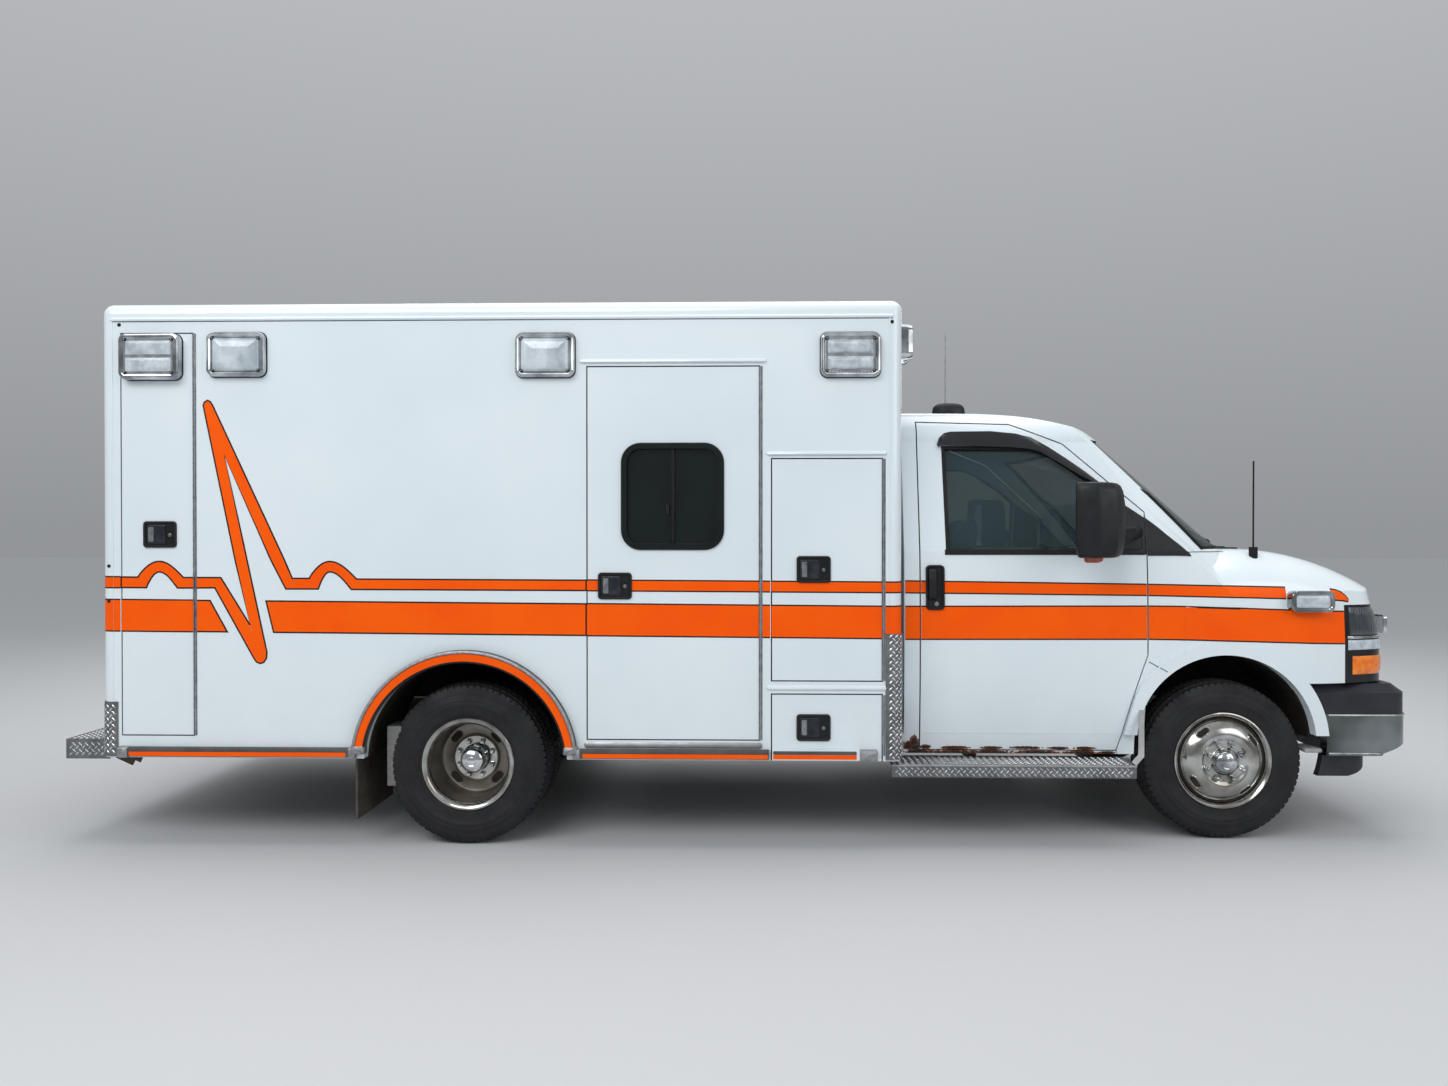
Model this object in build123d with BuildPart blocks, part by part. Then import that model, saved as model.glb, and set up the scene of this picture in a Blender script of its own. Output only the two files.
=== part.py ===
from build123d import *
import os

# Road ambulance: a box-shaped patient module on a van chassis with a two-door cab.
# Millimetres, +X towards the front, +Y to the vehicle's left, +Z up. The origin is on the ground,
# half way along the vehicle. Every piece is a separate solid in its own STEP file.

# Chassis
REAR_AXLE_X = -1265
FRONT_AXLE_X = 2266
TYRE_RADIUS = 372
AXLE_Z = TYRE_RADIUS
REAR_END = -3175
FRONT_END = 3175
FRONT_TYRE_Y = 874
OUTER_TYRE_Y = 1053
INNER_TYRE_Y = 791
DUAL_PLANE_Y = (OUTER_TYRE_Y + INNER_TYRE_Y) / 2
KINGPIN_Y = 829
RAIL_Y = (400, 460)
REAR_RAIL_Z = (480, 640)
FRONT_RAIL_Z = (400, 560)

# Wheels: the same pressed rim stands dish in at the rear and dish out at the front
TYRE_HALF_WIDTH = 112
TYRE_BULGE = 285  # radius at which a tyre is widest
TYRE_BORE = 206.3  # out to the corners of its flats, so that the flats clear the round rim
TYRE_BEVELS = (24, 22)  # how far the tread and the bore stand in from the bulge
TYRE_FLATS = 60  # flats round a tyre, so that all six stay a small mesh
RIM_SECTION = [  # (radius, distance towards the disc side)
    (206, -92), (224, -98), (217, -103), (197, -94), (197, 50), (152, 100), (128, 119), (66, 119),
    (66, 131), (134, 131), (162, 112), (197, 74), (197, 94), (217, 103), (224, 98), (206, 92),
]
DISC_OFFSET = 131
LUG_CIRCLE = 82.5
LUG_COUNT = 8
HAND_HOLES = 4
FRONT_BORE, REAR_BORE = 30, 45
RUNNING_GAP = 0.05

# Patient module
MODULE_X = (-2962, 734)
MODULE_HALF_WIDTH = 1195
MODULE_Z = (405, 2503)
WALL = 55
ROOF_Z = 2425
FLOOR_Z = (640, 720)
CORNER_RADIUS = 50
ARCH_RADIUS = 470
ARCH_Z = 385
DOOR_GAP = 6
DOOR_THICKNESS = 45
LINER = 10
COMPARTMENT_DEPTH = 400
WELL_INNER_Y = 640

# Door openings in the module's long walls: name, side (-1 right, +1 left), x range, z range
SIDE_OPENINGS = [
    ("side_entry_door", -1, (-706, 88), (495, 2205)),
    ("right_rear_locker_door", -1, (-2865, -2521), (505, 2366)),
    ("right_front_locker_door", -1, (137, 646), (766, 1784)),
    ("right_low_locker_door", -1, (137, 646), (405, 712)),
    ("left_rear_locker_door", 1, (-2865, -2521), (505, 2366)),
    ("left_front_locker_door", 1, (137, 646), (505, 1784)),
]
SIDE_WINDOW = ((-542, -81), (1370, 1849), 85)  # x range, z range, corner radius
RUB_RAIL_Z = (413, 456)
REAR_OPENING = ((-640, 640), (700, 2270))  # y range, z range
REAR_WINDOW = ((130, 520), (1370, 1849), 70)  # y range on the left door, z range, corner radius
PLATE_CENTRE, PLATE_BOLTS, PLATE_HOLE = (380, 595), (177.8, 120.65), 3.5  # licence plate, (y, z)
PASS_THROUGH = ((-300, 300), (1180, 1760))  # y range, z range, opening between module and cab

# Lamps: name of the group, then (x, z) or (y, z) centres of the 272 by 205 units
LAMP = (272, 205, 38, 34)  # width, height, depth, corner radius
SIDE_LAMPS_X = [(-2316, 2262), (-892, 2254), (497, 2250)]
DOOR_LAMP = (-2711, 2252)
FRONT_LAMPS_Y = [(-960, 2330), (-480, 2330), (0, 2330), (480, 2330), (960, 2330)]
REAR_LAMPS_Y = [(-950, 2330), (0, 2350), (950, 2330)]
TAIL_LAMPS_Z = [820, 960, 1100]
TAIL_LAMP = (180, 110, 30, 20)
TAIL_LAMP_Y = 930

# Cab
CAB_REAR_X = 770
CAB_BOTTOM_Z = 400
CAB_HALF_WIDTH = 1003
BELT_Z = 1355
SHELL = 45
RAKE_SLOPE = 1.14  # how far the windscreen leans back for each unit of height
RAKE_SPREAD = 1.5  # horizontal distance for each unit measured square to the windscreen
SCREEN_CORNER = (2347, 1379)  # x and z of the point where the screen starts to wrap round
SCREEN_FOOT_Z = 1095
SCREEN_PLAN = [(-60, 0, 0), (0, 700, 0.3), (75, 835, 0.7), (215, 925, 1), (300, 1000, 1)]  # back, y, y inset
SCREEN_OPENING = [(-905, 1366), (905, 1366), (835, 1893), (-835, 1893)]  # (y, z)
NOSE_X = 2080
HOOD_ARC = (2380, 147, 1220)  # centre x, centre z and radius of the bonnet's long curve
SHOULDER = (748, 970, 250)  # y, distance from that centre, and radius of the wing's round shoulder
FACE_LEAN, FACE_Z = 0.263, 933  # the grille leans back above this height
NOSE_PLAN = [  # x, y, and how far each moves with the inset
    (3110, 0, 1, 0), (3084, 760, 1, 0.1), (3048, 868, 0.9, 0.5), (2960, 925, 0.45, 0.9),
    (2790, 978, 0.2, 1), (2600, 1003, 0, 1),
]
HOOD_X, HOOD_HALF_WIDTH, HOOD_LOW_Z = 2438, 796, 1108
FENDER_X, FENDER_Y = 1914, 802
COWL_X = 2432
LAMP_X, LAMP_Y, LAMP_Z = 2840, 690, (738, 1101)
WING_LAMP = ((2552, 2752), (1075, 1174), 30)  # x range, z range, corner radius
WING_LAMP_OUT = 1040
GRILLE_LAMP = (3165, (-722, -640), (957, 1035))  # front, y range, z range
SEAM = 4
NOSE_BOTTOM_Z = 738
FRONT_ARCH_RADIUS = 415
FRONT_ARCH_Z = 457
FLARE = (60, 15)  # width of the raised lip round the front arch, and how far it stands out
ARCH_INNER_Y = 520
CAB_FLOOR_Z = (560, 600)
CAB_PASSAGE = ((-330, 330), (1150, 1790))  # y range, z range
TUNNEL = ((1000, 1600), 240, 770)  # x range, half width, top: the hump over the gearbox
FIREWALL_X = (2100, 2140)
DOGHOUSE = ((1600, 2140), 330, 1080)  # x range, half width, top: the cover over the engine
CAB_DOOR = [(847, 420), (847, 1978), (1290, 1965), (1539, 1868), (1904, 1540), (1904, 870),
            (1862, 745), (1790, 497), (1764, 420)]  # (x, z) round the door, from its rear foot
DOOR_WINDOW = [(972, 1352), (966, 1857), (1390, 1852), (1726, 1640), (1726, 1352)]
SAIL = [(1732, 1352), (1732, 1634), (1888, 1520), (1888, 1352)]  # black corner that carries the mirror

# Bumper, plan view of the left half: x, y, and which way the point moves when the outline is drawn in
BUMPER_PLAN = [(2400, 985, 0, 1), (3040, 985, 0, 1), (3111, 956, 0.7, 0.7), (3140, 885, 1, 0),
               (FRONT_END, 0, 1, 0)]
BUMPER_BACK_X = 2690
BUMPER_Z = (398, 595)
BUMPER_RISE = [(2975, 397), (3110, 450), (3200, 470), (3200, 380), (2975, 380)]  # (x, z) cut under its front
PAD_Z = (595, 693, 731)  # foot, edge and top of its sloping upper face
VALANCE_Z = (297, 398)
VALANCE_SETBACK = 150


os.makedirs("parts", exist_ok=True)


def slab(x, y, z, mode=Mode.ADD):
    """A box between two planes on each axis, in the current part."""
    with Locations(((x[0] + x[1]) / 2, (y[0] + y[1]) / 2, (z[0] + z[1]) / 2)):
        Box(x[1] - x[0], y[1] - y[0], z[1] - z[0], mode=mode)


def across(y):
    """Drawing plane square to Y at height y, local axes X and Z, whose extrusions run towards -Y."""
    return Plane.XZ.offset(-y)


def both_sides(low, high):
    """The same range of y on the right and on the left."""
    return [(-high, -low), (low, high)]


def rounded(x, z, radius):
    """A rectangle with round corners, from its ranges, in the current sketch."""
    with Locations(((x[0] + x[1]) / 2, (z[0] + z[1]) / 2)):
        RectangleRounded(x[1] - x[0], z[1] - z[0], radius)


def save(piece, name):
    """Labels one finished piece and writes it to its own file."""
    piece.part.label = name
    export_step(piece.part, f"parts/{name}.step")


def save_mirrored(piece, name):
    """Writes the mirror image of a piece on the other side of the vehicle."""
    with BuildPart() as twin:
        mirror(piece.part, about=Plane.XZ)
    save(twin, name)


def save_pair(piece, name):
    """Writes a right-hand piece and its mirror image on the left."""
    save(piece, f"{name}_right")
    save_mirrored(piece, f"{name}_left")


def section_plane(x, y, z=AXLE_Z):
    """Plane through a wheel's centre: local X is the radius, local Y points away from the vehicle."""
    return Plane(origin=(x, -y, z), x_dir=(0, 0, 1), z_dir=(1, 0, 0))


def spin_axis(x, z=AXLE_Z):
    """The wheels' axis at one axle."""
    return Axis((x, 0, z), (0, 1, 0))


def tyre(x, y):
    """Adds one tyre to the current part: a ring of flats, bevelled from its bulge to tread and bore."""
    start = Plane(origin=(x, -y - TYRE_HALF_WIDTH, AXLE_Z), x_dir=(1, 0, 0), z_dir=(0, 1, 0))
    with BuildSketch(start) as ring:
        RegularPolygon(TYRE_RADIUS, TYRE_FLATS)
        RegularPolygon(TYRE_BORE, TYRE_FLATS, mode=Mode.SUBTRACT)
    extrude(ring.sketch, amount=2 * TYRE_HALF_WIDTH)
    for way in (-1, 1):
        for inner, reach, depth in (
            (False, TYRE_RADIUS - TYRE_BULGE, TYRE_BEVELS[0]),
            (True, TYRE_BULGE - 6 - TYRE_BORE, TYRE_BEVELS[1]),
        ):
            level = faces().filter_by(Axis.Y).filter_by_position(
                Axis.Y, -y + way * TYRE_HALF_WIDTH - 0.1, -y + way * TYRE_HALF_WIDTH + 0.1
            )
            side = level.sort_by(SortBy.AREA)[-1]
            rim_edges = side.inner_wires()[0].edges() if inner else side.outer_wire().edges()
            chamfer(rim_edges, length=reach, length2=depth, reference=side)


def rim(x, y, out):
    """Turns one pressed rim; out is +1 with its disc outwards and -1 with its disc inwards."""
    with BuildSketch(section_plane(x, y)) as profile:
        with BuildLine():
            Polyline(*[(r, a * out) for r, a in RIM_SECTION], close=True)
        make_face()
    revolve(profile.sketch, axis=spin_axis(x))


def disc_plane(x, y):
    """Plane of a wheel's disc, seen from outside on the right."""
    return Plane(origin=(x, -y, AXLE_Z), x_dir=(1, 0, 0), z_dir=(0, -1, 0))


def hand_holes(x, y, depth):
    """Cuts the ring of oval holes through the dish of a rim, from plane y inwards."""
    with BuildSketch(disc_plane(x, y)) as holes:
        with PolarLocations(160, HAND_HOLES, start_angle=45):
            SlotOverall(64, 34, rotation=90)
    extrude(holes.sketch, amount=-depth, mode=Mode.SUBTRACT)


def lugs(x, y, length):
    """Adds the ring of wheel nuts that stand out of plane y."""
    with BuildSketch(disc_plane(x, y)) as nuts:
        with PolarLocations(LUG_CIRCLE, LUG_COUNT):
            RegularPolygon(16, 6)
    extrude(nuts.sketch, amount=length)


def hub(x, y_in, y_out, radius):
    """A turned hub between two distances from the middle of the vehicle."""
    with BuildSketch(disc_plane(x, y_in)) as end:
        Circle(radius)
    extrude(end.sketch, amount=y_out - y_in)


# Tyres and rims: single at the front, twin at the rear.
with BuildPart() as front_tyre:
    tyre(FRONT_AXLE_X, FRONT_TYRE_Y)
save_pair(front_tyre, "front_tyre")

disc_y = FRONT_TYRE_Y + DISC_OFFSET
with BuildPart() as front_wheel:
    rim(FRONT_AXLE_X, FRONT_TYRE_Y, 1)
    hand_holes(FRONT_AXLE_X, disc_y, 90)
    hub(FRONT_AXLE_X, 880, disc_y + 30, 66)
    lugs(FRONT_AXLE_X, disc_y, 22)
    with BuildSketch(disc_plane(FRONT_AXLE_X, 880)):
        Circle(FRONT_BORE)
    extrude(amount=110, mode=Mode.SUBTRACT)
save_pair(front_wheel, "front_wheel")

with BuildPart() as rear_tyres:
    tyre(REAR_AXLE_X, OUTER_TYRE_Y)
    tyre(REAR_AXLE_X, INNER_TYRE_Y)
save_pair(rear_tyres, "rear_twin_tyres")

with BuildPart() as rear_wheels:
    rim(REAR_AXLE_X, OUTER_TYRE_Y, -1)
    rim(REAR_AXLE_X, INNER_TYRE_Y, 1)
    hand_holes(REAR_AXLE_X, DUAL_PLANE_Y + 90, 180)
    hub(REAR_AXLE_X, 800, 912, 150)
    hub(REAR_AXLE_X, 900, DUAL_PLANE_Y + 118, 66)
    lugs(REAR_AXLE_X, DUAL_PLANE_Y + 12, 30)
    with BuildSketch(disc_plane(REAR_AXLE_X, 800)):
        Circle(REAR_BORE)
    extrude(amount=190, mode=Mode.SUBTRACT)
save_pair(rear_wheels, "rear_twin_wheels")


# Steering knuckles: an upright between the two ball joints, with the wheel's spindle.
with BuildPart() as knuckle:
    slab((FRONT_AXLE_X - 32, FRONT_AXLE_X + 32), (-855, -803), (AXLE_Z - 104, AXLE_Z + 104))
    with BuildSketch(disc_plane(FRONT_AXLE_X, 845)):
        Circle(107)
    extrude(amount=18)
    with BuildSketch(disc_plane(FRONT_AXLE_X, KINGPIN_Y)):
        Circle(FRONT_BORE - RUNNING_GAP)
    extrude(amount=150)
    slab((FRONT_AXLE_X - 150, FRONT_AXLE_X), (-826, -803), (300, 330))
save_pair(knuckle, "steering_knuckle")


def suspension_arm(z, thickness, inner_y):
    """A wishbone in plan, from the frame out to the ball joint, on both sides."""
    run = KINGPIN_Y - inner_y
    for side in (-1, 1):
        with BuildSketch(Plane.XY.offset(z)) as arm:
            with BuildLine():
                Polyline(
                    (FRONT_AXLE_X - 34, side * KINGPIN_Y), (FRONT_AXLE_X + 34, side * KINGPIN_Y),
                    (FRONT_AXLE_X + 34 + 0.22 * run, side * inner_y),
                    (FRONT_AXLE_X - 34 - 0.22 * run, side * inner_y), close=True)
            make_face()
            with Locations((FRONT_AXLE_X, side * KINGPIN_Y)):
                Circle(34)
            with Locations((FRONT_AXLE_X, side * (inner_y + 0.42 * run))):
                Circle(52, mode=Mode.SUBTRACT)
        extrude(arm.sketch, amount=thickness)


# Frame, axles, springs, engine, exhaust and tank: what shows from below.
with BuildPart() as frame:
    for y in both_sides(*RAIL_Y):
        slab((-2900, 760), y, REAR_RAIL_Z)
        slab((690, 3000), y, FRONT_RAIL_Z)
        slab((2990, 3088), y, (440, 560))
        slab((-3130, -2780), y, (402, 466))
        slab((-2860, -2780), y, (402, 500))
    for x in (-2850, -2000, -560, 300):
        slab((x - 35, x + 35), (-RAIL_Y[0], RAIL_Y[0]), (500, 620))
    for x in (1000, 2700):
        slab((x - 35, x + 35), (-RAIL_Y[0], RAIL_Y[0]), (402, 440))
    for side in (-1, 1):
        for x in (1100, 1650):
            y = sorted((side * RAIL_Y[0], side * 938))
            slab((x - 20, x + 20), y, (360, 400))
save(frame, "ladder_frame")

with BuildPart() as axle:
    with BuildSketch(disc_plane(REAR_AXLE_X, -788)):
        Circle(52)
    extrude(amount=2 * 788)
    with BuildSketch(disc_plane(REAR_AXLE_X, -985)):
        Circle(REAR_BORE - RUNNING_GAP)
    extrude(amount=2 * 985)
    with Locations((REAR_AXLE_X, 0, AXLE_Z)):
        Sphere(148)
    with BuildSketch(Plane.YZ.offset(REAR_AXLE_X)):
        with Locations((0, AXLE_Z)):
            Circle(70)
    extrude(amount=210)
    for side in (-1, 1):
        low, high = sorted((side * 505, side * 575))
        with BuildSketch(across(high)):
            with BuildLine():
                ThreePointArc((-1965, 500), (REAR_AXLE_X, 424), (-565, 500))
                Line((-565, 500), (-565, 530))
                ThreePointArc((-565, 530), (REAR_AXLE_X, 466), (-1965, 530))
                Line((-1965, 530), (-1965, 500))
            make_face()
        extrude(amount=high - low)
        slab((REAR_AXLE_X - 60, REAR_AXLE_X + 60), (low, high), (AXLE_Z, 480))
        hanger = sorted((side * 460, side * 575))
        for x in (-1965, -585):
            slab((x, x + 20), hanger, (495, 600))
save(axle, "rear_axle_and_springs")

with BuildPart() as front:
    slab((2180, 2352), (-RAIL_Y[1], RAIL_Y[1]), (300, 400))
    suspension_arm(230, 28, 420)
    suspension_arm(486, 20, 478)
    for y in both_sides(410, 470):
        slab((2130, 2402), y, (230, 400))
    for y in both_sides(RAIL_Y[1], 500):
        slab((2170, 2362), y, (400, 506))
    for side in (-1, 1):
        with Locations((FRONT_AXLE_X, side * 592, 372)):
            Cylinder(48, 240)
save(front, "front_suspension")

with BuildPart() as engine:
    slab((1760, 2480), (-230, 230), (420, 960))
    with BuildSketch(Plane.YZ.offset(1760)):
        with Locations((0, 540)):
            Circle(190)
    with BuildSketch(Plane.YZ.offset(1120)):
        with Locations((0, 500)):
            Circle(95)
    loft()
    with BuildSketch(Plane(origin=(1125, 0, 500), x_dir=(0, 1, 0), z_dir=(-2180, 0, -128))):
        Circle(42)
    extrude(amount=2180)
    slab((2500, 2540), (-330, 330), (560, 1060))
    slab((2470, 2510), (-80, 80), (700, 860))
save(engine, "engine_and_driveline")

with BuildPart() as tank:
    slab((-2740, -1760), (-375, 375), (330, 476))
    fillet(tank.edges().filter_by(Axis.Y), 45)
    for x in (-2500, -2000):
        slab((x - 20, x + 20), (-399, 399), (322, 500))
save(tank, "fuel_tank")

with BuildPart() as exhaust:
    with BuildLine():
        FilletPolyline((1700, 300, 440), (1350, 300, 360), (-620, 300, 360), (-620, 620, 340),
                       (-620, 1150, 340), radius=110)
    with BuildSketch(Plane(origin=(1700, 300, 440), x_dir=(0, 1, 0), z_dir=(-350, 0, -80))):
        Circle(36)
    sweep()
    with BuildSketch(Plane.YZ.offset(-150)):
        with Locations((300, 360)):
            Ellipse(120, 80)
    extrude(amount=700)
save(exhaust, "exhaust")


def mirrored_arc(*points):
    """An arc through three points and its mirror image on the other side of the middle."""
    for side in (-1, 1):
        ThreePointArc(*[(x, side * y) for x, y in points])


def nose_plan(inset):
    """Plan of the cab's lower half, from the rear wall round the front corners, as a face."""
    drawn = [(x - ahead * inset, y - out * inset) for x, y, ahead, out in NOSE_PLAN]
    front, corner, bend, cheek, flank, wall = drawn
    with BuildLine() as outline:
        ThreePointArc((corner[0], -corner[1]), front, corner)
        mirrored_arc(corner, bend, cheek)
        mirrored_arc(cheek, flank, wall)
        Polyline(wall, (600, wall[1]), (600, -wall[1]), (wall[0], -wall[1]))
    make_face(outline.edges())


def cab_form(inset):
    """Outer form of the cab and nose, or the same form drawn in on every face by inset.

    The side view is crossed with the front view, the plan of the nose, the bonnet's long curve turned
    about a cross axis with its round shoulders, and the swept windscreen.
    """
    foot_x = SCREEN_CORNER[0] + (SCREEN_CORNER[1] - SCREEN_FOOT_Z) * RAKE_SLOPE - inset * RAKE_SPREAD
    bow, corner, bend, end, wall = [(foot_x - back, y - share * inset) for back, y, share in SCREEN_PLAN]
    rear_x, foot_z = CAB_REAR_X + inset, CAB_BOTTOM_Z + inset
    brow = [(x - 0.7 * inset, z - 0.7 * inset) for x, z in ((3052, 1110), (3012, 1190), (2930, 1247))]
    with BuildPart() as upper:
        with BuildSketch(Plane.XY.offset(SCREEN_FOOT_Z)):
            with BuildLine():
                ThreePointArc((corner[0], -corner[1]), bow, corner)
                mirrored_arc(corner, bend, end)
                Polyline(end, wall, (600, wall[1]), (600, -wall[1]), (wall[0], -wall[1]),
                         (end[0], -end[1]))
            make_face()
        extrude(amount=1520, dir=(-RAKE_SLOPE, 0, 1))
        with BuildSketch(Plane.XZ):
            with BuildLine():
                Polyline((1100, 2029 - inset), (rear_x, 2038 - inset), (rear_x, SCREEN_FOOT_Z),
                         (2800, SCREEN_FOOT_Z), (2400, 1450), (1960, 1765 - inset))
                ThreePointArc((1960, 1765 - inset), (1800, 1866 - inset), (1660, 1934 - inset))
                ThreePointArc((1660, 1934 - inset), (1400, 2002 - inset), (1100, 2029 - inset))
            make_face()
        extrude(amount=1200, both=True, mode=Mode.INTERSECT)
    with BuildPart() as lower:
        with BuildSketch(Plane.XZ):
            with BuildLine():
                Polyline(brow[2], (2880, 1420), (NOSE_X, 1420), (NOSE_X, BELT_Z - inset),
                         (rear_x, BELT_Z - inset), (rear_x, foot_z), (2600 + inset, foot_z),
                         (2600 + inset, NOSE_BOTTOM_Z + inset),
                         (3250, NOSE_BOTTOM_Z + inset), (3250, 1000), brow[0])
                ThreePointArc(*brow)
            make_face()
        extrude(amount=1200, both=True)
    with BuildPart() as plan:
        with BuildSketch(Plane.XY) as outline:
            nose_plan(inset)
        extrude(outline.sketch, amount=FACE_Z)
        with BuildSketch(Plane.XY.offset(FACE_Z)) as outline:
            nose_plan(inset)
        extrude(outline.sketch, amount=600, dir=(-FACE_LEAN, 0, 1))
    x, z, radius = HOOD_ARC
    y, reach, round_off = SHOULDER
    with BuildPart() as barrel:
        with BuildSketch(Plane.YZ.offset(x)):
            with BuildLine():
                Polyline((y + round_off - inset, z + reach), (y + round_off - inset, z),
                         (inset - y - round_off, z), (inset - y - round_off, z + reach))
                Line((-y, z + radius - inset), (y, z + radius - inset))
                for side in (-1, 1):
                    RadiusArc((side * y, z + radius - inset), (side * (y + round_off - inset), z + reach),
                              side * (round_off - inset))
            make_face()
        revolve(axis=Axis((x, 0, z), (0, 1, 0)))
    with BuildPart() as nose:
        add(lower.part)
        slab((NOSE_X, 3300), (-1300, 1300), (0, 1500), mode=Mode.INTERSECT)
        add(barrel.part, mode=Mode.INTERSECT)
    with BuildPart() as form:
        add(lower.part)
        slab((0, NOSE_X), (-1300, 1300), (0, 1500), mode=Mode.INTERSECT)
        add(nose.part)
        add(plan.part, mode=Mode.INTERSECT)
        add(upper.part)
        with BuildSketch(Plane.YZ):
            with BuildLine():
                Line((-975, CAB_BOTTOM_Z), (975, CAB_BOTTOM_Z))
                ThreePointArc((700, 2032), (0, 2062), (-700, 2032))
                for side in (-1, 1):
                    ThreePointArc((side * 975, CAB_BOTTOM_Z), (side * CAB_HALF_WIDTH, 900),
                                  (side * 985, BELT_Z))
                    Line((side * 985, BELT_Z), (side * 872, 1880))
                    ThreePointArc((side * 872, 1880), (side * 826, 1990), (side * 700, 2032))
            make_face()
            if inset:
                offset(amount=-inset, kind=Kind.INTERSECTION)
        extrude(amount=3500, mode=Mode.INTERSECT)
    return form.part


def front_arches():
    """Cuts both front wheel openings, an arc over the wheel and straight sides below it."""
    for side in (-1, 1):
        low, high = sorted((side * ARCH_INNER_Y, side * 1100))
        with BuildSketch(across(high)) as opening:
            with Locations((FRONT_AXLE_X, FRONT_ARCH_Z)):
                Circle(FRONT_ARCH_RADIUS)
            with Locations((FRONT_AXLE_X, FRONT_ARCH_Z - 150)):
                Rectangle(2 * FRONT_ARCH_RADIUS, 300)
        extrude(opening.sketch, amount=high - low, mode=Mode.SUBTRACT)


def door_window():
    """Outline of the cab door's window, with its curved front upper corner, as a face."""
    with BuildLine() as outline:
        Polyline(*DOOR_WINDOW[:3])
        ThreePointArc(DOOR_WINDOW[2], (1555, 1772), DOOR_WINDOW[3])
        Polyline(*DOOR_WINDOW[3:], DOOR_WINDOW[0])
    make_face(outline.edges())


def door_outline(points, grow):
    """Outline of the cab door or its opening, with its curved foot beside the wheel, as a face."""
    with BuildLine() as outline:
        Polyline(*points[:6])
        ThreePointArc(*points[5:8])
        Polyline(*points[7:], points[0])
    make_face(outline.edges())
    if grow:
        offset(amount=grow, kind=Kind.INTERSECTION)


# Cab shell, wings, bonnet, doors, glass and front end, cut from one form so that their faces run through.
outer = cab_form(0)
inner = cab_form(SHELL)
with BuildPart() as skin:
    add(outer)
    add(inner, mode=Mode.SUBTRACT)
    slab((600, CAB_REAR_X + SHELL + 5), *CAB_PASSAGE, mode=Mode.SUBTRACT)
    slab((600, 3200), (-928, 928), (300, CAB_FLOOR_Z[0]), mode=Mode.SUBTRACT)
    front_arches()

with BuildPart() as doors_cut:
    with BuildSketch(across(1200)):
        door_outline(CAB_DOOR, DOOR_GAP)
    extrude(amount=420)
    mirror(about=Plane.XZ)

zones = []
for seam in (0, SEAM):
    with BuildPart() as zone:
        slab((1772 - seam, LAMP_X - 3 + seam), (FENDER_Y - seam, 1200), (300, BELT_Z - 4 + seam))
        slab((2330 - seam, 3200), (FENDER_Y - seam, 1200), (LAMP_Z[1] + 3 - seam, 1500))
        slab((2330 - seam, LAMP_X - 3 + seam), (FENDER_Y - seam, 1200), (300, 1500))
        with BuildSketch(across(1250)):
            door_outline(CAB_DOOR, DOOR_GAP)
        extrude(amount=500, mode=Mode.SUBTRACT)
        slab((1700, FENDER_X - 100 - seam), (700, 1250), (700, 1500), mode=Mode.SUBTRACT)
        mirror(about=Plane.XZ)
    zones.append(zone.part)

with BuildPart() as fenders:
    add(skin.part)
    add(zones[0], mode=Mode.INTERSECT)
    for side in (-1, 1):
        low, high = sorted((side * 960, side * (CAB_HALF_WIDTH + FLARE[1])))
        with BuildSketch(across(high)):
            with Locations((FRONT_AXLE_X, FRONT_ARCH_Z)):
                Circle(FRONT_ARCH_RADIUS + FLARE[0])
                Circle(FRONT_ARCH_RADIUS, mode=Mode.SUBTRACT)
            with Locations((FRONT_AXLE_X, FRONT_ARCH_Z + 300)):
                Rectangle(960, 520, mode=Mode.INTERSECT)
        extrude(amount=high - low)
    add(zones[0], mode=Mode.INTERSECT)
save(fenders, "front_wings")

with BuildPart() as hood:
    add(skin.part)
    slab((HOOD_X, 3200), (-HOOD_HALF_WIDTH, HOOD_HALF_WIDTH), (HOOD_LOW_Z, 1500), mode=Mode.INTERSECT)
save(hood, "bonnet")

with BuildPart() as screen_hole:
    with BuildSketch(Plane.YZ.offset(1450)):
        with BuildLine():
            Polyline(*SCREEN_OPENING, close=True)
        make_face()
    extrude(amount=1200)

with BuildPart() as shell:
    add(skin.part)
    slab((600, COWL_X), (-1200, 1200), (300, 2200), mode=Mode.INTERSECT)
    add(zones[1], mode=Mode.SUBTRACT)
    add(doors_cut.part, mode=Mode.SUBTRACT)
    add(screen_hole.part, mode=Mode.SUBTRACT)
    slab((CAB_REAR_X, FIREWALL_X[1]), (-925, 925), CAB_FLOOR_Z)
    slab(FIREWALL_X, (-798, 798), (CAB_FLOOR_Z[0], BELT_Z - 30))
    slab(TUNNEL[0], (-TUNNEL[1], TUNNEL[1]), (CAB_FLOOR_Z[0], TUNNEL[2]))
    slab((TUNNEL[0][0] + 20, TUNNEL[0][1]), (20 - TUNNEL[1], TUNNEL[1] - 20), (300, TUNNEL[2] - 20),
         mode=Mode.SUBTRACT)
    front_arches()
    slab((DOGHOUSE[0][0], 2300), (30 - DOGHOUSE[1], DOGHOUSE[1] - 30), (300, DOGHOUSE[2] - 20),
         mode=Mode.SUBTRACT)
save(shell, "cab_shell")

with BuildPart() as door:
    add(skin.part)
    with BuildSketch(across(-790)):
        door_outline(CAB_DOOR, 0)
    extrude(amount=400, mode=Mode.INTERSECT)
    with BuildSketch(across(-790)):
        door_window()
    extrude(amount=400, mode=Mode.SUBTRACT)
    with BuildSketch(across(-790)):
        with BuildLine():
            Polyline(*SAIL, close=True)
        make_face()
    extrude(amount=400, mode=Mode.SUBTRACT)
save_pair(door, "cab_door")

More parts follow.
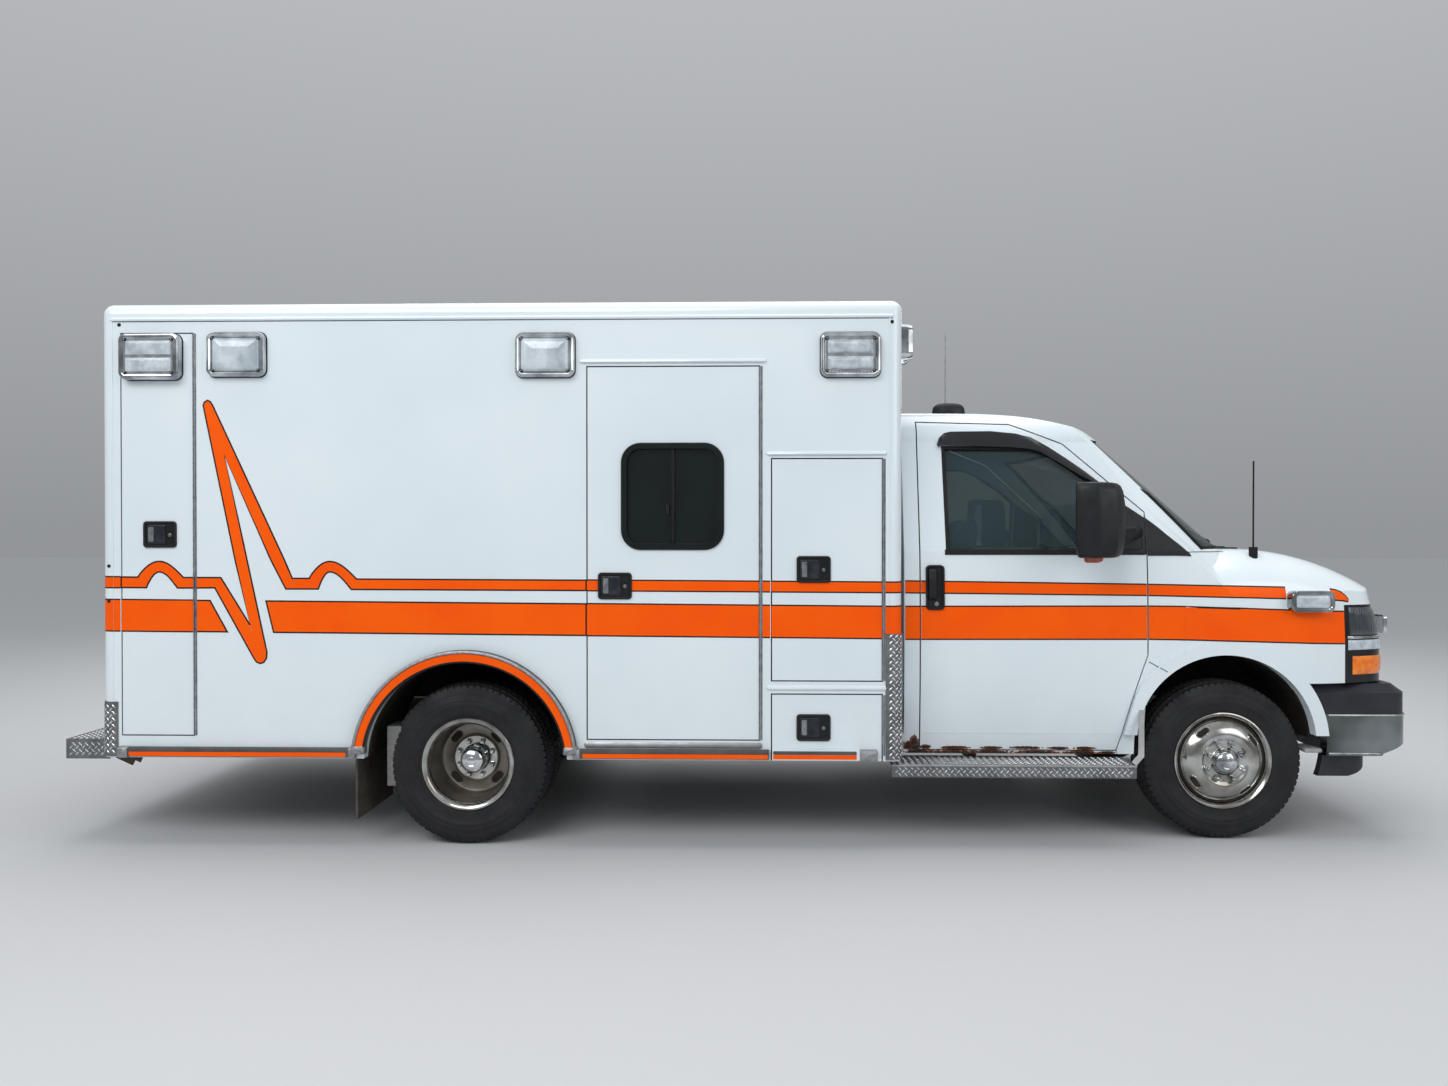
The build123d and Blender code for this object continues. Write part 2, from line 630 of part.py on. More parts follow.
with BuildPart() as pane:
    add(cab_form(16))
    add(cab_form(22), mode=Mode.SUBTRACT)
    with BuildSketch(across(-790)):
        door_window()
    extrude(amount=400, mode=Mode.INTERSECT)
save_pair(pane, "cab_door_glass")

with BuildPart() as windscreen:
    add(cab_form(10))
    add(cab_form(18), mode=Mode.SUBTRACT)
    add(screen_hole.part, mode=Mode.INTERSECT)
save(windscreen, "windscreen")

with BuildPart() as lamps:
    add(outer)
    slab((LAMP_X, 3200), (LAMP_Y, 1200), LAMP_Z, mode=Mode.INTERSECT)
    add(cab_form(70), mode=Mode.SUBTRACT)
    mirror(about=Plane.XZ)
save(lamps, "headlamps")

with BuildPart() as grille:
    add(skin.part)
    slab((2900, 3200), (4 - LAMP_Y, LAMP_Y - 4), (LAMP_Z[0] + 4, HOOD_LOW_Z - 8), mode=Mode.INTERSECT)
    for z in ((776, 870), (960, 1072)):
        slab((2900, 3200), (-630, 630), z, mode=Mode.SUBTRACT)
    for x, heights in ((3052, (798, 822, 846)), (3028, (982, 1004, 1026, 1048))):
        for z in heights:
            slab((x, x + 26), (-636, 636), (z - 3, z + 3))
        for column in range(-5, 6):
            slab((x - 8, x + 18), (column * 112 - 4, column * 112 + 4), (heights[0] - 28, heights[-1] + 28))
save(grille, "grille")

with BuildPart() as mirror_arm:
    add(outer)
    add(cab_form(SHELL - 20), mode=Mode.SUBTRACT)
    with BuildSketch(across(-790)):
        with BuildLine():
            Polyline(*SAIL, close=True)
        make_face()
    extrude(amount=400, mode=Mode.INTERSECT)
    slab((1735, 1850), (-1120, -940), (1362, 1442))
    with BuildSketch(Plane.XY.offset(1330)):
        with Locations((1626, -1180)):
            RectangleRounded(170, 214, 50)
    with BuildSketch(Plane.XY.offset(1672)):
        with Locations((1630, -1176)):
            RectangleRounded(150, 190, 50)
    loft()
save_pair(mirror_arm, "door_mirror")


def bumper_plan(cut, setback=0):
    """Plan outline of the bumper from the left side round to the right, drawn in by cut."""
    left = [(x - setback - forward * cut, y - outward * cut) for x, y, forward, outward in BUMPER_PLAN]
    right = [(x, -y) for x, y in left]
    with BuildLine() as outline:
        Line(left[0], left[1])
        ThreePointArc(left[1], left[2], left[3])
        ThreePointArc(left[3], left[4], right[3])
        ThreePointArc(right[3], right[2], right[1])
        Polyline(right[1], right[0], left[0])
    make_face(outline.edges())


def bumper_ring(inset, wall, z, setback=0):
    """Adds a band bent round the nose in plan, between two heights, and opens it at the back."""
    with BuildSketch(Plane.XY.offset(z[0])) as ring:
        bumper_plan(inset, setback)
    extrude(ring.sketch, amount=z[1] - z[0])
    if len(z) == 3:
        with BuildSketch(Plane.XY.offset(z[1])) as edge:
            bumper_plan(inset)
        with BuildSketch(Plane.XY.offset(z[2])) as top:
            bumper_plan(inset + 50)
        loft([edge.sketch.face(), top.sketch.face()])
    with BuildSketch(Plane.XY.offset(z[0] - 1)) as inside:
        bumper_plan(inset + wall, setback)
    extrude(inside.sketch, amount=z[-1] - z[0] + 2, mode=Mode.SUBTRACT)
    slab((2000, BUMPER_BACK_X), (-1200, 1200), (200, 900), mode=Mode.SUBTRACT)
    with BuildSketch(across(1200)) as flare:
        with Locations((FRONT_AXLE_X, FRONT_ARCH_Z)):
            Circle(FRONT_ARCH_RADIUS + FLARE[0] + 5)
    extrude(flare.sketch, amount=2400, mode=Mode.SUBTRACT)


# Bright bumper bar, black pad over it and valance under it.
with BuildPart() as bar:
    bumper_ring(0, 60, BUMPER_Z)
    with BuildSketch(across(1200)):
        with BuildLine():
            Polyline(*BUMPER_RISE, close=True)
        make_face()
    extrude(amount=2400, mode=Mode.SUBTRACT)
save(bar, "front_bumper")
with BuildPart() as pad:
    bumper_ring(4, 88, PAD_Z)
with BuildPart() as trim:
    bumper_ring(34, 40, VALANCE_Z, VALANCE_SETBACK)
    with BuildSketch(across(1200)):
        with BuildLine():
            ThreePointArc((2780, 290), (2925, 325), (3000, 400))
            Polyline((3000, 400), (3100, 400), (3100, 250), (2780, 250), (2780, 290))
        make_face()
    extrude(amount=2400, mode=Mode.SUBTRACT)
    add(pad.part)
save(trim, "bumper_trim")


# Bright lamps on the wings and on the grille.
with BuildPart() as nose_lamps:
    with BuildSketch(across(-930)):
        rounded(*WING_LAMP)
    extrude(amount=WING_LAMP_OUT - 930)
    slab((3000, GRILLE_LAMP[0]), *GRILLE_LAMP[1:])
    add(outer, mode=Mode.SUBTRACT)
    mirror(about=Plane.XZ)
save(nose_lamps, "nose_lamps")


# Dash with steering column and engine cover, and the two seats.
with BuildPart() as dash:
    with BuildSketch(across(880)):
        with BuildLine():
            Polyline((2096, 1000), (1960, 1000), (1900, 1130), (1905, 1240), (2000, 1318), (2096, 1318),
                     close=True)
        make_face()
    extrude(amount=1760)
    slab(DOGHOUSE[0], (-DOGHOUSE[1], DOGHOUSE[1]), (602, DOGHOUSE[2]))
    slab((2096, 2200), (-900, 900), (500, 1400), mode=Mode.SUBTRACT)
    slab((DOGHOUSE[0][0] + 20, 2200), (-310, 310), (500, DOGHOUSE[2] - 20), mode=Mode.SUBTRACT)
    slab((DOGHOUSE[0][0] - 5, 2200), (20 - TUNNEL[1], TUNNEL[1] - 20), (500, TUNNEL[2] - 20),
         mode=Mode.SUBTRACT)
    wheel_plane = Plane(origin=(1712, 430, 1200), x_dir=(0, 1, 0), z_dir=(-0.87, 0, 0.5))
    with BuildSketch(wheel_plane):
        Circle(196)
        Circle(172, mode=Mode.SUBTRACT)
        Rectangle(370, 30)
        Circle(56)
    extrude(amount=22)
    with BuildSketch(wheel_plane):
        Circle(34)
    extrude(amount=-270)
save(dash, "dash_and_steering_wheel")

with BuildPart() as seats:
    for side in (-1, 1):
        with Locations((1340, side * 590, 0)):
            with Locations((0, 0, 720)):
                Box(420, 380, 236)
            with Locations((10, 0, 890)):
                Box(520, 500, 120)
        with BuildSketch(Plane.XY.offset(900)):
            with Locations((1130, side * 590)):
                RectangleRounded(120, 480, 50)
        with BuildSketch(Plane.XY.offset(1520)):
            with Locations((990, side * 590)):
                RectangleRounded(90, 400, 40)
        loft()
        with Locations((975, side * 590, 1600)):
            Box(90, 250, 170)
save(seats, "cab_seats")


def module_form():
    """Outer form of the patient module, with rounded corner posts and roof edges."""
    with BuildPart() as form:
        slab(MODULE_X, (-MODULE_HALF_WIDTH, MODULE_HALF_WIDTH), MODULE_Z)
        fillet(form.edges().filter_by(Axis.Z), CORNER_RADIUS)
        fillet(form.faces().sort_by(Axis.Z)[-1].edges(), CORNER_RADIUS)
    return form.part


def wall_range(side):
    """y range of the right wall for side -1 and of the left wall for side +1."""
    return sorted((side * MODULE_HALF_WIDTH, side * (MODULE_HALF_WIDTH - WALL)))


form = module_form()


# Two long walls, the two ends, the roof and the floor, split where the real panels meet.
inner_y = MODULE_HALF_WIDTH - WALL
for side, name in ((-1, "module_wall_right"), (1, "module_wall_left")):
    with BuildPart() as wall:
        add(form)
        slab(MODULE_X, wall_range(side), (MODULE_Z[0], ROOF_Z), mode=Mode.INTERSECT)
        for _, opening_side, x, z in SIDE_OPENINGS:
            if opening_side == side:
                foot = z[0] - 20 if z[0] == MODULE_Z[0] else z[0]
                slab(x, (-1300, 1300), (foot, z[1]), mode=Mode.SUBTRACT)
        with BuildSketch(across(1300)):
            with Locations((REAR_AXLE_X, ARCH_Z)):
                Circle(ARCH_RADIUS)
        extrude(amount=2600, mode=Mode.SUBTRACT)
    save(wall, name)

with BuildPart() as front:
    add(form)
    slab((MODULE_X[1] - WALL, MODULE_X[1]), (-inner_y, inner_y), (FLOOR_Z[0], ROOF_Z), mode=Mode.INTERSECT)
    slab((MODULE_X[1], CAB_REAR_X), (-345, 345), (1135, 1805))
    slab((600, 800), *PASS_THROUGH, mode=Mode.SUBTRACT)
save(front, "module_front_wall")

with BuildPart() as rear:
    add(form)
    slab((MODULE_X[0], MODULE_X[0] + WALL), (-inner_y, inner_y), (490, ROOF_Z), mode=Mode.INTERSECT)
    slab((-3000, -2800), *REAR_OPENING, mode=Mode.SUBTRACT)
    with BuildSketch(Plane.YZ.offset(MODULE_X[0])):
        with Locations(PLATE_CENTRE):
            with GridLocations(*PLATE_BOLTS, 2, 2):
                Circle(PLATE_HOLE)
    extrude(amount=WALL, mode=Mode.SUBTRACT)
save(rear, "module_rear_frame")

with BuildPart() as roof:
    add(form)
    slab((-3200, 3000), (-1300, 1300), (ROOF_Z, 2600), mode=Mode.INTERSECT)
save(roof, "module_roof")

with BuildPart() as floor:
    slab((MODULE_X[0] + WALL, MODULE_X[1] - WALL), (-inner_y, inner_y), FLOOR_Z)
    entry = SIDE_OPENINGS[0]
    slab(entry[2], (-inner_y, 260 - inner_y), (480, FLOOR_Z[0]))
    slab((entry[2][0] + LINER, entry[2][1] - LINER), (-1300, 250 - inner_y), (500, 800), mode=Mode.SUBTRACT)
    for y in both_sides(WELL_INNER_Y, 1300):
        slab((REAR_AXLE_X - ARCH_RADIUS, REAR_AXLE_X + ARCH_RADIUS), y, (500, 900), mode=Mode.SUBTRACT)
    for _, side, x, z in SIDE_OPENINGS[1:]:
        y = sorted((side * 1300, side * (inner_y - COMPARTMENT_DEPTH - LINER)))
        if z[0] < FLOOR_Z[1]:
            slab((x[0] - LINER, x[1] + LINER), y, (300, 900), mode=Mode.SUBTRACT)
save(floor, "module_floor")


# Open-fronted lockers behind the outside doors.
inner_y = MODULE_HALF_WIDTH - WALL
with BuildPart() as liners:
    for _, side, x, z in SIDE_OPENINGS[1:]:
        floor_z = max(z[0], MODULE_Z[0] + LINER)
        y = sorted((side * inner_y, side * (inner_y - COMPARTMENT_DEPTH - LINER)))
        slab((x[0] - LINER, x[1] + LINER), y, (floor_z - LINER, z[1] + LINER))
    for _, side, x, z in SIDE_OPENINGS[1:]:
        floor_z = max(z[0], MODULE_Z[0] + LINER)
        y = sorted((side * (inner_y + 20), side * (inner_y - COMPARTMENT_DEPTH)))
        slab(x, y, (floor_z, z[1]), mode=Mode.SUBTRACT)
save(liners, "locker_liners")


# Black arch liners over all four wheel places, each a bent sheet with an inner wall.
rows = [  # axle x, arc centre z, radius, y of the mouth, y of the inner wall, foot of the inner wall
    (FRONT_AXLE_X, FRONT_ARCH_Z, FRONT_ARCH_RADIUS, 955, ARCH_INNER_Y, 612),
    (REAR_AXLE_X, ARCH_Z, ARCH_RADIUS, MODULE_HALF_WIDTH - WALL, WELL_INNER_Y, 610),
]
with BuildPart() as liners:
    for x, z, radius, mouth, wall, foot in rows:
        with BuildSketch(across(-wall)):
            with Locations((x, z)):
                Circle(radius)
        extrude(amount=mouth - wall)
    for x, z, radius, mouth, wall, foot in rows:
        with BuildSketch(across(-wall - 6)):
            with Locations((x, z)):
                Circle(radius - 6)
        extrude(amount=mouth - wall, mode=Mode.SUBTRACT)
        slab((x - 600, x + 600), (-1300, 0), (-100, z + 20), mode=Mode.SUBTRACT)
        slab((x - 600, x + 600), (-wall - 6.5, 0), (-100, foot), mode=Mode.SUBTRACT)
    mirror(about=Plane.XZ)
save(liners, "wheel_well_liners")


# Side entry door, locker doors and the pair of rear doors, each with its window cut.
for name, side, x, z in SIDE_OPENINGS:
    low, high = sorted((side * MODULE_HALF_WIDTH, side * (MODULE_HALF_WIDTH - DOOR_THICKNESS)))
    foot = z[0] if z[0] == MODULE_Z[0] else z[0] + DOOR_GAP
    with BuildPart() as door:
        slab((x[0] + DOOR_GAP, x[1] - DOOR_GAP), (low, high), (foot, z[1] - DOOR_GAP))
        if name == "right_low_locker_door":
            slab((x[0] + DOOR_GAP, 545), (-MODULE_HALF_WIDTH - 28, -MODULE_HALF_WIDTH), RUB_RAIL_Z)
        if name == "side_entry_door":
            with BuildSketch(across(1300)):
                rounded(*SIDE_WINDOW)
            extrude(amount=2600, mode=Mode.SUBTRACT)
        if "rear_locker" in name:
            with BuildSketch(Plane.XZ.offset(-side * MODULE_HALF_WIDTH)):
                with Locations(DOOR_LAMP):
                    RectangleRounded(LAMP[0], LAMP[1], LAMP[3])
            extrude(amount=-side * LAMP[2])
    save(door, name)

with BuildPart() as rear_door:
    slab((MODULE_X[0], MODULE_X[0] + DOOR_THICKNESS), (3, REAR_OPENING[0][1] - DOOR_GAP),
         (REAR_OPENING[1][0] + DOOR_GAP, REAR_OPENING[1][1] - DOOR_GAP))
    with BuildSketch(Plane.YZ.offset(-3000)):
        rounded(*REAR_WINDOW)
    extrude(amount=200, mode=Mode.SUBTRACT)
save(rear_door, "rear_door_left")
save_mirrored(rear_door, "rear_door_right")


# Tinted panes in raised black frames.
x, z, radius = SIDE_WINDOW
with BuildPart() as side_window:
    with BuildSketch(across(20 - MODULE_HALF_WIDTH)):
        rounded(x, z, radius)
    extrude(amount=-8)
    with BuildSketch(across(28 - MODULE_HALF_WIDTH)):
        rounded(x, z, radius)
        offset(amount=-22, mode=Mode.SUBTRACT)
    extrude(amount=40)
save(side_window, "side_door_window")

y, z, radius = REAR_WINDOW
with BuildPart() as rear_window:
    with BuildSketch(Plane.YZ.offset(MODULE_X[0] + 12)):
        rounded(y, z, radius)
    extrude(amount=8)
    with BuildSketch(Plane.YZ.offset(MODULE_X[0] - 12)):
        rounded(y, z, radius)
        offset(amount=-22, mode=Mode.SUBTRACT)
    extrude(amount=24)
save(rear_window, "rear_door_window_left")
save_mirrored(rear_window, "rear_door_window_right")


# Warning, scene and tail lamps on the module's fixed walls.
width, height, depth, radius = LAMP
with BuildPart() as lamps:
    with BuildSketch(across(-MODULE_HALF_WIDTH)):
        with Locations(*SIDE_LAMPS_X):
            RectangleRounded(width, height, radius)
    extrude(amount=depth)
    mirror(about=Plane.XZ)
    with BuildSketch(Plane.YZ.offset(MODULE_X[1])):
        with Locations(*FRONT_LAMPS_Y):
            RectangleRounded(width, height - 40, radius)
    extrude(amount=depth + 30)
    with BuildSketch(Plane.YZ.offset(MODULE_X[0])):
        with Locations(REAR_LAMPS_Y[0], REAR_LAMPS_Y[2]):
            RectangleRounded(width, height - 40, radius)
        with Locations(REAR_LAMPS_Y[1]):
            RectangleRounded(width, 110, radius)
        with Locations(*[(side * TAIL_LAMP_Y, z) for side in (-1, 1) for z in TAIL_LAMPS_Z]):
            RectangleRounded(TAIL_LAMP[0], TAIL_LAMP[1], TAIL_LAMP[3])
    extrude(amount=-TAIL_LAMP[2])
save(lamps, "module_lamps")


# Rubber fender rings, rub rails, mud flaps, rear step and running boards.
with BuildPart() as rings:
    with BuildSketch(across(-MODULE_HALF_WIDTH)):
        with Locations((REAR_AXLE_X, ARCH_Z)):
            Circle(522)
            Circle(464, mode=Mode.SUBTRACT)
        with Locations((REAR_AXLE_X, 457 + 300)):
            Rectangle(1200, 600, mode=Mode.INTERSECT)
    extrude(amount=34)
    mirror(about=Plane.XZ)
save(rings, "arch_rings")

with BuildPart() as rails:
    for side, x in ((-1, (-2836, -1790)), (-1, (-740, 128)), (1, (-2836, -1790)), (1, (-740, 545))):
        slab(x, sorted((side * MODULE_HALF_WIDTH, side * (MODULE_HALF_WIDTH + 28))), RUB_RAIL_Z)
    fillet(rails.edges().filter_by(Axis.X).group_by(Axis.Y)[0], 10)
    fillet(rails.edges().filter_by(Axis.X).group_by(Axis.Y)[-1], 10)
save(rails, "rub_rails")

with BuildPart() as flaps:
    for low, high in ((690, 1188), (690, 1138)):
        for y in both_sides(low, high):
            slab((-1776, -1766), y, (122, 402 if high == 1188 else FLOOR_Z[0]))
save(flaps, "mud_flaps")

with BuildPart() as step:
    slab((REAR_END, -2966), (-1120, 1120), (382, 474))
    slab((REAR_END + 6, -2900), (-1114, 1114), (300, 468), mode=Mode.SUBTRACT)
save(step, "rear_step")

with BuildPart() as boards:
    for side in (-1, 1):
        low, high = sorted((side * 985, side * 1165))
        with BuildSketch(Plane.YZ.offset(690)):
            with BuildLine():
                Polyline((side * 940, 382), (side * 1165, 382), (side * 1165, 326), (side * 1159, 326),
                         (side * 1159, 376), (side * 940, 376), close=True)
            make_face()
        extrude(amount=1110)
        for x in (1100, 1650):
            slab((x - 20, x + 20), sorted((side * 938, side * 1150)), (382, 400))
save(boards, "running_boards")


# Squad bench along the right wall, and cabinets along the left wall.
inner_y = MODULE_HALF_WIDTH - WALL
with BuildPart() as furniture:
    slab((-2500, -760), (-inner_y, -610), (FLOOR_Z[1], 1180))
    slab((-2480, -780), (-1200, -635), (600, 1155), mode=Mode.SUBTRACT)
    slab((-2490, -770), (-inner_y, -600), (1180, 1250))
    slab((-2500, 120), (610, inner_y), (FLOOR_Z[1], 1200))
    slab((-2480, 100), (635, 1200), (600, 1175), mode=Mode.SUBTRACT)
    slab((-2500, 120), (800, inner_y), (1600, 2380))
    slab((-2480, 100), (820, 1200), (1620, 2360), mode=Mode.SUBTRACT)
save(furniture, "patient_furniture")


# Low aerial base on the cab roof and the whip on the right wing.
with BuildPart() as aerials:
    with BuildSketch(Plane.XY.offset(2030)):
        with Locations((1010, 0)):
            Ellipse(95, 45)
    extrude(amount=56, taper=25)
    with Locations((2452, -870, 1320)):
        Cylinder(20, 56, align=(Align.CENTER, Align.CENTER, Align.MIN))
        Cylinder(4, 468, align=(Align.CENTER, Align.CENTER, Align.MIN))
    add(outer, mode=Mode.SUBTRACT)
save(aerials, "aerials")
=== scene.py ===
"""Looks of a box-body road ambulance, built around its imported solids.

Metres, +X towards the front, +Y to the vehicle's left, +Z up. Sizes in the tables are millimetres.
"""

from __future__ import annotations

import logging
import math
from collections.abc import Callable, Iterable, Sequence
from dataclasses import dataclass, field, replace
from enum import Enum
from itertools import product

import bmesh
import bpy
from mathutils import Matrix, Vector
from mathutils.bvhtree import BVHTree


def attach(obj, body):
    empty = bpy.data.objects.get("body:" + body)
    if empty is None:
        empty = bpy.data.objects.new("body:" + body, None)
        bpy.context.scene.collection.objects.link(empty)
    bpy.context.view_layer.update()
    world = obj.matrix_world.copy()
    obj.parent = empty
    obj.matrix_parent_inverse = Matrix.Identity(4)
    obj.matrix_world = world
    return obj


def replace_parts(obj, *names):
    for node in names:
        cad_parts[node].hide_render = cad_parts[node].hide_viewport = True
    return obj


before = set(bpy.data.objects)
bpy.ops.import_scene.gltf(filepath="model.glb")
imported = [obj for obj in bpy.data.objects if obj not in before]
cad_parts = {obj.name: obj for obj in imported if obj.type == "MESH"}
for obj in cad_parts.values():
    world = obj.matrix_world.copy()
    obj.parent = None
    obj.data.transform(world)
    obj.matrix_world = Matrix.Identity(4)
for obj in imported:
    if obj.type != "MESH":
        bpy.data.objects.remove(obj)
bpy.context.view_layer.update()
LOG = logging.getLogger("ambulance")
MM = 0.001
Point2 = tuple[float, float]
Point3 = tuple[float, float, float]
Place = Point3 | Vector
Tree, Socket = bpy.types.NodeTree, bpy.types.NodeSocket
Loop = Sequence[Point2]
AXLE_Z, FRONT_AXLE_X, REAR_AXLE_X = 372, 2266, -1265


# ---------------------------------------------------------------- small tools


def linear(hex_colour: str) -> tuple[float, float, float, float]:
    """Turns an sRGB hex colour into linear values.

    Args:
        hex_colour: six hex digits, such as "e8edef".

    Returns:
        Linear red, green, blue and alpha.
    """
    parts = [int(hex_colour[i : i + 2], 16) / 255 for i in (0, 2, 4)]
    red, green, blue = [c / 12.92 if c <= 0.04045 else ((c + 0.055) / 1.055) ** 2.4 for c in parts]
    return (red, green, blue, 1.0)


def add_node(tree: bpy.types.NodeTree, kind: str, links: dict | None = None, **settings) -> bpy.types.Node:
    """Adds one shader node with its settings and links.

    Args:
        tree: node tree that gets the node.
        kind: Blender's node type name.
        links: input name or index to a socket that feeds it, or to its value.
        settings: attributes set on the node.

    Returns:
        The new node.
    """
    node = tree.nodes.new(kind)
    for name, value in settings.items():
        setattr(node, name, value)
    for key, value in (links or {}).items():
        socket = node.inputs[key]
        if isinstance(value, bpy.types.NodeSocket):
            tree.links.new(value, socket)
        else:
            socket.default_value = value
    return node


def link(name: str, data: bpy.types.ID) -> bpy.types.Object:
    """Puts an object with its data into the scene.

    Args:
        name: the object's name.
        data: its mesh, camera or light.

    Returns:
        The object.
    """
    thing = bpy.data.objects.new(name, data)
    bpy.context.scene.collection.objects.link(thing)
    return thing


class Side(Enum):
    """The two long sides of the vehicle."""

    RIGHT = -1
    LEFT = 1

    @property
    def word(self) -> str:
        """Name used in piece names."""
        return self.name.lower()


# ---------------------------------------------------------------- finishes


class Grain(Enum):
    """Small relief that a surface process leaves."""

    PEEL = "orange peel of a sprayed coat"
    CAST = "sand-cast skin"
    MOULDED = "moulded texture"
    BRUSHED = "lines along the length"
    WEAVE = "woven yarns"
    HIDE = "embossed leather grain"
    RIBS = "upright ribs"


@dataclass(frozen=True)
class Stain:
    """One irregular patch of rust, by its place and half size in the side view, in millimetres."""

    x: float
    z: float
    half_width: float
    half_height: float


@dataclass(frozen=True)
class Finish:
    """One real material with its surface process. Sizes in millimetres."""

    name: str
    slot: str
    colour: str
    rough: tuple[float, float]
    mottle: str = ""
    mottle_mm: float = 60.0
    metal: float = 0.0
    coat: float = 0.0
    opacity: float = 1.0
    specular: float = 0.5
    relief: tuple[Grain, float, float] | None = None  # kind, size of its features and depth
    sheen: float = 0.0
    edge: str = ""
    dust: float = 0.0
    stains: tuple[Stain, ...] = ()

    def material(self) -> bpy.types.Material:
        """Makes the material once and hands the same one back afterwards.

        Returns:
            Blender's material of this finish.
        """
        known = bpy.data.materials.get(self.name)
        if known:
            return known
        material = bpy.data.materials.new(self.name)
        material.use_nodes = True
        tree = material.node_tree
        shader = tree.nodes["Principled BSDF"]
        place = add_node(tree, "ShaderNodeTexCoord").outputs["Object"]
        colour = self._mottled(tree, place)
        rough = self._roughness(tree, place)
        if self.edge:
            colour = self._worn(tree, colour)
        if self.dust:
            colour, rough = self._dusty(tree, place, colour, rough)
        if self.stains:
            colour, rough = self._stained(tree, place, colour, rough)
        tree.links.new(colour, shader.inputs["Base Color"])
        tree.links.new(rough, shader.inputs["Roughness"])
        for name, value in (("Metallic", self.metal), ("Coat Weight", self.coat), ("Coat Roughness", 0.06),
                ("Alpha", self.opacity), ("Sheen Weight", self.sheen), ("Specular IOR Level", self.specular)):
            shader.inputs[name].default_value = value
        if self.relief:
            height = self._height(tree, place)
            bump = add_node(tree, "ShaderNodeBump", {"Height": height, "Distance": self.relief[2] * MM})
            tree.links.new(bump.outputs["Normal"], shader.inputs["Normal"])
        material.diffuse_color = linear(self.colour)
        return material

    def _noise(self, tree: Tree, place: Socket, size_mm: float, detail: float = 3.0,
            stretch: Point3 | None = None) -> Socket:
        """Adds a noise field whose features have one size.

        Args:
            tree: node tree that gets the nodes.
            place: socket with the surface place in metres.
            size_mm: size of one feature.
            detail: octaves of finer noise.
            stretch: factor of that size along each axis.

        Returns:
            Socket with values around a half.
        """
        if stretch:
            place = add_node(tree, "ShaderNodeMapping", {"Vector": place, "Scale": stretch}).outputs[0]
        settings = {"Vector": place, "Scale": 1000.0 / size_mm, "Detail": detail}
        return add_node(tree, "ShaderNodeTexNoise", settings).outputs[0]

    def _mix(self, tree: Tree, factor: Socket, first: Socket | str, second: Socket | str) -> Socket:
        """Mixes two colours.

        Args:
            tree: node tree that gets the node.
            factor: 0 for the first colour and 1 for the second.
            first: socket or hex colour.
            second: socket or hex colour.

        Returns:
            Socket with the mixed colour.
        """
        ends = [linear(c) if isinstance(c, str) else c for c in (first, second)]
        return add_node(tree, "ShaderNodeMixRGB", {"Fac": factor, "Color1": ends[0],
            "Color2": ends[1]}).outputs[0]

    def _ranged(self, tree: Tree, value: Socket, low: float, high: float, to_low: float = 0.0,
            to_high: float = 1.0) -> Socket:
        """Maps one range of values to another and clamps it.

        Args:
            tree: node tree that gets the node.
            value: socket with the value.
            low: value that gives to_low.
            high: value that gives to_high.
            to_low: result at low.
            to_high: result at high.

        Returns:
            Socket with the mapped value.
        """
        ends = {"Value": value, "From Min": low, "From Max": high, "To Min": to_low, "To Max": to_high}
        return add_node(tree, "ShaderNodeMapRange", ends).outputs[0]

    def _mottled(self, tree: Tree, place: Socket) -> Socket:
        """Gives the base colour its slow, uneven change of tone."""
        field = self._ranged(tree, self._noise(tree, place, self.mottle_mm), 0.35, 0.65)
        return self._mix(tree, field, self.colour, self.mottle or self.colour)

    def _roughness(self, tree: Tree, place: Socket) -> Socket:
        """Gives the gloss its uneven wear, between the two roughness values."""
        field = self._noise(tree, place, self.mottle_mm * 0.4, 5.0)
        return self._ranged(tree, field, 0.35, 0.65, *self.rough)

    def _worn(self, tree: Tree, colour: Socket) -> Socket:
        """Bares the material under the coat along sharp edges."""
        point = add_node(tree, "ShaderNodeNewGeometry").outputs["Pointiness"]
        return self._mix(tree, self._ranged(tree, point, 0.52, 0.58), colour, self.edge)

    def _dusty(self, tree: Tree, place: Socket, colour: Socket, rough: Socket) -> tuple[Socket, Socket]:
        """Lays road dust on the low parts, thicker towards the ground.

        Args:
            tree: node tree that gets the nodes.
            place: socket with the surface place in metres.
            colour: socket with the colour so far.
            rough: socket with the roughness so far.

        Returns:
            Sockets with the new colour and roughness.
        """
        height = add_node(tree, "ShaderNodeSeparateXYZ", {0: place}).outputs["Z"]
        low = self._ranged(tree, height, 0.95, 0.25, 0.0, self.dust)
        cloud = self._ranged(tree, self._noise(tree, place, 120.0, 6.0), 0.3, 0.7, 0.35, 1.0)
        amount = self._math(tree, "MULTIPLY", low, cloud)
        return self._mix(tree, amount, colour, "8f8576"), self._ranged_mix(tree, amount, rough, 0.85)

    def _ranged_mix(self, tree: Tree, amount: Socket, rough: Socket, end: float) -> Socket:
        """Moves a roughness towards an end value by an amount."""
        return add_node(tree, "ShaderNodeMix", {0: amount, 2: rough, 3: end}).outputs[0]

    def _math(self, tree: Tree, operation: str, *values: Socket | Point3, kind: str = "ShaderNodeMath",
            output: int | str = 0) -> Socket:
        """Adds one node of arithmetic, on numbers or with another kind on vectors."""
        return add_node(tree, kind, dict(enumerate(values)), operation=operation).outputs[output]

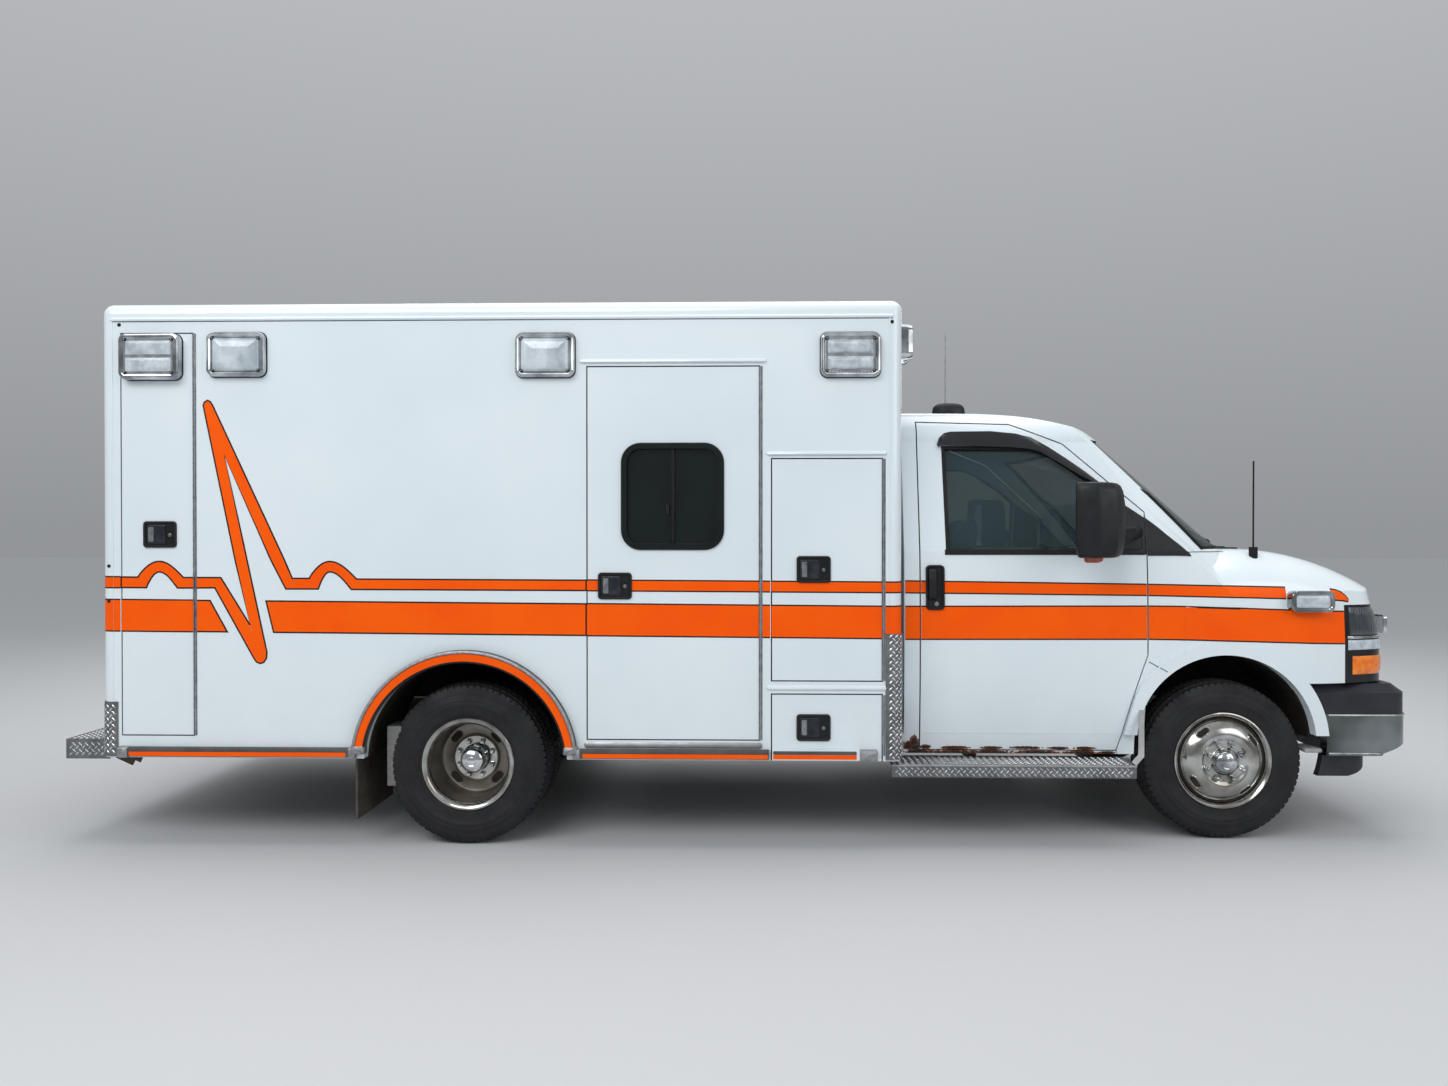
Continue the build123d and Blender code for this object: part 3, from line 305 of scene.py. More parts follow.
    def _stained(self, tree: Tree, place: Socket, colour: Socket, rough: Socket) -> tuple[Socket, Socket]:
        """Eats rust through the paint in its stains, with a brown rim and a dark rotten middle.

        Args:
            tree: node tree that gets the nodes.
            place: socket with the surface place in metres.
            colour: socket with the colour so far.
            rough: socket with the roughness so far.

        Returns:
            Sockets with the new colour and roughness.
        """
        total, vector = None, {"kind": "ShaderNodeVectorMath"}
        ragged = self._noise(tree, place, 14.0, 7.0)
        for stain in self.stains:
            flat = self._math(tree, "MULTIPLY", place, (1, 0, 1), **vector)
            moved = self._math(tree, "SUBTRACT", flat, (stain.x * MM, 0, stain.z * MM), **vector)
            size = (1000 / stain.half_width, 0, 1000 / stain.half_height)
            scaled = self._math(tree, "MULTIPLY", moved, size, **vector)
            near = self._ranged(tree, self._math(tree, "LENGTH", scaled, output="Value", **vector), 1.35, 0.0)
            total = near if total is None else self._math(tree, "MAXIMUM", total, near)
        eaten = self._math(tree, "MULTIPLY", total, ragged)
        rim, middle = self._ranged(tree, eaten, 0.15, 0.19), self._ranged(tree, eaten, 0.24, 0.34)
        tones = self._mix(tree, self._ranged(tree, self._noise(tree, place, 5.0, 4.0), 0.4, 0.6), "8a4a22",
            "5a2c14")
        rust = self._mix(tree, middle, tones, "1d1512")
        return self._mix(tree, rim, colour, rust), self._ranged_mix(tree, rim, rough, 0.92)

    def _height(self, tree: Tree, place: Socket) -> Socket:
        """Makes the height field of the surface relief.

        Args:
            tree: node tree that gets the nodes.
            place: socket with the surface place in metres.

        Returns:
            Socket with the height.
        """
        grain, size, _ = self.relief
        if grain is Grain.HIDE:
            cells = {"Vector": place, "Scale": 1000 / size}
            hide = add_node(tree, "ShaderNodeTexVoronoi", cells, feature="DISTANCE_TO_EDGE")
            return hide.outputs["Distance"]
        bands = {Grain.RIBS: ("X",), Grain.WEAVE: ("DIAGONAL", "Z")}.get(grain)
        if not bands:
            detail = {Grain.BRUSHED: 2.0, Grain.CAST: 8.0, Grain.PEEL: 2.0}.get(grain, 4.0)
            stretch = (0.03, 1.0, 1.0) if grain is Grain.BRUSHED else None
            return self._noise(tree, place, size, detail, stretch)
        wave = {"Vector": place, "Scale": 314.2 / size, "Distortion": 0.4 if grain is Grain.WEAVE else 0.0}
        waves = [add_node(tree, "ShaderNodeTexWave", wave, bands_direction=way).outputs["Fac"]
            for way in bands]
        return self._math(tree, "MULTIPLY", *waves) if len(waves) > 1 else waves[0]


# Clear-coated white over aluminium panels: cool, glossy, with a fine orange peel and road dust low down.
WHITE_ENAMEL = Finish("sprayed_white_enamel", "white_paint", "e4eef3", (0.16, 0.24), "dde8ee", 900, coat=0.5,
    relief=(Grain.PEEL, 5, 0.03), dust=0.1)
# The same coat on the steel cab, with rust breaking through above the sill.
CAB_STAINS = (Stain(872, 430, 34, 13), Stain(1010, 427, 80, 10), Stain(1182, 427, 60, 9),
    Stain(1345, 428, 90, 9), Stain(1500, 427, 60, 8), Stain(1620, 427, 60, 9),)
CAB_ENAMEL = replace(WHITE_ENAMEL, name="sprayed_white_enamel_rusting", stains=CAB_STAINS)
SHELL_STAINS = (Stain(820, 454, 25, 38), Stain(790, 436, 32, 26), Stain(830, 428, 44, 18),
    Stain(850, 404, 90, 18), Stain(1012, 402, 140, 19), Stain(1190, 403, 120, 18), Stain(1400, 405, 130, 13),
    Stain(1600, 403, 110, 15), Stain(1725, 405, 50, 10),)
SHELL_ENAMEL = replace(WHITE_ENAMEL, name="sprayed_white_enamel_flaking", stains=SHELL_STAINS)
# Cast vinyl film: flat orange, less glossy than the paint under it.
ORANGE_FILM = Finish("cast_vinyl_film_orange", "", "ff6000", (0.3, 0.42), "fb5800", 300, specular=0.15,
    relief=(Grain.PEEL, 8, 0.02))
# The same film in black: a dull dark line beside the orange.
BLACK_FILM = Finish("cast_vinyl_film_black", "", "0b0b0d", (0.3, 0.45), "111113", 200, specular=0.3,
    relief=(Grain.PEEL, 8, 0.02))
# Bright nickel and chromium over pressed steel: a dark mirror with faint wiping marks.
CHROME = Finish("electroplated_chrome", "chrome", "dfe2e5", (0.04, 0.12), "8b9094", 110, metal=1.0,
    relief=(Grain.PEEL, 60, 0.04))
# The bumper bar: the same plating over a long pressing with slow waves; darker green-grey reflections are
# painted into its colour in broad patches.
BAR_CHROME = replace(CHROME, name="electroplated_chrome_bar", colour="8f9597", mottle="4c5350",
    mottle_mm=420, relief=(Grain.PEEL, 220, 0.5))
# Buffed stainless wheel covers: bright with turned lines and a little brake dust.
STAINLESS = Finish("buffed_stainless_steel", "wheel_steel", "c4c5c4", (0.08, 0.2), "8f8c85", 110, metal=1.0,
    relief=(Grain.CAST, 9, 0.02), dust=0.08)
# Bare steel at the bottom of the rear dish: satin, warm with brake dust.
DISH_STEEL = Finish("dusty_satin_wheel_steel", "wheel_steel", "8d8a85", (0.32, 0.5), "716c64", 80, metal=0.9,
    relief=(Grain.CAST, 5, 0.05), dust=0.2)
# Mill-finish aluminium extrusions: grey, satin, with draw lines.
EXTRUSION = Finish("drawn_aluminium_extrusion", "tread_plate", "a7aaae", (0.3, 0.45), "96999d", 60,
    metal=1.0, relief=(Grain.BRUSHED, 1.2, 0.03), dust=0.3)
# Rough grey metal that catches light in grains.
CASTING = Finish("sand_cast_aluminium", "tread_plate", "b6b8bb", (0.4, 0.58), "9c9ea2", 20, metal=1.0,
    relief=(Grain.CAST, 2.2, 0.2), dust=0.25)
# Polished high spots of the plate, bright against their ground.
TREAD = Finish("rolled_tread_plate", "tread_plate", "eceef0", (0.14, 0.26), "d0d3d5", 70, metal=1.0,
    relief=(Grain.CAST, 4, 0.05), dust=0.12)
# Ground between the lozenges: the same plate, painted darker as shade, and duller where dirt stays.
TREAD_GROUND = replace(TREAD, name="rolled_tread_plate_ground", colour="888b8e", mottle="6e7174",
    rough=(0.42, 0.58))
# Piano hinge and small screws: plain stainless, satin.
SATIN_STEEL = Finish("satin_stainless_steel", "wheel_steel", "9fa3a7", (0.3, 0.4), "7c7f83", 30, metal=1.0,
    relief=(Grain.BRUSHED, 0.8, 0.02))
# Grained injection mouldings: dull black that greys with sun.
BLACK_MOULDING = Finish("grained_black_moulding", "black_plastic", "111216", (0.38, 0.5), "181a1f", 80,
    specular=0.35, relief=(Grain.MOULDED, 1.4, 0.06), dust=0.06)
# The bumper pad's moulding: the same grain with a blue cast and a little more gloss.
BLUE_GREY_PAD = Finish("grained_blue_black_moulding", "black_plastic", "161a23", (0.34, 0.46), "1e232d", 120,
    specular=0.4, relief=(Grain.MOULDED, 1.6, 0.07), dust=0.06)
# Polished black lamp case.
LAMP_CASE = Finish("polished_black_lamp_case", "black_plastic", "0c0d0f", (0.1, 0.2), "131416", 60,
    relief=(Grain.PEEL, 40, 0.03))
# Bent smoked sheet: nearly black, with a clean gloss.
SMOKED_ACRYLIC = Finish("smoked_acrylic", "black_plastic", "101216", (0.1, 0.18), "16191e", 200, coat=0.2,
    relief=(Grain.PEEL, 60, 0.03))
# Matt black seal rubber and lines that read as gaps; also laid as painted shade under the drip rail and as
# painted dark reflection and shade round the lamp bezels.
SEAL_AND_SHADE = Finish("extruded_seal_rubber", "rubber_black", "0f0f10", (0.55, 0.75), "181819", 40, specular=0.3,
    relief=(Grain.MOULDED, 0.9, 0.05), dust=0.1)
# Matt grey strip, paler where it dries out.
GREY_RUBBER = Finish("extruded_grey_rubber", "rubber_black", "41464c", (0.5, 0.7), "34383d", 70,
    relief=(Grain.BRUSHED, 1.5, 0.06), dust=0.3)
# Heavy matt sheet, browned by the road.
FLAP = Finish("fabric_filled_flap_rubber", "rubber_black", "151515", (0.6, 0.8), "201f1e", 60, specular=0.3,
    relief=(Grain.MOULDED, 3, 0.1), dust=0.35)
# Moulded tyre: warm black.
TYRE = Finish("moulded_tyre_rubber", "tyre", "19191b", (0.6, 0.85), "222222", 155, specular=0.3,
    relief=(Grain.MOULDED, 1.2, 0.08))
# Near-black green glass that mirrors the room.
TINTED = Finish("dark_tinted_glass", "tinted_glass", "0d1514", (0.03, 0.06), "121d1b", 300, opacity=0.9)
# Clear glass that still shows the seats; its half-opaque dark teal colour paints in a cool reflection and the
# shade of the cab behind.
CLEAR = Finish("laminated_clear_glass", "clear_glass", "31464b", (0.02, 0.05), "2a3c40", 400, opacity=0.5)
# Fluted lens: bright upright lines over a silver ground.
CLEAR_LENS = Finish("moulded_clear_lens", "headlamp", "ccd5db", (0.06, 0.12), "a5b0b8", 45, coat=0.8,
    relief=(Grain.RIBS, 7, 0.35))
# Domed lens: broad soft bands of light.
SMOOTH_LENS = Finish("convex_clear_lens", "headlamp", "d3dce2", (0.05, 0.1), "a6b1b9", 90, coat=0.8,
    relief=(Grain.RIBS, 18, 0.5))
# Wavy mirror behind a lens.
REFLECTOR = Finish("vacuum_metalled_reflector", "headlamp", "dde1e5", (0.08, 0.16), "b4b9be", 40, metal=1.0,
    relief=(Grain.RIBS, 16, 0.8))
# Clear lens painted dark for the dark reflections in it, with faint flutes.
DARK_REFLECTION_LENS = Finish("smoked_clear_lens", "headlamp", "3a4148", (0.06, 0.12), "2a2f35", 60, coat=0.8,
    relief=(Grain.RIBS, 15, 1.0))
# Deep red that glows along its flutes.
RED_LENS = Finish("moulded_red_lens", "lamp_lens", "a80f14", (0.08, 0.14), "8f0a10", 30, coat=0.8,
    relief=(Grain.RIBS, 8, 0.4))
# Warm orange that glows along its flutes.
AMBER_LENS = Finish("moulded_amber_lens", "lamp_lens", "ff8a00", (0.08, 0.16), "e86c00", 30, coat=0.6,
    relief=(Grain.RIBS, 8, 0.4))
# The marker lamp under the mirror: the amber lens painted deeper and browner as the shade under the mirror.
SHADED_AMBER_LENS = replace(AMBER_LENS, name="moulded_deep_amber_lens", colour="a8431a", mottle="7c2a12")
# Dull black that browns at its edges.
CHASSIS_BLACK = Finish("dipped_chassis_black", "frame_black", "121213", (0.5, 0.75), "211d1a", 90,
    specular=0.35, relief=(Grain.CAST, 5, 0.15), edge="3a2b20", dust=0.35)
# Rough brown-grey skin, rustier at its edges.
CAST_IRON = Finish("rusting_cast_iron", "cast_iron", "3b3431", (0.7, 0.9), "54402f", 50, metal=0.3,
    relief=(Grain.CAST, 3, 0.4), edge="6b4a33", dust=0.5)
# Grey steel with brown heat tints.
EXHAUST_STEEL = Finish("heat_tinted_exhaust_steel", "liner_metal", "77706a", (0.45, 0.7), "5b4536", 80,
    metal=0.8, relief=(Grain.CAST, 4, 0.2), dust=0.5)
# Soft grey sheet with rolling lines.
LINER = Finish("rolled_aluminium_lining", "liner_metal", "a3a6a9", (0.35, 0.5), "93969a", 200, metal=0.8,
    relief=(Grain.BRUSHED, 1.5, 0.03))
# Lumpy black that swallows light; also closes the wheels' hand holes as painted shade.
WELL_AND_HOLE_SHADE = Finish("undersealed_wheel_well", "black_plastic", "0e0e0f", (0.75, 0.95), "181614", 110, specular=0.2,
    relief=(Grain.CAST, 6, 0.6), dust=0.15)
# Warm white board with a faint texture.
LAMINATE = Finish("satin_cabinet_laminate", "cabinet", "cfccc2", (0.3, 0.42), "c8c5ba", 250,
    relief=(Grain.MOULDED, 1.8, 0.03))
# Soft grey grain without a sheen.
DASH_SKIN = Finish("grained_dash_skin", "grey_plastic", "4c4b4a", (0.5, 0.65), "434241", 120,
    relief=(Grain.HIDE, 2.6, 0.15))
# Blue-grey yarns with a soft edge light.
SEAT_CLOTH = Finish("woven_seat_cloth", "seat_cloth", "4d5157", (0.8, 0.95), "43474d", 60, sheen=0.4,
    relief=(Grain.WEAVE, 2.4, 0.4))
# Blue hide grain with a low gloss.
BENCH_VINYL = Finish("welded_bench_vinyl", "cabinet", "2b4a6f", (0.35, 0.5), "27446a", 140,
    relief=(Grain.HIDE, 2.2, 0.12))
# Speckled grey floor.
SHEET_VINYL = Finish("safety_floor_vinyl", "grey_plastic", "6c7176", (0.45, 0.6), "5b6065", 12,
    relief=(Grain.MOULDED, 2.0, 0.08))
# Even black with a soft highlight.
SATIN_BLACK = Finish("powder_coated_black_steel", "frame_black", "0d0e10", (0.3, 0.42), "141517", 90,
    specular=0.35, relief=(Grain.PEEL, 3, 0.05))
# Dark rusty shadow behind the disc.
WHEEL_DARK = Finish("shadowed_brake_drum", "cast_iron", "191614", (0.7, 0.9), "2b231d", 18,
    relief=(Grain.CAST, 4, 0.3))
# Pale grey with a dull spangle.
GALVANISED = Finish("hot_dipped_galvanised_steel", "liner_metal", "868a8d", (0.45, 0.6), "74787b", 14,
    metal=0.8, relief=(Grain.CAST, 7, 0.1), dust=0.5)
# The same rubber on the made tyres: softly lit side walls.
TYRE_WALL = Finish("moulded_tyre_rubber_wall", "tyre", "18181a", (0.58, 0.8), "232324", 170, specular=0.35,
    relief=(Grain.MOULDED, 1.4, 0.1))
# Latch pan: dark zinc plating, satin.
PADDLE_GREY = Finish("dark_plated_zinc", "wheel_steel", "3c4045", (0.35, 0.5), "2c2f33", 40, metal=0.8,
    relief=(Grain.CAST, 3, 0.05))
# A clean bright mirror.
MIRROR = Finish("silvered_mirror_glass", "chrome", "dfe3e6", (0.01, 0.03), "d8dcdf", 200, metal=1.0,
    relief=(Grain.PEEL, 200, 0.02))
# Flat pale grey under dust.
LIGHT_GREY = Finish("primed_steel_bracket", "white_paint", "a8abad", (0.45, 0.6), "96999b", 30,
    relief=(Grain.CAST, 4, 0.08), dust=0.3)
# Dark narrow weave.
BELT = Finish("woven_belt_webbing", "seat_cloth", "26272a", (0.6, 0.75), "2f3034", 20,
    relief=(Grain.WEAVE, 1.6, 0.2))

NODE_FINISHES = {
    CHASSIS_BLACK: "ladder_frame fuel_tank",
    CAST_IRON: "rear_axle_and_springs front_suspension engine_and_driveline steering_knuckle_right "
               "steering_knuckle_left",
    EXHAUST_STEEL: "exhaust",
    SHELL_ENAMEL: "cab_shell",
    WHITE_ENAMEL: "front_wings bonnet module_wall_right module_wall_left module_front_wall module_rear_frame "
                  "module_roof side_entry_door right_rear_locker_door right_front_locker_door "
                  "right_low_locker_door left_rear_locker_door left_front_locker_door rear_door_right "
                  "rear_door_left",
    CAB_ENAMEL: "cab_door_right cab_door_left",
    CLEAR: "windscreen cab_door_glass_right cab_door_glass_left",
    TINTED: "side_door_window rear_door_window_right rear_door_window_left",
    LAMP_CASE: "headlamps",
    CHROME: "grille nose_lamps",
    BAR_CHROME: "front_bumper",
    BLUE_GREY_PAD: "bumper_trim",
    DASH_SKIN: "dash_and_steering_wheel",
    SEAT_CLOTH: "cab_seats",
    SHEET_VINYL: "module_floor",
    LINER: "locker_liners",
    WELL_AND_HOLE_SHADE: "wheel_well_liners",
    GREY_RUBBER: "arch_rings rub_rails",
    FLAP: "mud_flaps",
    TREAD_GROUND: "rear_step running_boards",
    LAMINATE: "patient_furniture",
    SEAL_AND_SHADE: "aerials",
    BLACK_MOULDING: "door_mirror_right door_mirror_left module_lamps",
    STAINLESS: "front_wheel_right front_wheel_left rear_twin_wheels_right rear_twin_wheels_left",
    TYRE: "front_tyre_right front_tyre_left rear_twin_tyres_right rear_twin_tyres_left",
}


def dress_solids() -> None:
    """Gives every solid of the frame its finish."""
    for finish, names in NODE_FINISHES.items():
        for name in names.split():
            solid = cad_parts[name]
            if not solid.material_slots:
                solid.data.materials.append(finish.material())
            for slot in solid.material_slots:
                slot.link = "OBJECT"
                slot.material = finish.material()


# ---------------------------------------------------------------- studio


@dataclass(frozen=True)
class Studio:
    """Pale floor, soft lights and the camera at the photograph's place."""

    camera_at: Point3 = (54, -6177, 1438)
    yaw: float = 1.5
    pitch: float = -0.47
    focal_px: float = 1094.0
    image_width: int = 1448

    def camera(self) -> None:
        """Places the camera first."""
        data = bpy.data.cameras.new("camera")
        data.sensor_width = 36
        data.lens = self.focal_px / self.image_width * data.sensor_width
        data.clip_end = 200
        camera = link("camera", data)
        camera.location = Vector(self.camera_at) * MM
        camera.rotation_euler = (math.radians(90 + self.pitch), 0, math.radians(self.yaw))
        bpy.context.scene.camera = camera

    def floor(self) -> None:
        """Lays the pale floor."""
        mesh = bpy.data.meshes.new("studio_floor")
        mesh.from_pydata([(60 * a, 60 * b, 0) for a, b in ((-1, -1), (1, -1), (1, 1), (-1, 1))], [],
            [(0, 1, 2, 3)])
        material = bpy.data.materials.new("pale_floor")
        material.use_nodes = True
        sockets = material.node_tree.nodes["Principled BSDF"].inputs
        sockets["Base Color"].default_value, sockets["Roughness"].default_value = linear("c4c6c8"), 0.7
        mesh.materials.append(material)
        floor = link("studio_floor", mesh)

    def lights(self) -> None:
        """Hangs soft boxes over and beside the vehicle and fills the room with pale light."""
        boxes = [  # name, place, aimed at, width, height, watts
            ("key", (-3.5, -7.5, 6.5), (0, 0, 1.0), 7.0, 4.0, 355),
            ("fill", (6.5, -6.0, 4.0), (1.5, 0, 1.0), 5.0, 4.0, 120),
            ("top", (0, 0, 7.0), (0, 0, 0), 9.0, 5.0, 260),
            ("back", (0, 8.0, 5.0), (0, 0, 1.2), 9.0, 4.0, 300),
        ]
        for name, place, aim, width, height, watts in boxes:
            data = bpy.data.lights.new(name, "AREA")
            data.shape = "RECTANGLE"
            data.size, data.size_y = width, height
            data.energy = watts
            lamp = link(name, data)
            lamp.location = place
            lamp.rotation_euler = (Vector(aim) - Vector(place)).to_track_quat("-Z", "Y").to_euler()
        world = bpy.data.worlds.new("room")
        world.use_nodes = True
        tree = world.node_tree
        place = add_node(tree, "ShaderNodeTexCoord").outputs["Generated"]
        height = add_node(tree, "ShaderNodeSeparateXYZ", {0: place}).outputs["Z"]
        ramp = add_node(tree, "ShaderNodeValToRGB", {0: height})
        for element, (share, tone) in zip(ramp.color_ramp.elements, ((0.0, "b9bcbf"), (0.55, "f2f5f8"))):
            element.position, element.color = share, linear(tone)
        background = tree.nodes["Background"]
        tree.links.new(ramp.outputs["Color"], background.inputs["Color"])
        background.inputs["Strength"].default_value = 0.6
        bpy.context.scene.world = world
        bpy.context.scene.view_settings.view_transform = "Standard"


# ---------------------------------------------------------------- shapes


@dataclass(frozen=True)
class Wall:
    """A flat working plane: a point on it, its drawing directions and the way out of the body."""

    at: Place
    across: Place
    up: Place
    out: Place

    def point(self, a: float, b: float, height: float = 0.0) -> Vector:
        """Finds a place over the plane.

        Args:
            a: distance along the first drawing direction.
            b: distance along the second.
            height: distance outwards.

        Returns:
            The place in millimetres.
        """
        return Vector(self.at) + a * Vector(self.across) + b * Vector(self.up) + height * Vector(self.out)

    def from_corner(self, a: float, b: float) -> Callable[[float, float, float], Vector]:
        """Gives point() with its distances measured from a corner."""
        return lambda along_a, along_b, height: self.point(a + along_a, b + along_b, height)

    def moved(self, out: float) -> "Wall":
        """Gives the same plane further out."""
        return replace(self, at=self.point(0, 0, out))


def side_wall(side: Side, y: float = 1195) -> Wall:
    """Gives the upright plane along one side, drawn in x and z."""
    return Wall((0, side.value * y, 0), (1, 0, 0), (0, 0, 1), (0, side.value, 0))


def upright(x: float, way: int) -> Wall:
    """Gives the plane across the vehicle, drawn in y and z, that looks forwards (1) or backwards (-1)."""
    return Wall((x, 0, 0), (0, 1, 0), (0, 0, 1), (way, 0, 0))


def level(z: float = 0.0, s: int = 1, x: float = 0.0, y: float = 0.0) -> Wall:
    """Gives the plane at a height, drawn in x and y from a point, with y mirrored where s is -1."""
    return Wall((x, y, z), (1, 0, 0), (0, s, 0), (0, 0, 1))


def lerp(start: float, end: float, share: float) -> float:
    """Gives the value at a share of the way from a start to an end."""
    return start + (end - start) * share


def spread(start: float, end: float, steps: int) -> list[float]:
    """Gives values in even steps, both ends included."""
    return [start + (end - start) * i / steps for i in range(steps + 1)]


def turns(steps: int) -> list[float]:
    """Gives the angles of even steps round a circle."""
    return [2 * math.pi * i / steps for i in range(steps)]


REAR_WALL, FRONT_WALL = upright(-2962, -1), upright(734, 1)
BELT_Z, GLASS_LEAN = 1355, 0.2152


def cab_wall(side: Side) -> Wall:
    """Gives the leaning plane of the cab's side glass, drawn in x and z.

    Args:
        side: the side.

    Returns:
        The plane.
    """
    s = side.value
    out = Vector((0, s, GLASS_LEAN)).normalized()
    return Wall((0, s * (985 + BELT_Z * GLASS_LEAN), 0), (1, 0, 0), (0, -s * GLASS_LEAN, 1), out)


def rounded(a: float, b: float, width: float, height: float, radius: float, corner: int = 5) -> list[Point2]:
    """Draws a rectangle with round corners.

    Args:
        a: middle along the first direction.
        b: middle along the second.
        width: size along the first.
        height: size along the second.
        radius: corner radius.
        corner: steps in each corner.

    Returns:
        The outline, anticlockwise.
    """
    radius = min(radius, width / 2 - 0.01, height / 2 - 0.01)
    points = []
    for index, (sa, sb) in enumerate(((1, 1), (-1, 1), (-1, -1), (1, -1))):
        for step in range(corner + 1):
            turn = math.pi / 2 * (index + step / corner)
            points.append((a + sa * (width / 2 - radius) + radius * math.cos(turn), b
                + sb * (height / 2 - radius) + radius * math.sin(turn)))
    return points


def disc(a: float, b: float, radius: float, steps: int = 24) -> list[Point2]:
    """Draws a circle as an outline."""
    return [(a + radius * math.cos(t), b + radius * math.sin(t)) for t in turns(steps)]


def shifted(outline: Loop, out: float) -> list[Point2]:
    """Moves each corner of a closed outline along its own bisector.

    Args:
        outline: closed outline in either direction.
        out: distance outwards, negative for inwards.

    Returns:
        The outline with as many points.
    """
    area = sum(p[0] * q[1] - q[0] * p[1] for p, q in zip(outline, (*outline[1:], outline[0])))
    way = 1 if area > 0 else -1
    moved = []
    for before, here, after in zip((outline[-1], *outline[:-1]), outline, (*outline[1:], outline[0])):
        first = Vector((here[0] - before[0], here[1] - before[1])).normalized()
        second = Vector((after[0] - here[0], after[1] - here[1])).normalized()
        normal = Vector((first.y + second.y, -first.x - second.x)) * way
        length = max(normal.length, 0.4)
        normal = normal.normalized() * out * min(2.0 / length, 2.5)
        moved.append((here[0] + normal.x, here[1] + normal.y))
    return moved


class Shape:
    """A mesh under construction, in millimetres."""

    def __init__(self) -> None:
        """Starts with nothing."""
        self.points: list[Vector] = []
        self.faces: list[tuple[int, ...]] = []

    def rings(self, rings: Iterable[Iterable[Vector]], caps: bool = True,
            round_trip: bool = False) -> "Shape":
        """Joins closed rings with as many points each by quads.

        Args:
            rings: the rings, in order.
            caps: closes the first and the last ring with a face.
            round_trip: joins the last ring to the first.

        Returns:
            This shape.
        """
        rows = [[Vector(p) for p in ring] for ring in rings]
        start, count = len(self.points), len(rows[0])
        for row in rows:
            self.points.extend(row)
        pairs = [(i, i + 1) for i in range(len(rows) - 1)]
        if round_trip:
            pairs.append((len(rows) - 1, 0))
        for low, high in pairs:
            for i in range(count):
                j = (i + 1) % count
                corners = (low * count + i, low * count + j, high * count + j, high * count + i)
                self.faces.append(tuple(start + c for c in corners))
        if caps and not round_trip:
            self.faces.append(tuple(start + i for i in reversed(range(count))))
            self.faces.append(tuple(start + (len(rows) - 1) * count + i for i in range(count)))
        return self

    def stack(self, wall: Wall, levels: Sequence[tuple[Loop, float]], **kind: bool) -> "Shape":
        """Lofts outlines at heights over a plane.

        Args:
            wall: plane that carries the outlines.
            levels: outline and height of each level.
            kind: options of rings().

        Returns:
            This shape.
        """
        return self.rings([[wall.point(a, b, height) for a, b in outline] for outline, height in levels],
            **kind)

    def plate(self, wall: Wall, outline: Loop, low: float, high: float, edge: float = 0.0) -> "Shape":
        """Raises a plate over a plane, with its upper edge broken.

        Args:
            wall: plane that carries it.
            outline: closed outline.
            low: height of its underside.
            high: height of its face.
            edge: width of the broken edge.

        Returns:
            This shape.
        """
        levels = [(outline, low), (outline, high - edge)] if edge else [(outline, low)]
        return self.stack(wall, [*levels, (shifted(outline, -edge) if edge else outline, high)])

    def frame(self, wall: Wall, outer: Loop, width: float, low: float, high: float,
            edge: float = 1.0) -> "Shape":
        """Raises a closed frame of even width along an outline.

        Args:
            wall: plane that carries it.
            outer: its outer outline.
            width: width of the frame.
            low: height of its underside.
            high: height of its face.
            edge: width of the broken edges.

        Returns:
            This shape.
        """
        levels = [(outer, low), (outer, high - edge), (shifted(outer, -edge), high),
            (shifted(outer, edge - width), high), (shifted(outer, -width), high - edge),
            (shifted(outer, -width), low)]
        return self.stack(wall, levels, round_trip=True)

    def lathe(self, at: Place, axis: Place, profile: Sequence[Point2], steps: int = 48,
            closed: bool = False) -> "Shape":
        """Turns a profile about an axis.

        Args:
            at: a point on the axis.
            axis: its direction.
            profile: radius and distance along the axis of each point.
            steps: steps round the axis.
            closed: joins the profile's end to its start, for a ring.

        Returns:
            This shape.
        """
        turn = Vector((0, 0, 1)).rotation_difference(Vector(axis)).to_matrix()
        rows = [[Vector(at) + turn @ Vector((r * math.cos(t), r * math.sin(t), h)) for t in turns(steps)]
            for r, h in profile]
        return self.rings(rows, round_trip=closed)

    def sweep(self, path: Sequence[Place], section: Loop, up: Place = (0, 0, 1),
            closed: bool = False) -> "Shape":
        """Runs a section along a path.

        Args:
            path: the points it passes.
            section: outline as distance to the right of the path and upwards.
            up: direction that stays up in the section.
            closed: joins the path's end to its start.

        Returns:
            This shape.
        """
        line = [Vector(p) for p in path]
        rows = []
        for i, here in enumerate(line):
            before = line[i - 1] if i or closed else here
            after = line[(i + 1) % len(line)] if i < len(line) - 1 or closed else here
            ahead = (after - before).normalized()
            right = ahead.cross(Vector(up)).normalized()
            top = right.cross(ahead)
            bend = 1.0
            if i and i < len(line) - 1 or closed:
                bend = 1 / max(math.cos((after - here).angle(here - before) / 2), 0.5)
            rows.append([here + right * a * bend + top * b for a, b in section])
        return self.rings(rows, round_trip=closed)

    def tube(self, path: Sequence[Place], radius: float, steps: int = 10, up: Place = (0, 0, 1)) -> "Shape":
        """Runs a round bar along a path."""
        return self.sweep(path, disc(0, 0, radius, steps), up)

    def block(self, low: Point3, high: Point3, edge: float = 2.0) -> "Shape":
        """Adds a box with all its upright and level edges broken.

        Args:
            low: one corner.
            high: the corner opposite to it.
            edge: width of the broken edges.

        Returns:
            This shape.
        """
        (x0, x1), (y0, y1), (z0, z1) = (sorted(pair) for pair in zip(low, high))
        middle, wide, deep = ((x0 + x1) / 2, (y0 + y1) / 2), x1 - x0, y1 - y0
        full = rounded(*middle, wide, deep, edge, 2)
        small = rounded(*middle, wide - 2 * edge, deep - 2 * edge, edge, 2)
        return self.stack(level(), [(small, z0), (full, z0 + edge), (full, z1 - edge), (small, z1)])

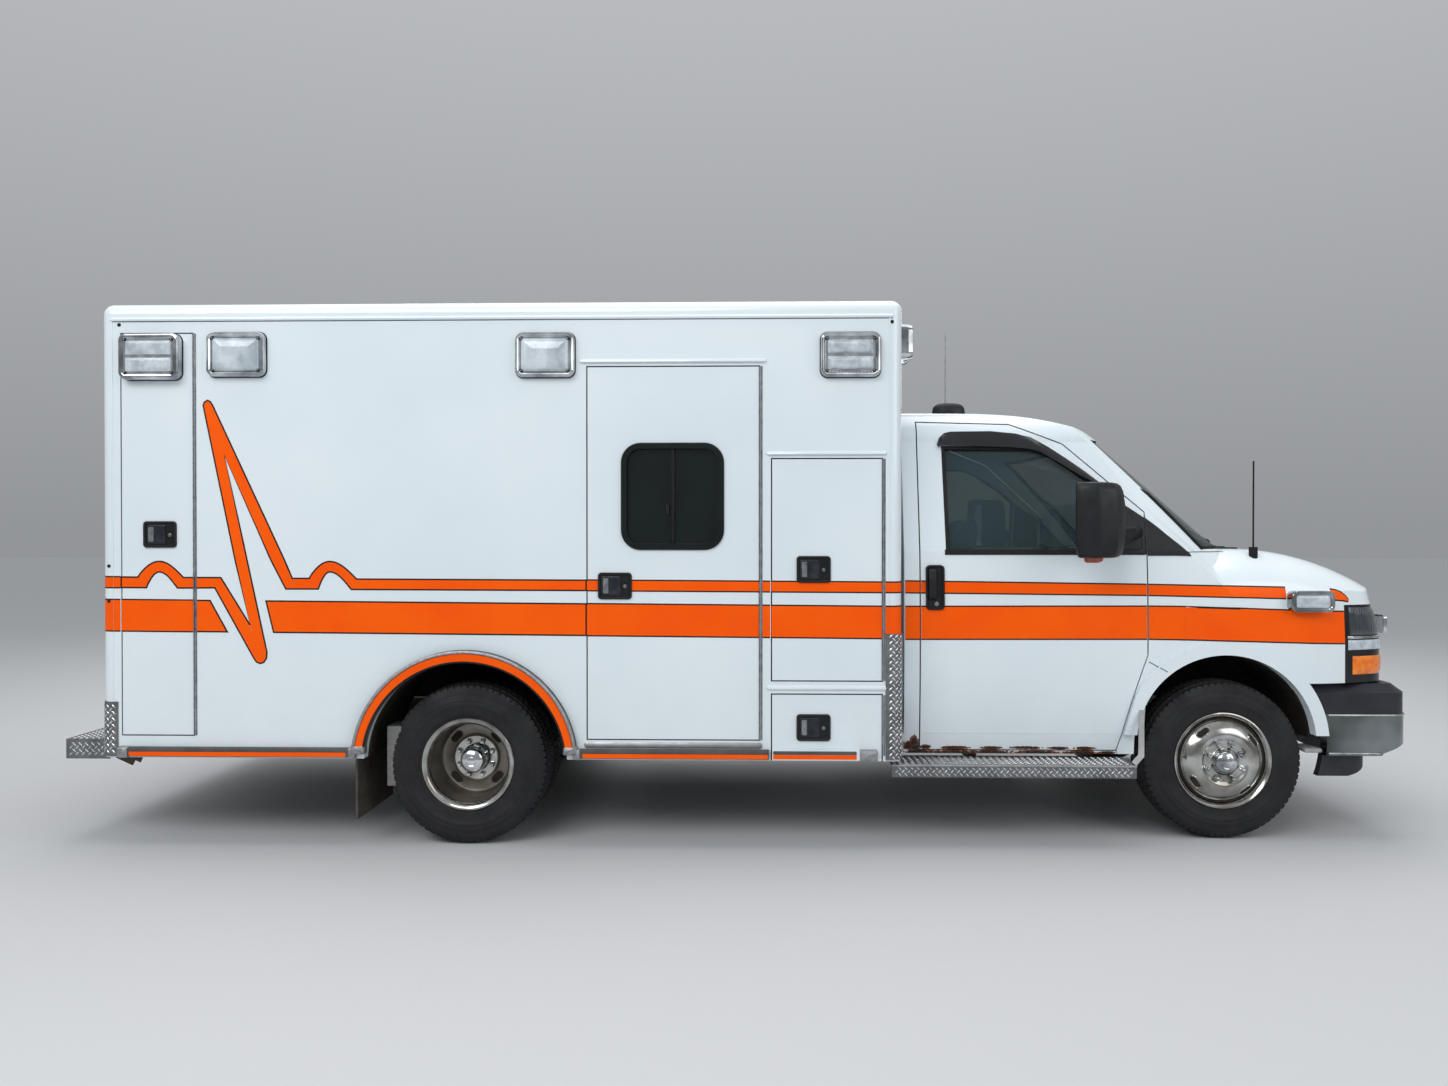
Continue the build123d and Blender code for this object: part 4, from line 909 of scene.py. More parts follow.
    def skin(self, grid: Sequence[Sequence[Vector]], inner: Sequence[Sequence[Vector]]) -> "Shape":
        """Closes a thin sheet between an outer and an inner grid of points.

        Args:
            grid: rows of outer points.
            inner: rows of inner points, as many.

        Returns:
            This shape.
        """
        start, rows, columns = len(self.points), len(grid), len(grid[0])
        for layer in (grid, inner):
            for row in layer:
                self.points.extend(Vector(p) for p in row)
        half = rows * columns
        for i in range(rows - 1):
            for j in range(columns - 1):
                a, b = start + i * columns + j, start + (i + 1) * columns + j
                self.faces.append((a, a + 1, b + 1, b))
                self.faces.append((half + a, half + b, half + b + 1, half + a + 1))
        rim = [start + j for j in range(columns)] + [start + i * columns + columns - 1
            for i in range(1, rows)]
        rim += [start + (rows - 1) * columns + j for j in range(columns - 2, -1, -1)]
        rim += [start + i * columns for i in range(rows - 2, 0, -1)]
        for a, b in zip(rim, rim[1:] + rim[:1]):
            self.faces.append((a, half + a, half + b, b))
        return self

    def mesh(self, name: str, finish: Finish, smooth: float) -> bpy.types.Mesh:
        """Makes the mesh in metres, with its material and its sharp edges.

        Args:
            name: the mesh's name.
            finish: its material.
            smooth: edges sharper than this stay sharp, in degrees.

        Returns:
            The mesh.
        """
        mesh = bpy.data.meshes.new(name)
        mesh.from_pydata([tuple(p * MM) for p in self.points], [], self.faces)
        work = bmesh.new()
        work.from_mesh(mesh)
        bmesh.ops.recalc_face_normals(work, faces=work.faces)
        work.to_mesh(mesh)
        work.free()
        mesh.shade_smooth()
        mesh.set_sharp_from_angle(angle=math.radians(smooth))
        mesh.materials.append(finish.material())
        return mesh

    def piece(self, name: str, finish: Finish, body: str, smooth: float = 32.0,
            fine: int = 0) -> bpy.types.Object:
        """Finishes the mesh as a piece that rides on a body.

        Args:
            name: the piece's name.
            finish: its material.
            body: the body that it rides on.
            smooth: edges sharper than this stay sharp, in degrees.
            fine: levels of subdivision.

        Returns:
            The piece.
        """
        piece = link(name, self.mesh(name, finish, smooth))
        if fine:
            modifier = piece.modifiers.new("fine", "SUBSURF")
            modifier.levels = modifier.render_levels = fine
        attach(piece, body)
        LOG.info("%s rides on %s", name, body)
        return piece


class Skin:
    """The outer faces of some solids, for laying trim on them."""

    def __init__(self, *names: str) -> None:
        """Gathers the faces.

        Args:
            names: the solids' nodes.
        """
        points: list[Vector] = []
        faces: list[tuple[int, ...]] = []
        for name in names:
            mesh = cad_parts[name].data
            start = len(points)
            points.extend(v.co / MM for v in mesh.vertices)
            faces.extend(tuple(start + i for i in polygon.vertices) for polygon in mesh.polygons)
        self.tree = BVHTree.FromPolygons(points, faces)

    def hit(self, start: Place, way: Place, lift: float = 0.0) -> Vector | None:
        """Finds where a straight line from outside first meets the solids.

        Args:
            start: a point outside, in millimetres.
            way: direction of the line.
            lift: distance that the answer stands off the face.

        Returns:
            The place, or None where the line misses.
        """
        place, normal, _, _ = self.tree.ray_cast(Vector(start), Vector(way).normalized(), 3000)
        return place and place + normal * (-lift if normal.dot(Vector(way)) > 0 else lift)

    def side(self, side: Side, x: float, z: float, lift: float = 0.0) -> Vector | None:
        """Finds the outermost face at a place of the side view, past the hairlines between faces.

        Args:
            side: the side looked at.
            x: place along the vehicle.
            z: height of the place.
            lift: distance that the answer stands out.

        Returns:
            The place, or None where nothing is there.
        """
        spots = ((0, 0), (1.5, 0), (-1.5, 0), (0, 1.5), (0, -1.5))
        hits = [self.hit((x + a, side.value * 1400, z + b), (0, -side.value, 0)) for a, b in spots]
        reach = [abs(place.y) for place in hits if place]
        return Vector((x, side.value * (max(reach) + lift), z)) if reach else None

    def band(self, side: Side, top: Loop, bottom: Loop, columns: int, rows: int = 12,
            lift: float = 0.5) -> "Shape":
        """Lays a thin band on the side between two lines of the side view.

        Args:
            side: the side that carries it.
            top: x and z along its upper line.
            bottom: x and z along its lower line.
            columns: steps along it.
            rows: steps across it.
            lift: its thickness over the face.

        Returns:
            A closed thin shape.
        """
        outer: list[list[Vector]] = []
        inner: list[list[Vector]] = []
        for i in range(columns + 1):
            share = i / columns
            ends = [along(line, share) for line in (top, bottom)]
            column = []
            for j in range(rows + 1):
                column.append(self.side(side, *(lerp(*pair, j / rows) for pair in zip(*ends)), lift))
            if all(column):
                outer.append(column)
                inner.append([p - Vector((0, side.value * (lift + 0.8), 0)) for p in column])
        return Shape().skin(outer, inner) if len(outer) > 1 else Shape()


def along(line: Loop, share: float) -> Point2:
    """Finds the point at a share of a line's length.

    Args:
        line: points of an open line.
        share: from 0 at its start to 1 at its end.

    Returns:
        The point.
    """
    lengths = [math.dist(p, q) for p, q in zip(line, line[1:])]
    left = share * sum(lengths)
    for (p, q), length in zip(zip(line, line[1:]), lengths):
        if left <= length + 1e-9:
            part = left / length if length else 0
            return (lerp(p[0], q[0], part), lerp(p[1], q[1], part))
        left -= length
    return line[-1]


def arc(centre: Point2, radius: float, start: float, end: float, steps: int = 16) -> list[Point2]:
    """Draws an open arc between two angles in degrees."""
    angles = [math.radians(degrees) for degrees in spread(start, end, steps)]
    return [(centre[0] + radius * math.cos(t), centre[1] + radius * math.sin(t)) for t in angles]


HALF_ROUND = [(-9, 0), (-8, 5), (-4.5, 8.2), (0, 9.5), (4.5, 8.2), (8, 5), (9, 0)]


class Kit:
    """The shapes of one sub-assembly, each with its finish and its body."""

    def __init__(self, name: str, body: str = "vehicle") -> None:
        """Starts an empty kit of a name, whose shapes ride on a body."""
        self.name, self.body = name, body
        self.shapes: dict[str, tuple[Shape, Finish, str, float]] = {}

    def part(self, label: str, finish: Finish, body: str = "", smooth: float = 32.0) -> Shape:
        """Starts a shape, or carries on with the one of that label.

        Args:
            label: last word of the piece's name.
            finish: its material.
            smooth: edges sharper than this stay sharp, in degrees.

        Returns:
            The shape to add to.
        """
        return self.shapes.setdefault(label, (Shape(), finish, body or self.body, smooth))[0]

    def build(self) -> list[bpy.types.Object]:
        """Makes a piece of each shape that holds something.

        Returns:
            The pieces.
        """
        made = []
        for label, (shape, finish, body, smooth) in self.shapes.items():
            if shape.faces:
                made.append(shape.piece(f"{self.name}_{label}", finish, body, smooth))
        return made


# ---------------------------------------------------------------- stripes and heartbeat line


def dome(left: Point2, top: Point2, right: Point2, steps: int = 9) -> list[Point2]:
    """Draws a rounded bump of a stripe's edge from its left foot over its top to its right foot.

    Args:
        left: its left foot.
        top: its top.
        right: its right foot.
        steps: steps on each flank.

    Returns:
        The line from foot to foot.
    """
    turn = math.pi / 2
    rise = [(left[0] + (top[0] - left[0]) * s / steps,
             left[1] + (top[1] - left[1]) * math.sin(turn * s / steps) ** 0.85) for s in range(steps + 1)]
    fall = [(top[0] + (right[0] - top[0]) * s / steps,
             right[1] + (top[1] - right[1]) * math.cos(turn * s / steps)) for s in range(1, steps + 1)]
    return rise + fall


@dataclass(frozen=True)
class Stripe:
    """One long stripe: heights of its edges at the module's two ends."""

    name: str
    low: Point2
    high: Point2

    def top(self, x: float) -> float:
        """Gives the height of the upper edge at a place along the module."""
        return lerp(*self.high, (x + 2950) / 3600)

    def foot(self, x: float) -> float:
        """Gives the height of the lower edge."""
        return lerp(*self.low, (x + 2950) / 3600)

    def quad(self, foot: Point2, top: Point2, grow: float = 0.0) -> list[Point2]:
        """Draws a stretch between the x of its lower corners and the x of its upper ones, grown up and down."""
        return [*((x, self.foot(x) - grow) for x in foot), *((x, self.top(x) + grow) for x in reversed(top))]

    def flat(self) -> "Stripe":
        """Gives the same stripe with the heights of the rear corner all along."""
        return replace(self, low=(self.low[0],) * 2, high=(self.high[0],) * 2)


THIN = Stripe("thin", (1193, 1175), (1238, 1217))
THICK = Stripe("thick", (993, 966), (1133, 1107))
SIDE_PANELS = {  # x from, x to, body
    Side.RIGHT: [(-2912, -2868, "vehicle"), (-2862, -2524, "right_rear_locker_door"), (-2518, -709, "vehicle"),
                 (-703, 85, "side_entry_door"), (91, 134, "vehicle"), (140, 643, "right_front_locker_door"),
                 (649, 684, "vehicle")],
    Side.LEFT: [(-2912, -2868, "vehicle"), (-2862, -2524, "left_rear_locker_door"), (-2518, 134, "vehicle"),
                (140, 643, "left_front_locker_door"), (649, 684, "vehicle")],
}
REAR_PANELS = [(-1145, -643, "vehicle"), (-631, -6, "rear_door_right"), (6, 631, "rear_door_left"),
    (643, 1145, "vehicle")]
OUTLINE_WIDTH = 6.5
FILMS = (  # name, finish, growth, height of its face on a flat wall and on a curved one
    ("orange", ORANGE_FILM, 0.0, 0.7, 1.4),
    ("edge", BLACK_FILM, OUTLINE_WIDTH, 0.45, 0.8),
)
CAB_STRIPES = {  # x, heights of the lower and the upper edge
    "thin": [(773, 1164, 1214), (1910, 1153, 1199), (2549, 1139, 1186)],
    "thick": [(773, 945, 1094), (1910, 948, 1097), (2056, 946, 1096), (2836, 926, 1071)],
}
POSTS = (-2903, 676)  # where an upright bead covers the joint of the corner post


@dataclass
class Livery:
    """Orange stripes with dark edges round the vehicle, and the heartbeat line in the rear side stripe."""

    kit: Kit = field(default_factory=lambda: Kit("livery"))

    def lay(self, wall: Wall, label: str, outline: Loop, body: str) -> None:
        """Lays one piece of film with its dark edge all round.

        Args:
            wall: plane that carries it.
            label: end of the pieces' names.
            outline: its outline.
            body: body that it rides on.
        """
        self.kit.part(f"orange_{label}", ORANGE_FILM, body, 20).plate(wall, outline, 0.0, 0.7)
        self.kit.part(f"edge_{label}", BLACK_FILM, body, 20).frame(wall, shifted(outline, 5.4), 7.0, 0, 1.0,
            0.2)

    def plain(self, wall: Wall, label: str, stripe: Stripe, ends: Point2, body: str = "") -> None:
        """Lays a stretch of stripe between two upright cuts, dark along its long edges only.

        Args:
            wall: plane that carries it.
            label: end of the pieces' names.
            stripe: the stripe.
            ends: x where it starts and ends.
            body: body that it rides on.
        """
        for tag, finish, grow, height, _ in FILMS:
            line = stripe.quad(ends, ends, grow)
            self.kit.part(f"{tag}_{label}", finish, body, 20).plate(wall, line, 0.0, height)

    def module_side(self, side: Side) -> None:
        """Lays the two stripes and the heartbeat line along one side of the module.

        Args:
            side: the side.
        """
        wall, word = side_wall(side), side.word
        for number, (start, end, body) in enumerate(SIDE_PANELS[side]):
            label = f"{word}_{number}"
            if number == 1:
                bump = dome((-2785, 1237), (-2686, 1310), (-2573, 1235))
                low = dome((-2747, 1192), (-2686, 1265), (-2600, 1191))
                outline = [(start, THIN.foot(start)), *low, (end, THIN.foot(end)), (end, THIN.top(end)),
                    *reversed(bump), (start, THIN.top(start))]
                self.lay(wall, f"{label}_bump", outline, body)
            elif number == 2:
                self.lay(wall, f"{label}_heartbeat", self.heartbeat(start, end), body)
                self.lay(wall, f"{label}_thick_a", THICK.quad((start, -2372), (start, -2450)), body)
                self.lay(wall, f"{label}_thick_b", THICK.quad((-2151, end), (-2185, end)), body)
            else:
                self.plain(wall, f"{label}_thin", THIN, (start, end), body)
            if number != 2:
                self.plain(wall, f"{label}_thick", THICK, (start, end), body)
        for x, stripe in product(POSTS, (THIN, THICK)):
            self.plain(wall.moved(2.4), f"{word}_posts", stripe, (x - 3.6, x + 3.6))

    @staticmethod
    def heartbeat(start: float, end: float) -> list[Point2]:
        """Draws the thin stripe with its jump down, its high peak and its second bump.

        Args:
            start: x where it starts.
            end: x where it ends.

        Returns:
            The closed outline.
        """
        upper = [(start, THIN.top(start)), (-2399, 1235), (-2265, 1019), (-2254, 985), (-2329, 1318),
            (-2475, 2030), (-2470, 2044), (-2457, 2052), (-2445, 2046), (-2436, 2032), (-2103, 1318),
            (-2066, 1232), *dome((-1985, 1232), (-1891, 1310), (-1767, 1229)), (end, THIN.top(end))]
        lower = [(end, THIN.foot(end)), *reversed(dome((-1945, 1187), (-1891, 1266), (-1790, 1185))),
            (-2094, 1187), (-2162, 1318), (-2381, 1806), (-2297, 1410), (-2186, 893), (-2188, 866),
            (-2200, 848), (-2216, 843), (-2232, 850), (-2242, 864), (-2425, 1192), (start, THIN.foot(start))]
        return list(reversed(upper + lower))

    def corners(self, side: Side) -> None:
        """Wraps both stripes round the module's upright corners.

        Args:
            side: the side.
        """
        s = side.value
        for (end, centre_x, way), stripe in product((("rear", -2912, -1), ("front", 684, 1)), (THIN, THICK)):
            for tag, finish, grow, lift, _ in FILMS:
                heights = (stripe.foot(centre_x) - grow, stripe.top(centre_x) + grow)
                grids = [[[Vector((centre_x + way * radius * math.sin(t), s * (1145 + radius * math.cos(t)),
                    z)) for z in heights] for t in spread(0, math.pi / 2, 8)] for radius in (50 + lift, 49.6)]
                self.kit.part(f"{tag}_{side.word}_{end}_{stripe.name}", finish, smooth=50).skin(*grids)

    def rear(self) -> None:
        """Carries the stripes across the rear wall and its doors."""
        for (number, (start, end, body)), stripe in product(enumerate(REAR_PANELS), (THIN, THICK)):
            self.plain(REAR_WALL, f"rear_{number}_{stripe.name}", stripe.flat(), (start, end), body)

    def cab(self, side: Side) -> None:
        """Lays the stripes over the curved cab side, the door and the wing.

        Args:
            side: the side.
        """
        door = f"cab_door_{side.word}"
        zones = [("cab_shell", "vehicle", 773, 842), (door, door, 848, 1902.5),
            ("front_wings", "vehicle", 1910, 2079.9), ("front_wings", "vehicle", 2080.1, 2837)]
        for number, (node, body, start, end) in enumerate(zones):
            skin = Skin(node)
            for name, table in CAB_STRIPES.items():
                stop = min(end, table[-1][0])
                if stop > start:
                    xs = spread(start, stop, max(2, int((stop - start) / 8)))
                    lines = [[(x, self.height(table, x, column)) for x in xs] for column in (2, 1)]
                    self.band(skin, side, f"{side.word}_{number}_{node}_{name}", body, lines, len(xs) - 1)
        tick = ([(2768, 1177), (2795, 1173), (2822, 1163), (2845, 1147), (2866, 1126)],
            [(2768, 1131), (2795, 1130), (2822, 1128), (2845, 1125), (2862, 1122)])
        self.band(Skin("front_wings"), side, f"{side.word}_tick", "vehicle", tick, 14)

    def band(self, skin: Skin, side: Side, label: str, body: str, lines: Sequence[Loop],
            columns: int) -> None:
        """Lays an orange band between an upper and a lower line, and the dark one under it.

        Args:
            skin: the faces under it.
            side: the side.
            label: end of the pieces' names.
            body: body that it rides on.
            lines: its upper and its lower line.
            columns: steps along it.
        """
        for tag, finish, grow, _, lift in FILMS:
            edges = [[(x, z + way * grow) for x, z in line] for line, way in zip(lines, (1, -1))]
            self.kit.shapes[f"{tag}_{label}"] = (skin.band(side, *edges, columns, lift=lift), finish, body,
                40)

    @staticmethod
    def height(table: Sequence[Point3], x: float, column: int) -> float:
        """Reads a height between the rows of a table.

        Args:
            table: rows of x and heights, in the order of x.
            x: the place.
            column: column of the height.

        Returns:
            The height.
        """
        for low, high in zip(table, table[1:]):
            if x <= high[0]:
                return low[column] + (high[column] - low[column]) * (x - low[0]) / (high[0] - low[0])
        return table[-1][column]

    def build(self) -> None:
        """Lays all the film."""
        for side in Side:
            self.module_side(side)
            self.corners(side)
            self.cab(side)
        self.rear()
        self.kit.build()


# ---------------------------------------------------------------- module trim


class Lens(Enum):
    """Kinds of lens in the module's box lamps."""

    RIBBED = "clear lens with two ribbed bands"
    SCENE = "convex clear lens of a scene light"
    RED = "red warning lens"
    AMBER = "amber lens"


LENS_FINISH = {Lens.RIBBED: CLEAR_LENS, Lens.SCENE: SMOOTH_LENS, Lens.RED: RED_LENS, Lens.AMBER: AMBER_LENS}


@dataclass
class BoxLamp:
    """A framed lamp: chrome bezel, lens and four screws."""

    name: str
    wall: Wall
    a: float
    b: float
    width: float
    height: float
    depth: float
    lens: Lens
    body: str = "vehicle"
    radius: float = 34
    rim: float = 26
    base: float = 0.0

    def ring(self, inset: float) -> list[Point2]:
        """Draws the lamp's outline further in."""
        radius = max(self.radius - inset, 4)
        return rounded(self.a, self.b, self.width - 2 * inset, self.height - 2 * inset, radius, 7)

    def rise(self, share: float) -> float:
        """Gives a height at a share of the lamp's depth over what carries it."""
        return self.base + (self.depth - self.base) * share

    def build(self) -> list[bpy.types.Object]:
        """Builds the lamp's pieces.

        Returns:
            The pieces.
        """
        kit, w, rim = Kit(self.name, self.body), self.wall, self.rim
        levels = [(0, 0.0), (0, self.rise(0.12)), (1.5, self.rise(0.5)), (5, self.rise(0.8)),
            (rim * 0.45, self.rise(0.9)), (rim * 0.75, self.rise(0.78)), (rim, self.rise(0.45)),
            (rim, self.rise(0.02))]
        kit.part("bezel", CHROME, smooth=40).stack(w, [(self.ring(i), h) for i, h in levels], round_trip=True)
        # A black rim round the bezel: the dark reflection and shade at its edge, painted.
        shadow = kit.part("gasket", SEAL_AND_SHADE)
        shadow.stack(w, [(self.ring(-3), 0), (self.ring(-3), 3), (self.ring(1), 4), (self.ring(1), 0)],
            round_trip=True)
        if self.lens is Lens.RIBBED:
            self._ribbed(kit)
        else:
            half = min(self.width, self.height) / 2 - rim
            steps = ((0, 0.02), (0, 0.5), (0.1, 0.72), (0.24, 0.86), (0.45, 0.95), (0.75, 1.0))
            levels = [(self.ring(rim - 1 + half * share), self.rise(high)) for share, high in steps]
            kit.part("lens", LENS_FINISH[self.lens], smooth=60).stack(w, levels)
        for sa, sb in product((-1, 1), (-1, 1)):
            at = w.point(self.a + sa * (self.width / 2 - rim * 1.15), self.b
                + sb * (self.height / 2 - rim * 1.15), self.rise(0.62))
            kit.part("screw_cups", SEAL_AND_SHADE).lathe(at, w.out, [(7, 0), (7, 4), (5.6, 4.4), (0.3, 4.4)], 12)
            screw = [(4, 3), (4, 5.4), (3, 6.6), (1.6, 7), (1.5, 5.2), (0.2, 5.2)]
            kit.part("screws", SATIN_STEEL).lathe(at, w.out, screw, 12)
        return kit.build()

    def _ribbed(self, kit: Kit) -> None:
        """Fills the bezel with a stepped lens of upright flutes in two level bands.

        Args:
            kit: kit that gets the pieces.
        """
        wide, high = self.width - 2 * self.rim, self.height - 2 * self.rim
        back = [(self.ring(self.rim - 1), self.rise(0.02)), (self.ring(self.rim - 1), self.rise(0.5))]
        kit.part("lens_back", REFLECTOR, smooth=60).stack(self.wall, back)
        count, across = 22, 12
        for row, (low, top) in enumerate(((-0.44, -0.05), (0.05, 0.44))):
            layers = []
            for face in (True, False):
                grid = []
                for v in spread(0, 1, across):
                    line = []
                    for u in spread(0, 1, count * 4):
                        end = min(1.0, 12 * u, 12 * (1 - u))
                        bulge = 0.3 * (1 - (2 * v - 1) ** 4) * end
                        flute = 1.1 * abs(math.sin(math.pi * u * count)) * end
                        height = self.rise(0.5 + bulge) + flute if face else self.rise(0.3)
                        line.append(self.wall.point(self.a + (u - 0.5) * wide * 0.93, self.b
                            + lerp(low, top, v) * high, height))
                    grid.append(line)
                layers.append(grid)
            kit.part(f"lens_{row}", CLEAR_LENS, smooth=50).skin(*layers)


@dataclass
class ModuleLamps:
    """All lamps of the patient module."""

    side_places: tuple = ((-2316, 2262, Lens.SCENE), (-892, 2254, Lens.SCENE), (497, 2250, Lens.RIBBED))

    def build(self) -> None:
        """Builds every lamp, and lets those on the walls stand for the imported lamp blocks."""
        lamps: list[BoxLamp] = []
        for side in Side:
            wall, word = side_wall(side), side.word
            for number, (x, z, lens) in enumerate(self.side_places):
                lamps.append(BoxLamp(f"side_lamp_{word}_{number}", wall, x, z, 272, 205, 38, lens))
            lamps.append(BoxLamp(f"door_lamp_{word}", wall, -2711, 2252, 278, 211, 49, Lens.RIBBED,
                f"{word}_rear_locker_door", base=38.4))
        for number, y in enumerate((-960, -480, 0, 480, 960)):
            lens = Lens.RED if y else Lens.SCENE
            lamps.append(BoxLamp(f"front_lamp_{number}", FRONT_WALL, y, 2330, 272, 165, 68, lens, rim=20))
        for number, (y, z, high) in enumerate(((-950, 2330, 165), (0, 2350, 110), (950, 2330, 165))):
            lens = Lens.RED if y else Lens.AMBER
            lamps.append(BoxLamp(f"rear_lamp_{number}", REAR_WALL, y, z, 272, high, 38, lens, rim=20,
                radius=26))
        for side in Side:
            for number, (z, lens) in enumerate(((820, Lens.SCENE), (960, Lens.AMBER), (1100, Lens.RED))):
                lamps.append(BoxLamp(f"tail_lamp_{side.word}_{number}", REAR_WALL, side.value * 930, z, 180,
                    110, 30, lens, rim=11, radius=22))
        for lamp in lamps:
            for piece in lamp.build():
                if lamp.body == "vehicle":
                    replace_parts(piece, "module_lamps")


@dataclass
class Latch:
    """A paddle latch: black bezel, satin paddle and a key cylinder."""

    name: str
    wall: Wall
    a: float
    b: float
    body: str
    width: float = 155
    height: float = 122

    def build(self) -> None:
        """Builds the latch."""
        kit, w = Kit(self.name, self.body), self.wall
        outer = rounded(self.a, self.b, self.width, self.height, 16)
        pan = rounded(self.a, self.b, self.width - 18, self.height - 18, 9)
        kit.part("bezel", BLACK_MOULDING).frame(w, outer, 11, 0, 9, 2.5)
        kit.part("pan", SATIN_BLACK).plate(w, pan, 0, 2.4)
        hand = [(0, 2.4), (0, 5), (3, 6.6), (10, 6.2), (20, 4.2)]
        levels = [(rounded(self.a - 18, self.b, 88 - 2 * i, 88 - 2 * i, max(10 - i, 3)), h) for i, h in hand]
        kit.part("paddle", PADDLE_GREY, smooth=60).stack(w, levels)
        grip = rounded(self.a - 42, self.b, 26, 70, 6)
        kit.part("paddle_grip", SATIN_STEEL).plate(w, grip, 4, 8.6, 2)
        at = w.point(self.a + 46, self.b - 2, 2.4)
        lock = [(9, 0), (9, 2.4), (7.6, 4), (6.4, 4.2), (6, 5.4), (1.8, 5.6), (1.6, 4), (0.2, 4)]
        kit.part("key_cylinder", SATIN_STEEL).lathe(at, w.out, lock, 20)
        kit.build()


def lozenges(shape: Shape, place: Callable[[float, float, float], Vector], width: float, height: float,
        pitch: float = 30.0) -> None:
    """Raises the crossed lozenges of tread plate over a surface.

    Args:
        shape: shape that gets them.
        place: gives the point at distances along and up the surface and a height over it.
        width: size of the surface along.
        height: size of it up.
        pitch: spacing of the pattern.
    """
    columns, rows = int((width - 8) / pitch * 2), int((height - 8) / pitch * 2)
    for i in range(columns + 1):
        for j in range(rows + 1):
            a = (width - columns * pitch / 2) / 2 + i * pitch / 2
            b = (height - rows * pitch / 2) / 2 + j * pitch / 2
            if (i + j) % 2 or not 11 <= a <= width - 11 or not 8 <= b <= height - 8:
                continue
            way = 1 if j % 2 else -1
            length, half = 12.5, 3.5
            ends = [(-length, 0), (-length * 0.4, -half), (length * 0.4, -half), (length, 0),
                (length * 0.4, half), (-length * 0.4, half)]
            turned = [((p - way * q) * 0.7071 + a, (way * p + q) * 0.7071 + b) for p, q in ends]
            small = [(a + (p - a) * 0.55, b + (q - b) * 0.55) for p, q in turned]
            shape.rings([[place(p, q, 0) for p, q in turned], [place(p, q, 2.2) for p, q in small]])


LATCHES = {  # body, x, z
    Side.RIGHT: [("right_rear_locker_door", -2680, 1436), ("side_entry_door", -575, 1201),
                 ("right_front_locker_door", 331, 1277), ("right_low_locker_door", 331, 557)],
    Side.LEFT: [("left_rear_locker_door", -2680, 1436), ("left_front_locker_door", 331, 1277)],
}
OPENINGS = {  # x from, x to, z from, z to
    Side.RIGHT: [(-706, 88, 495, 2205), (-2865, -2521, 505, 2366), (137, 646, 766, 1784), (137, 646, 405, 712)],
    Side.LEFT: [(-2865, -2521, 505, 2366), (137, 646, 505, 1784)],
}


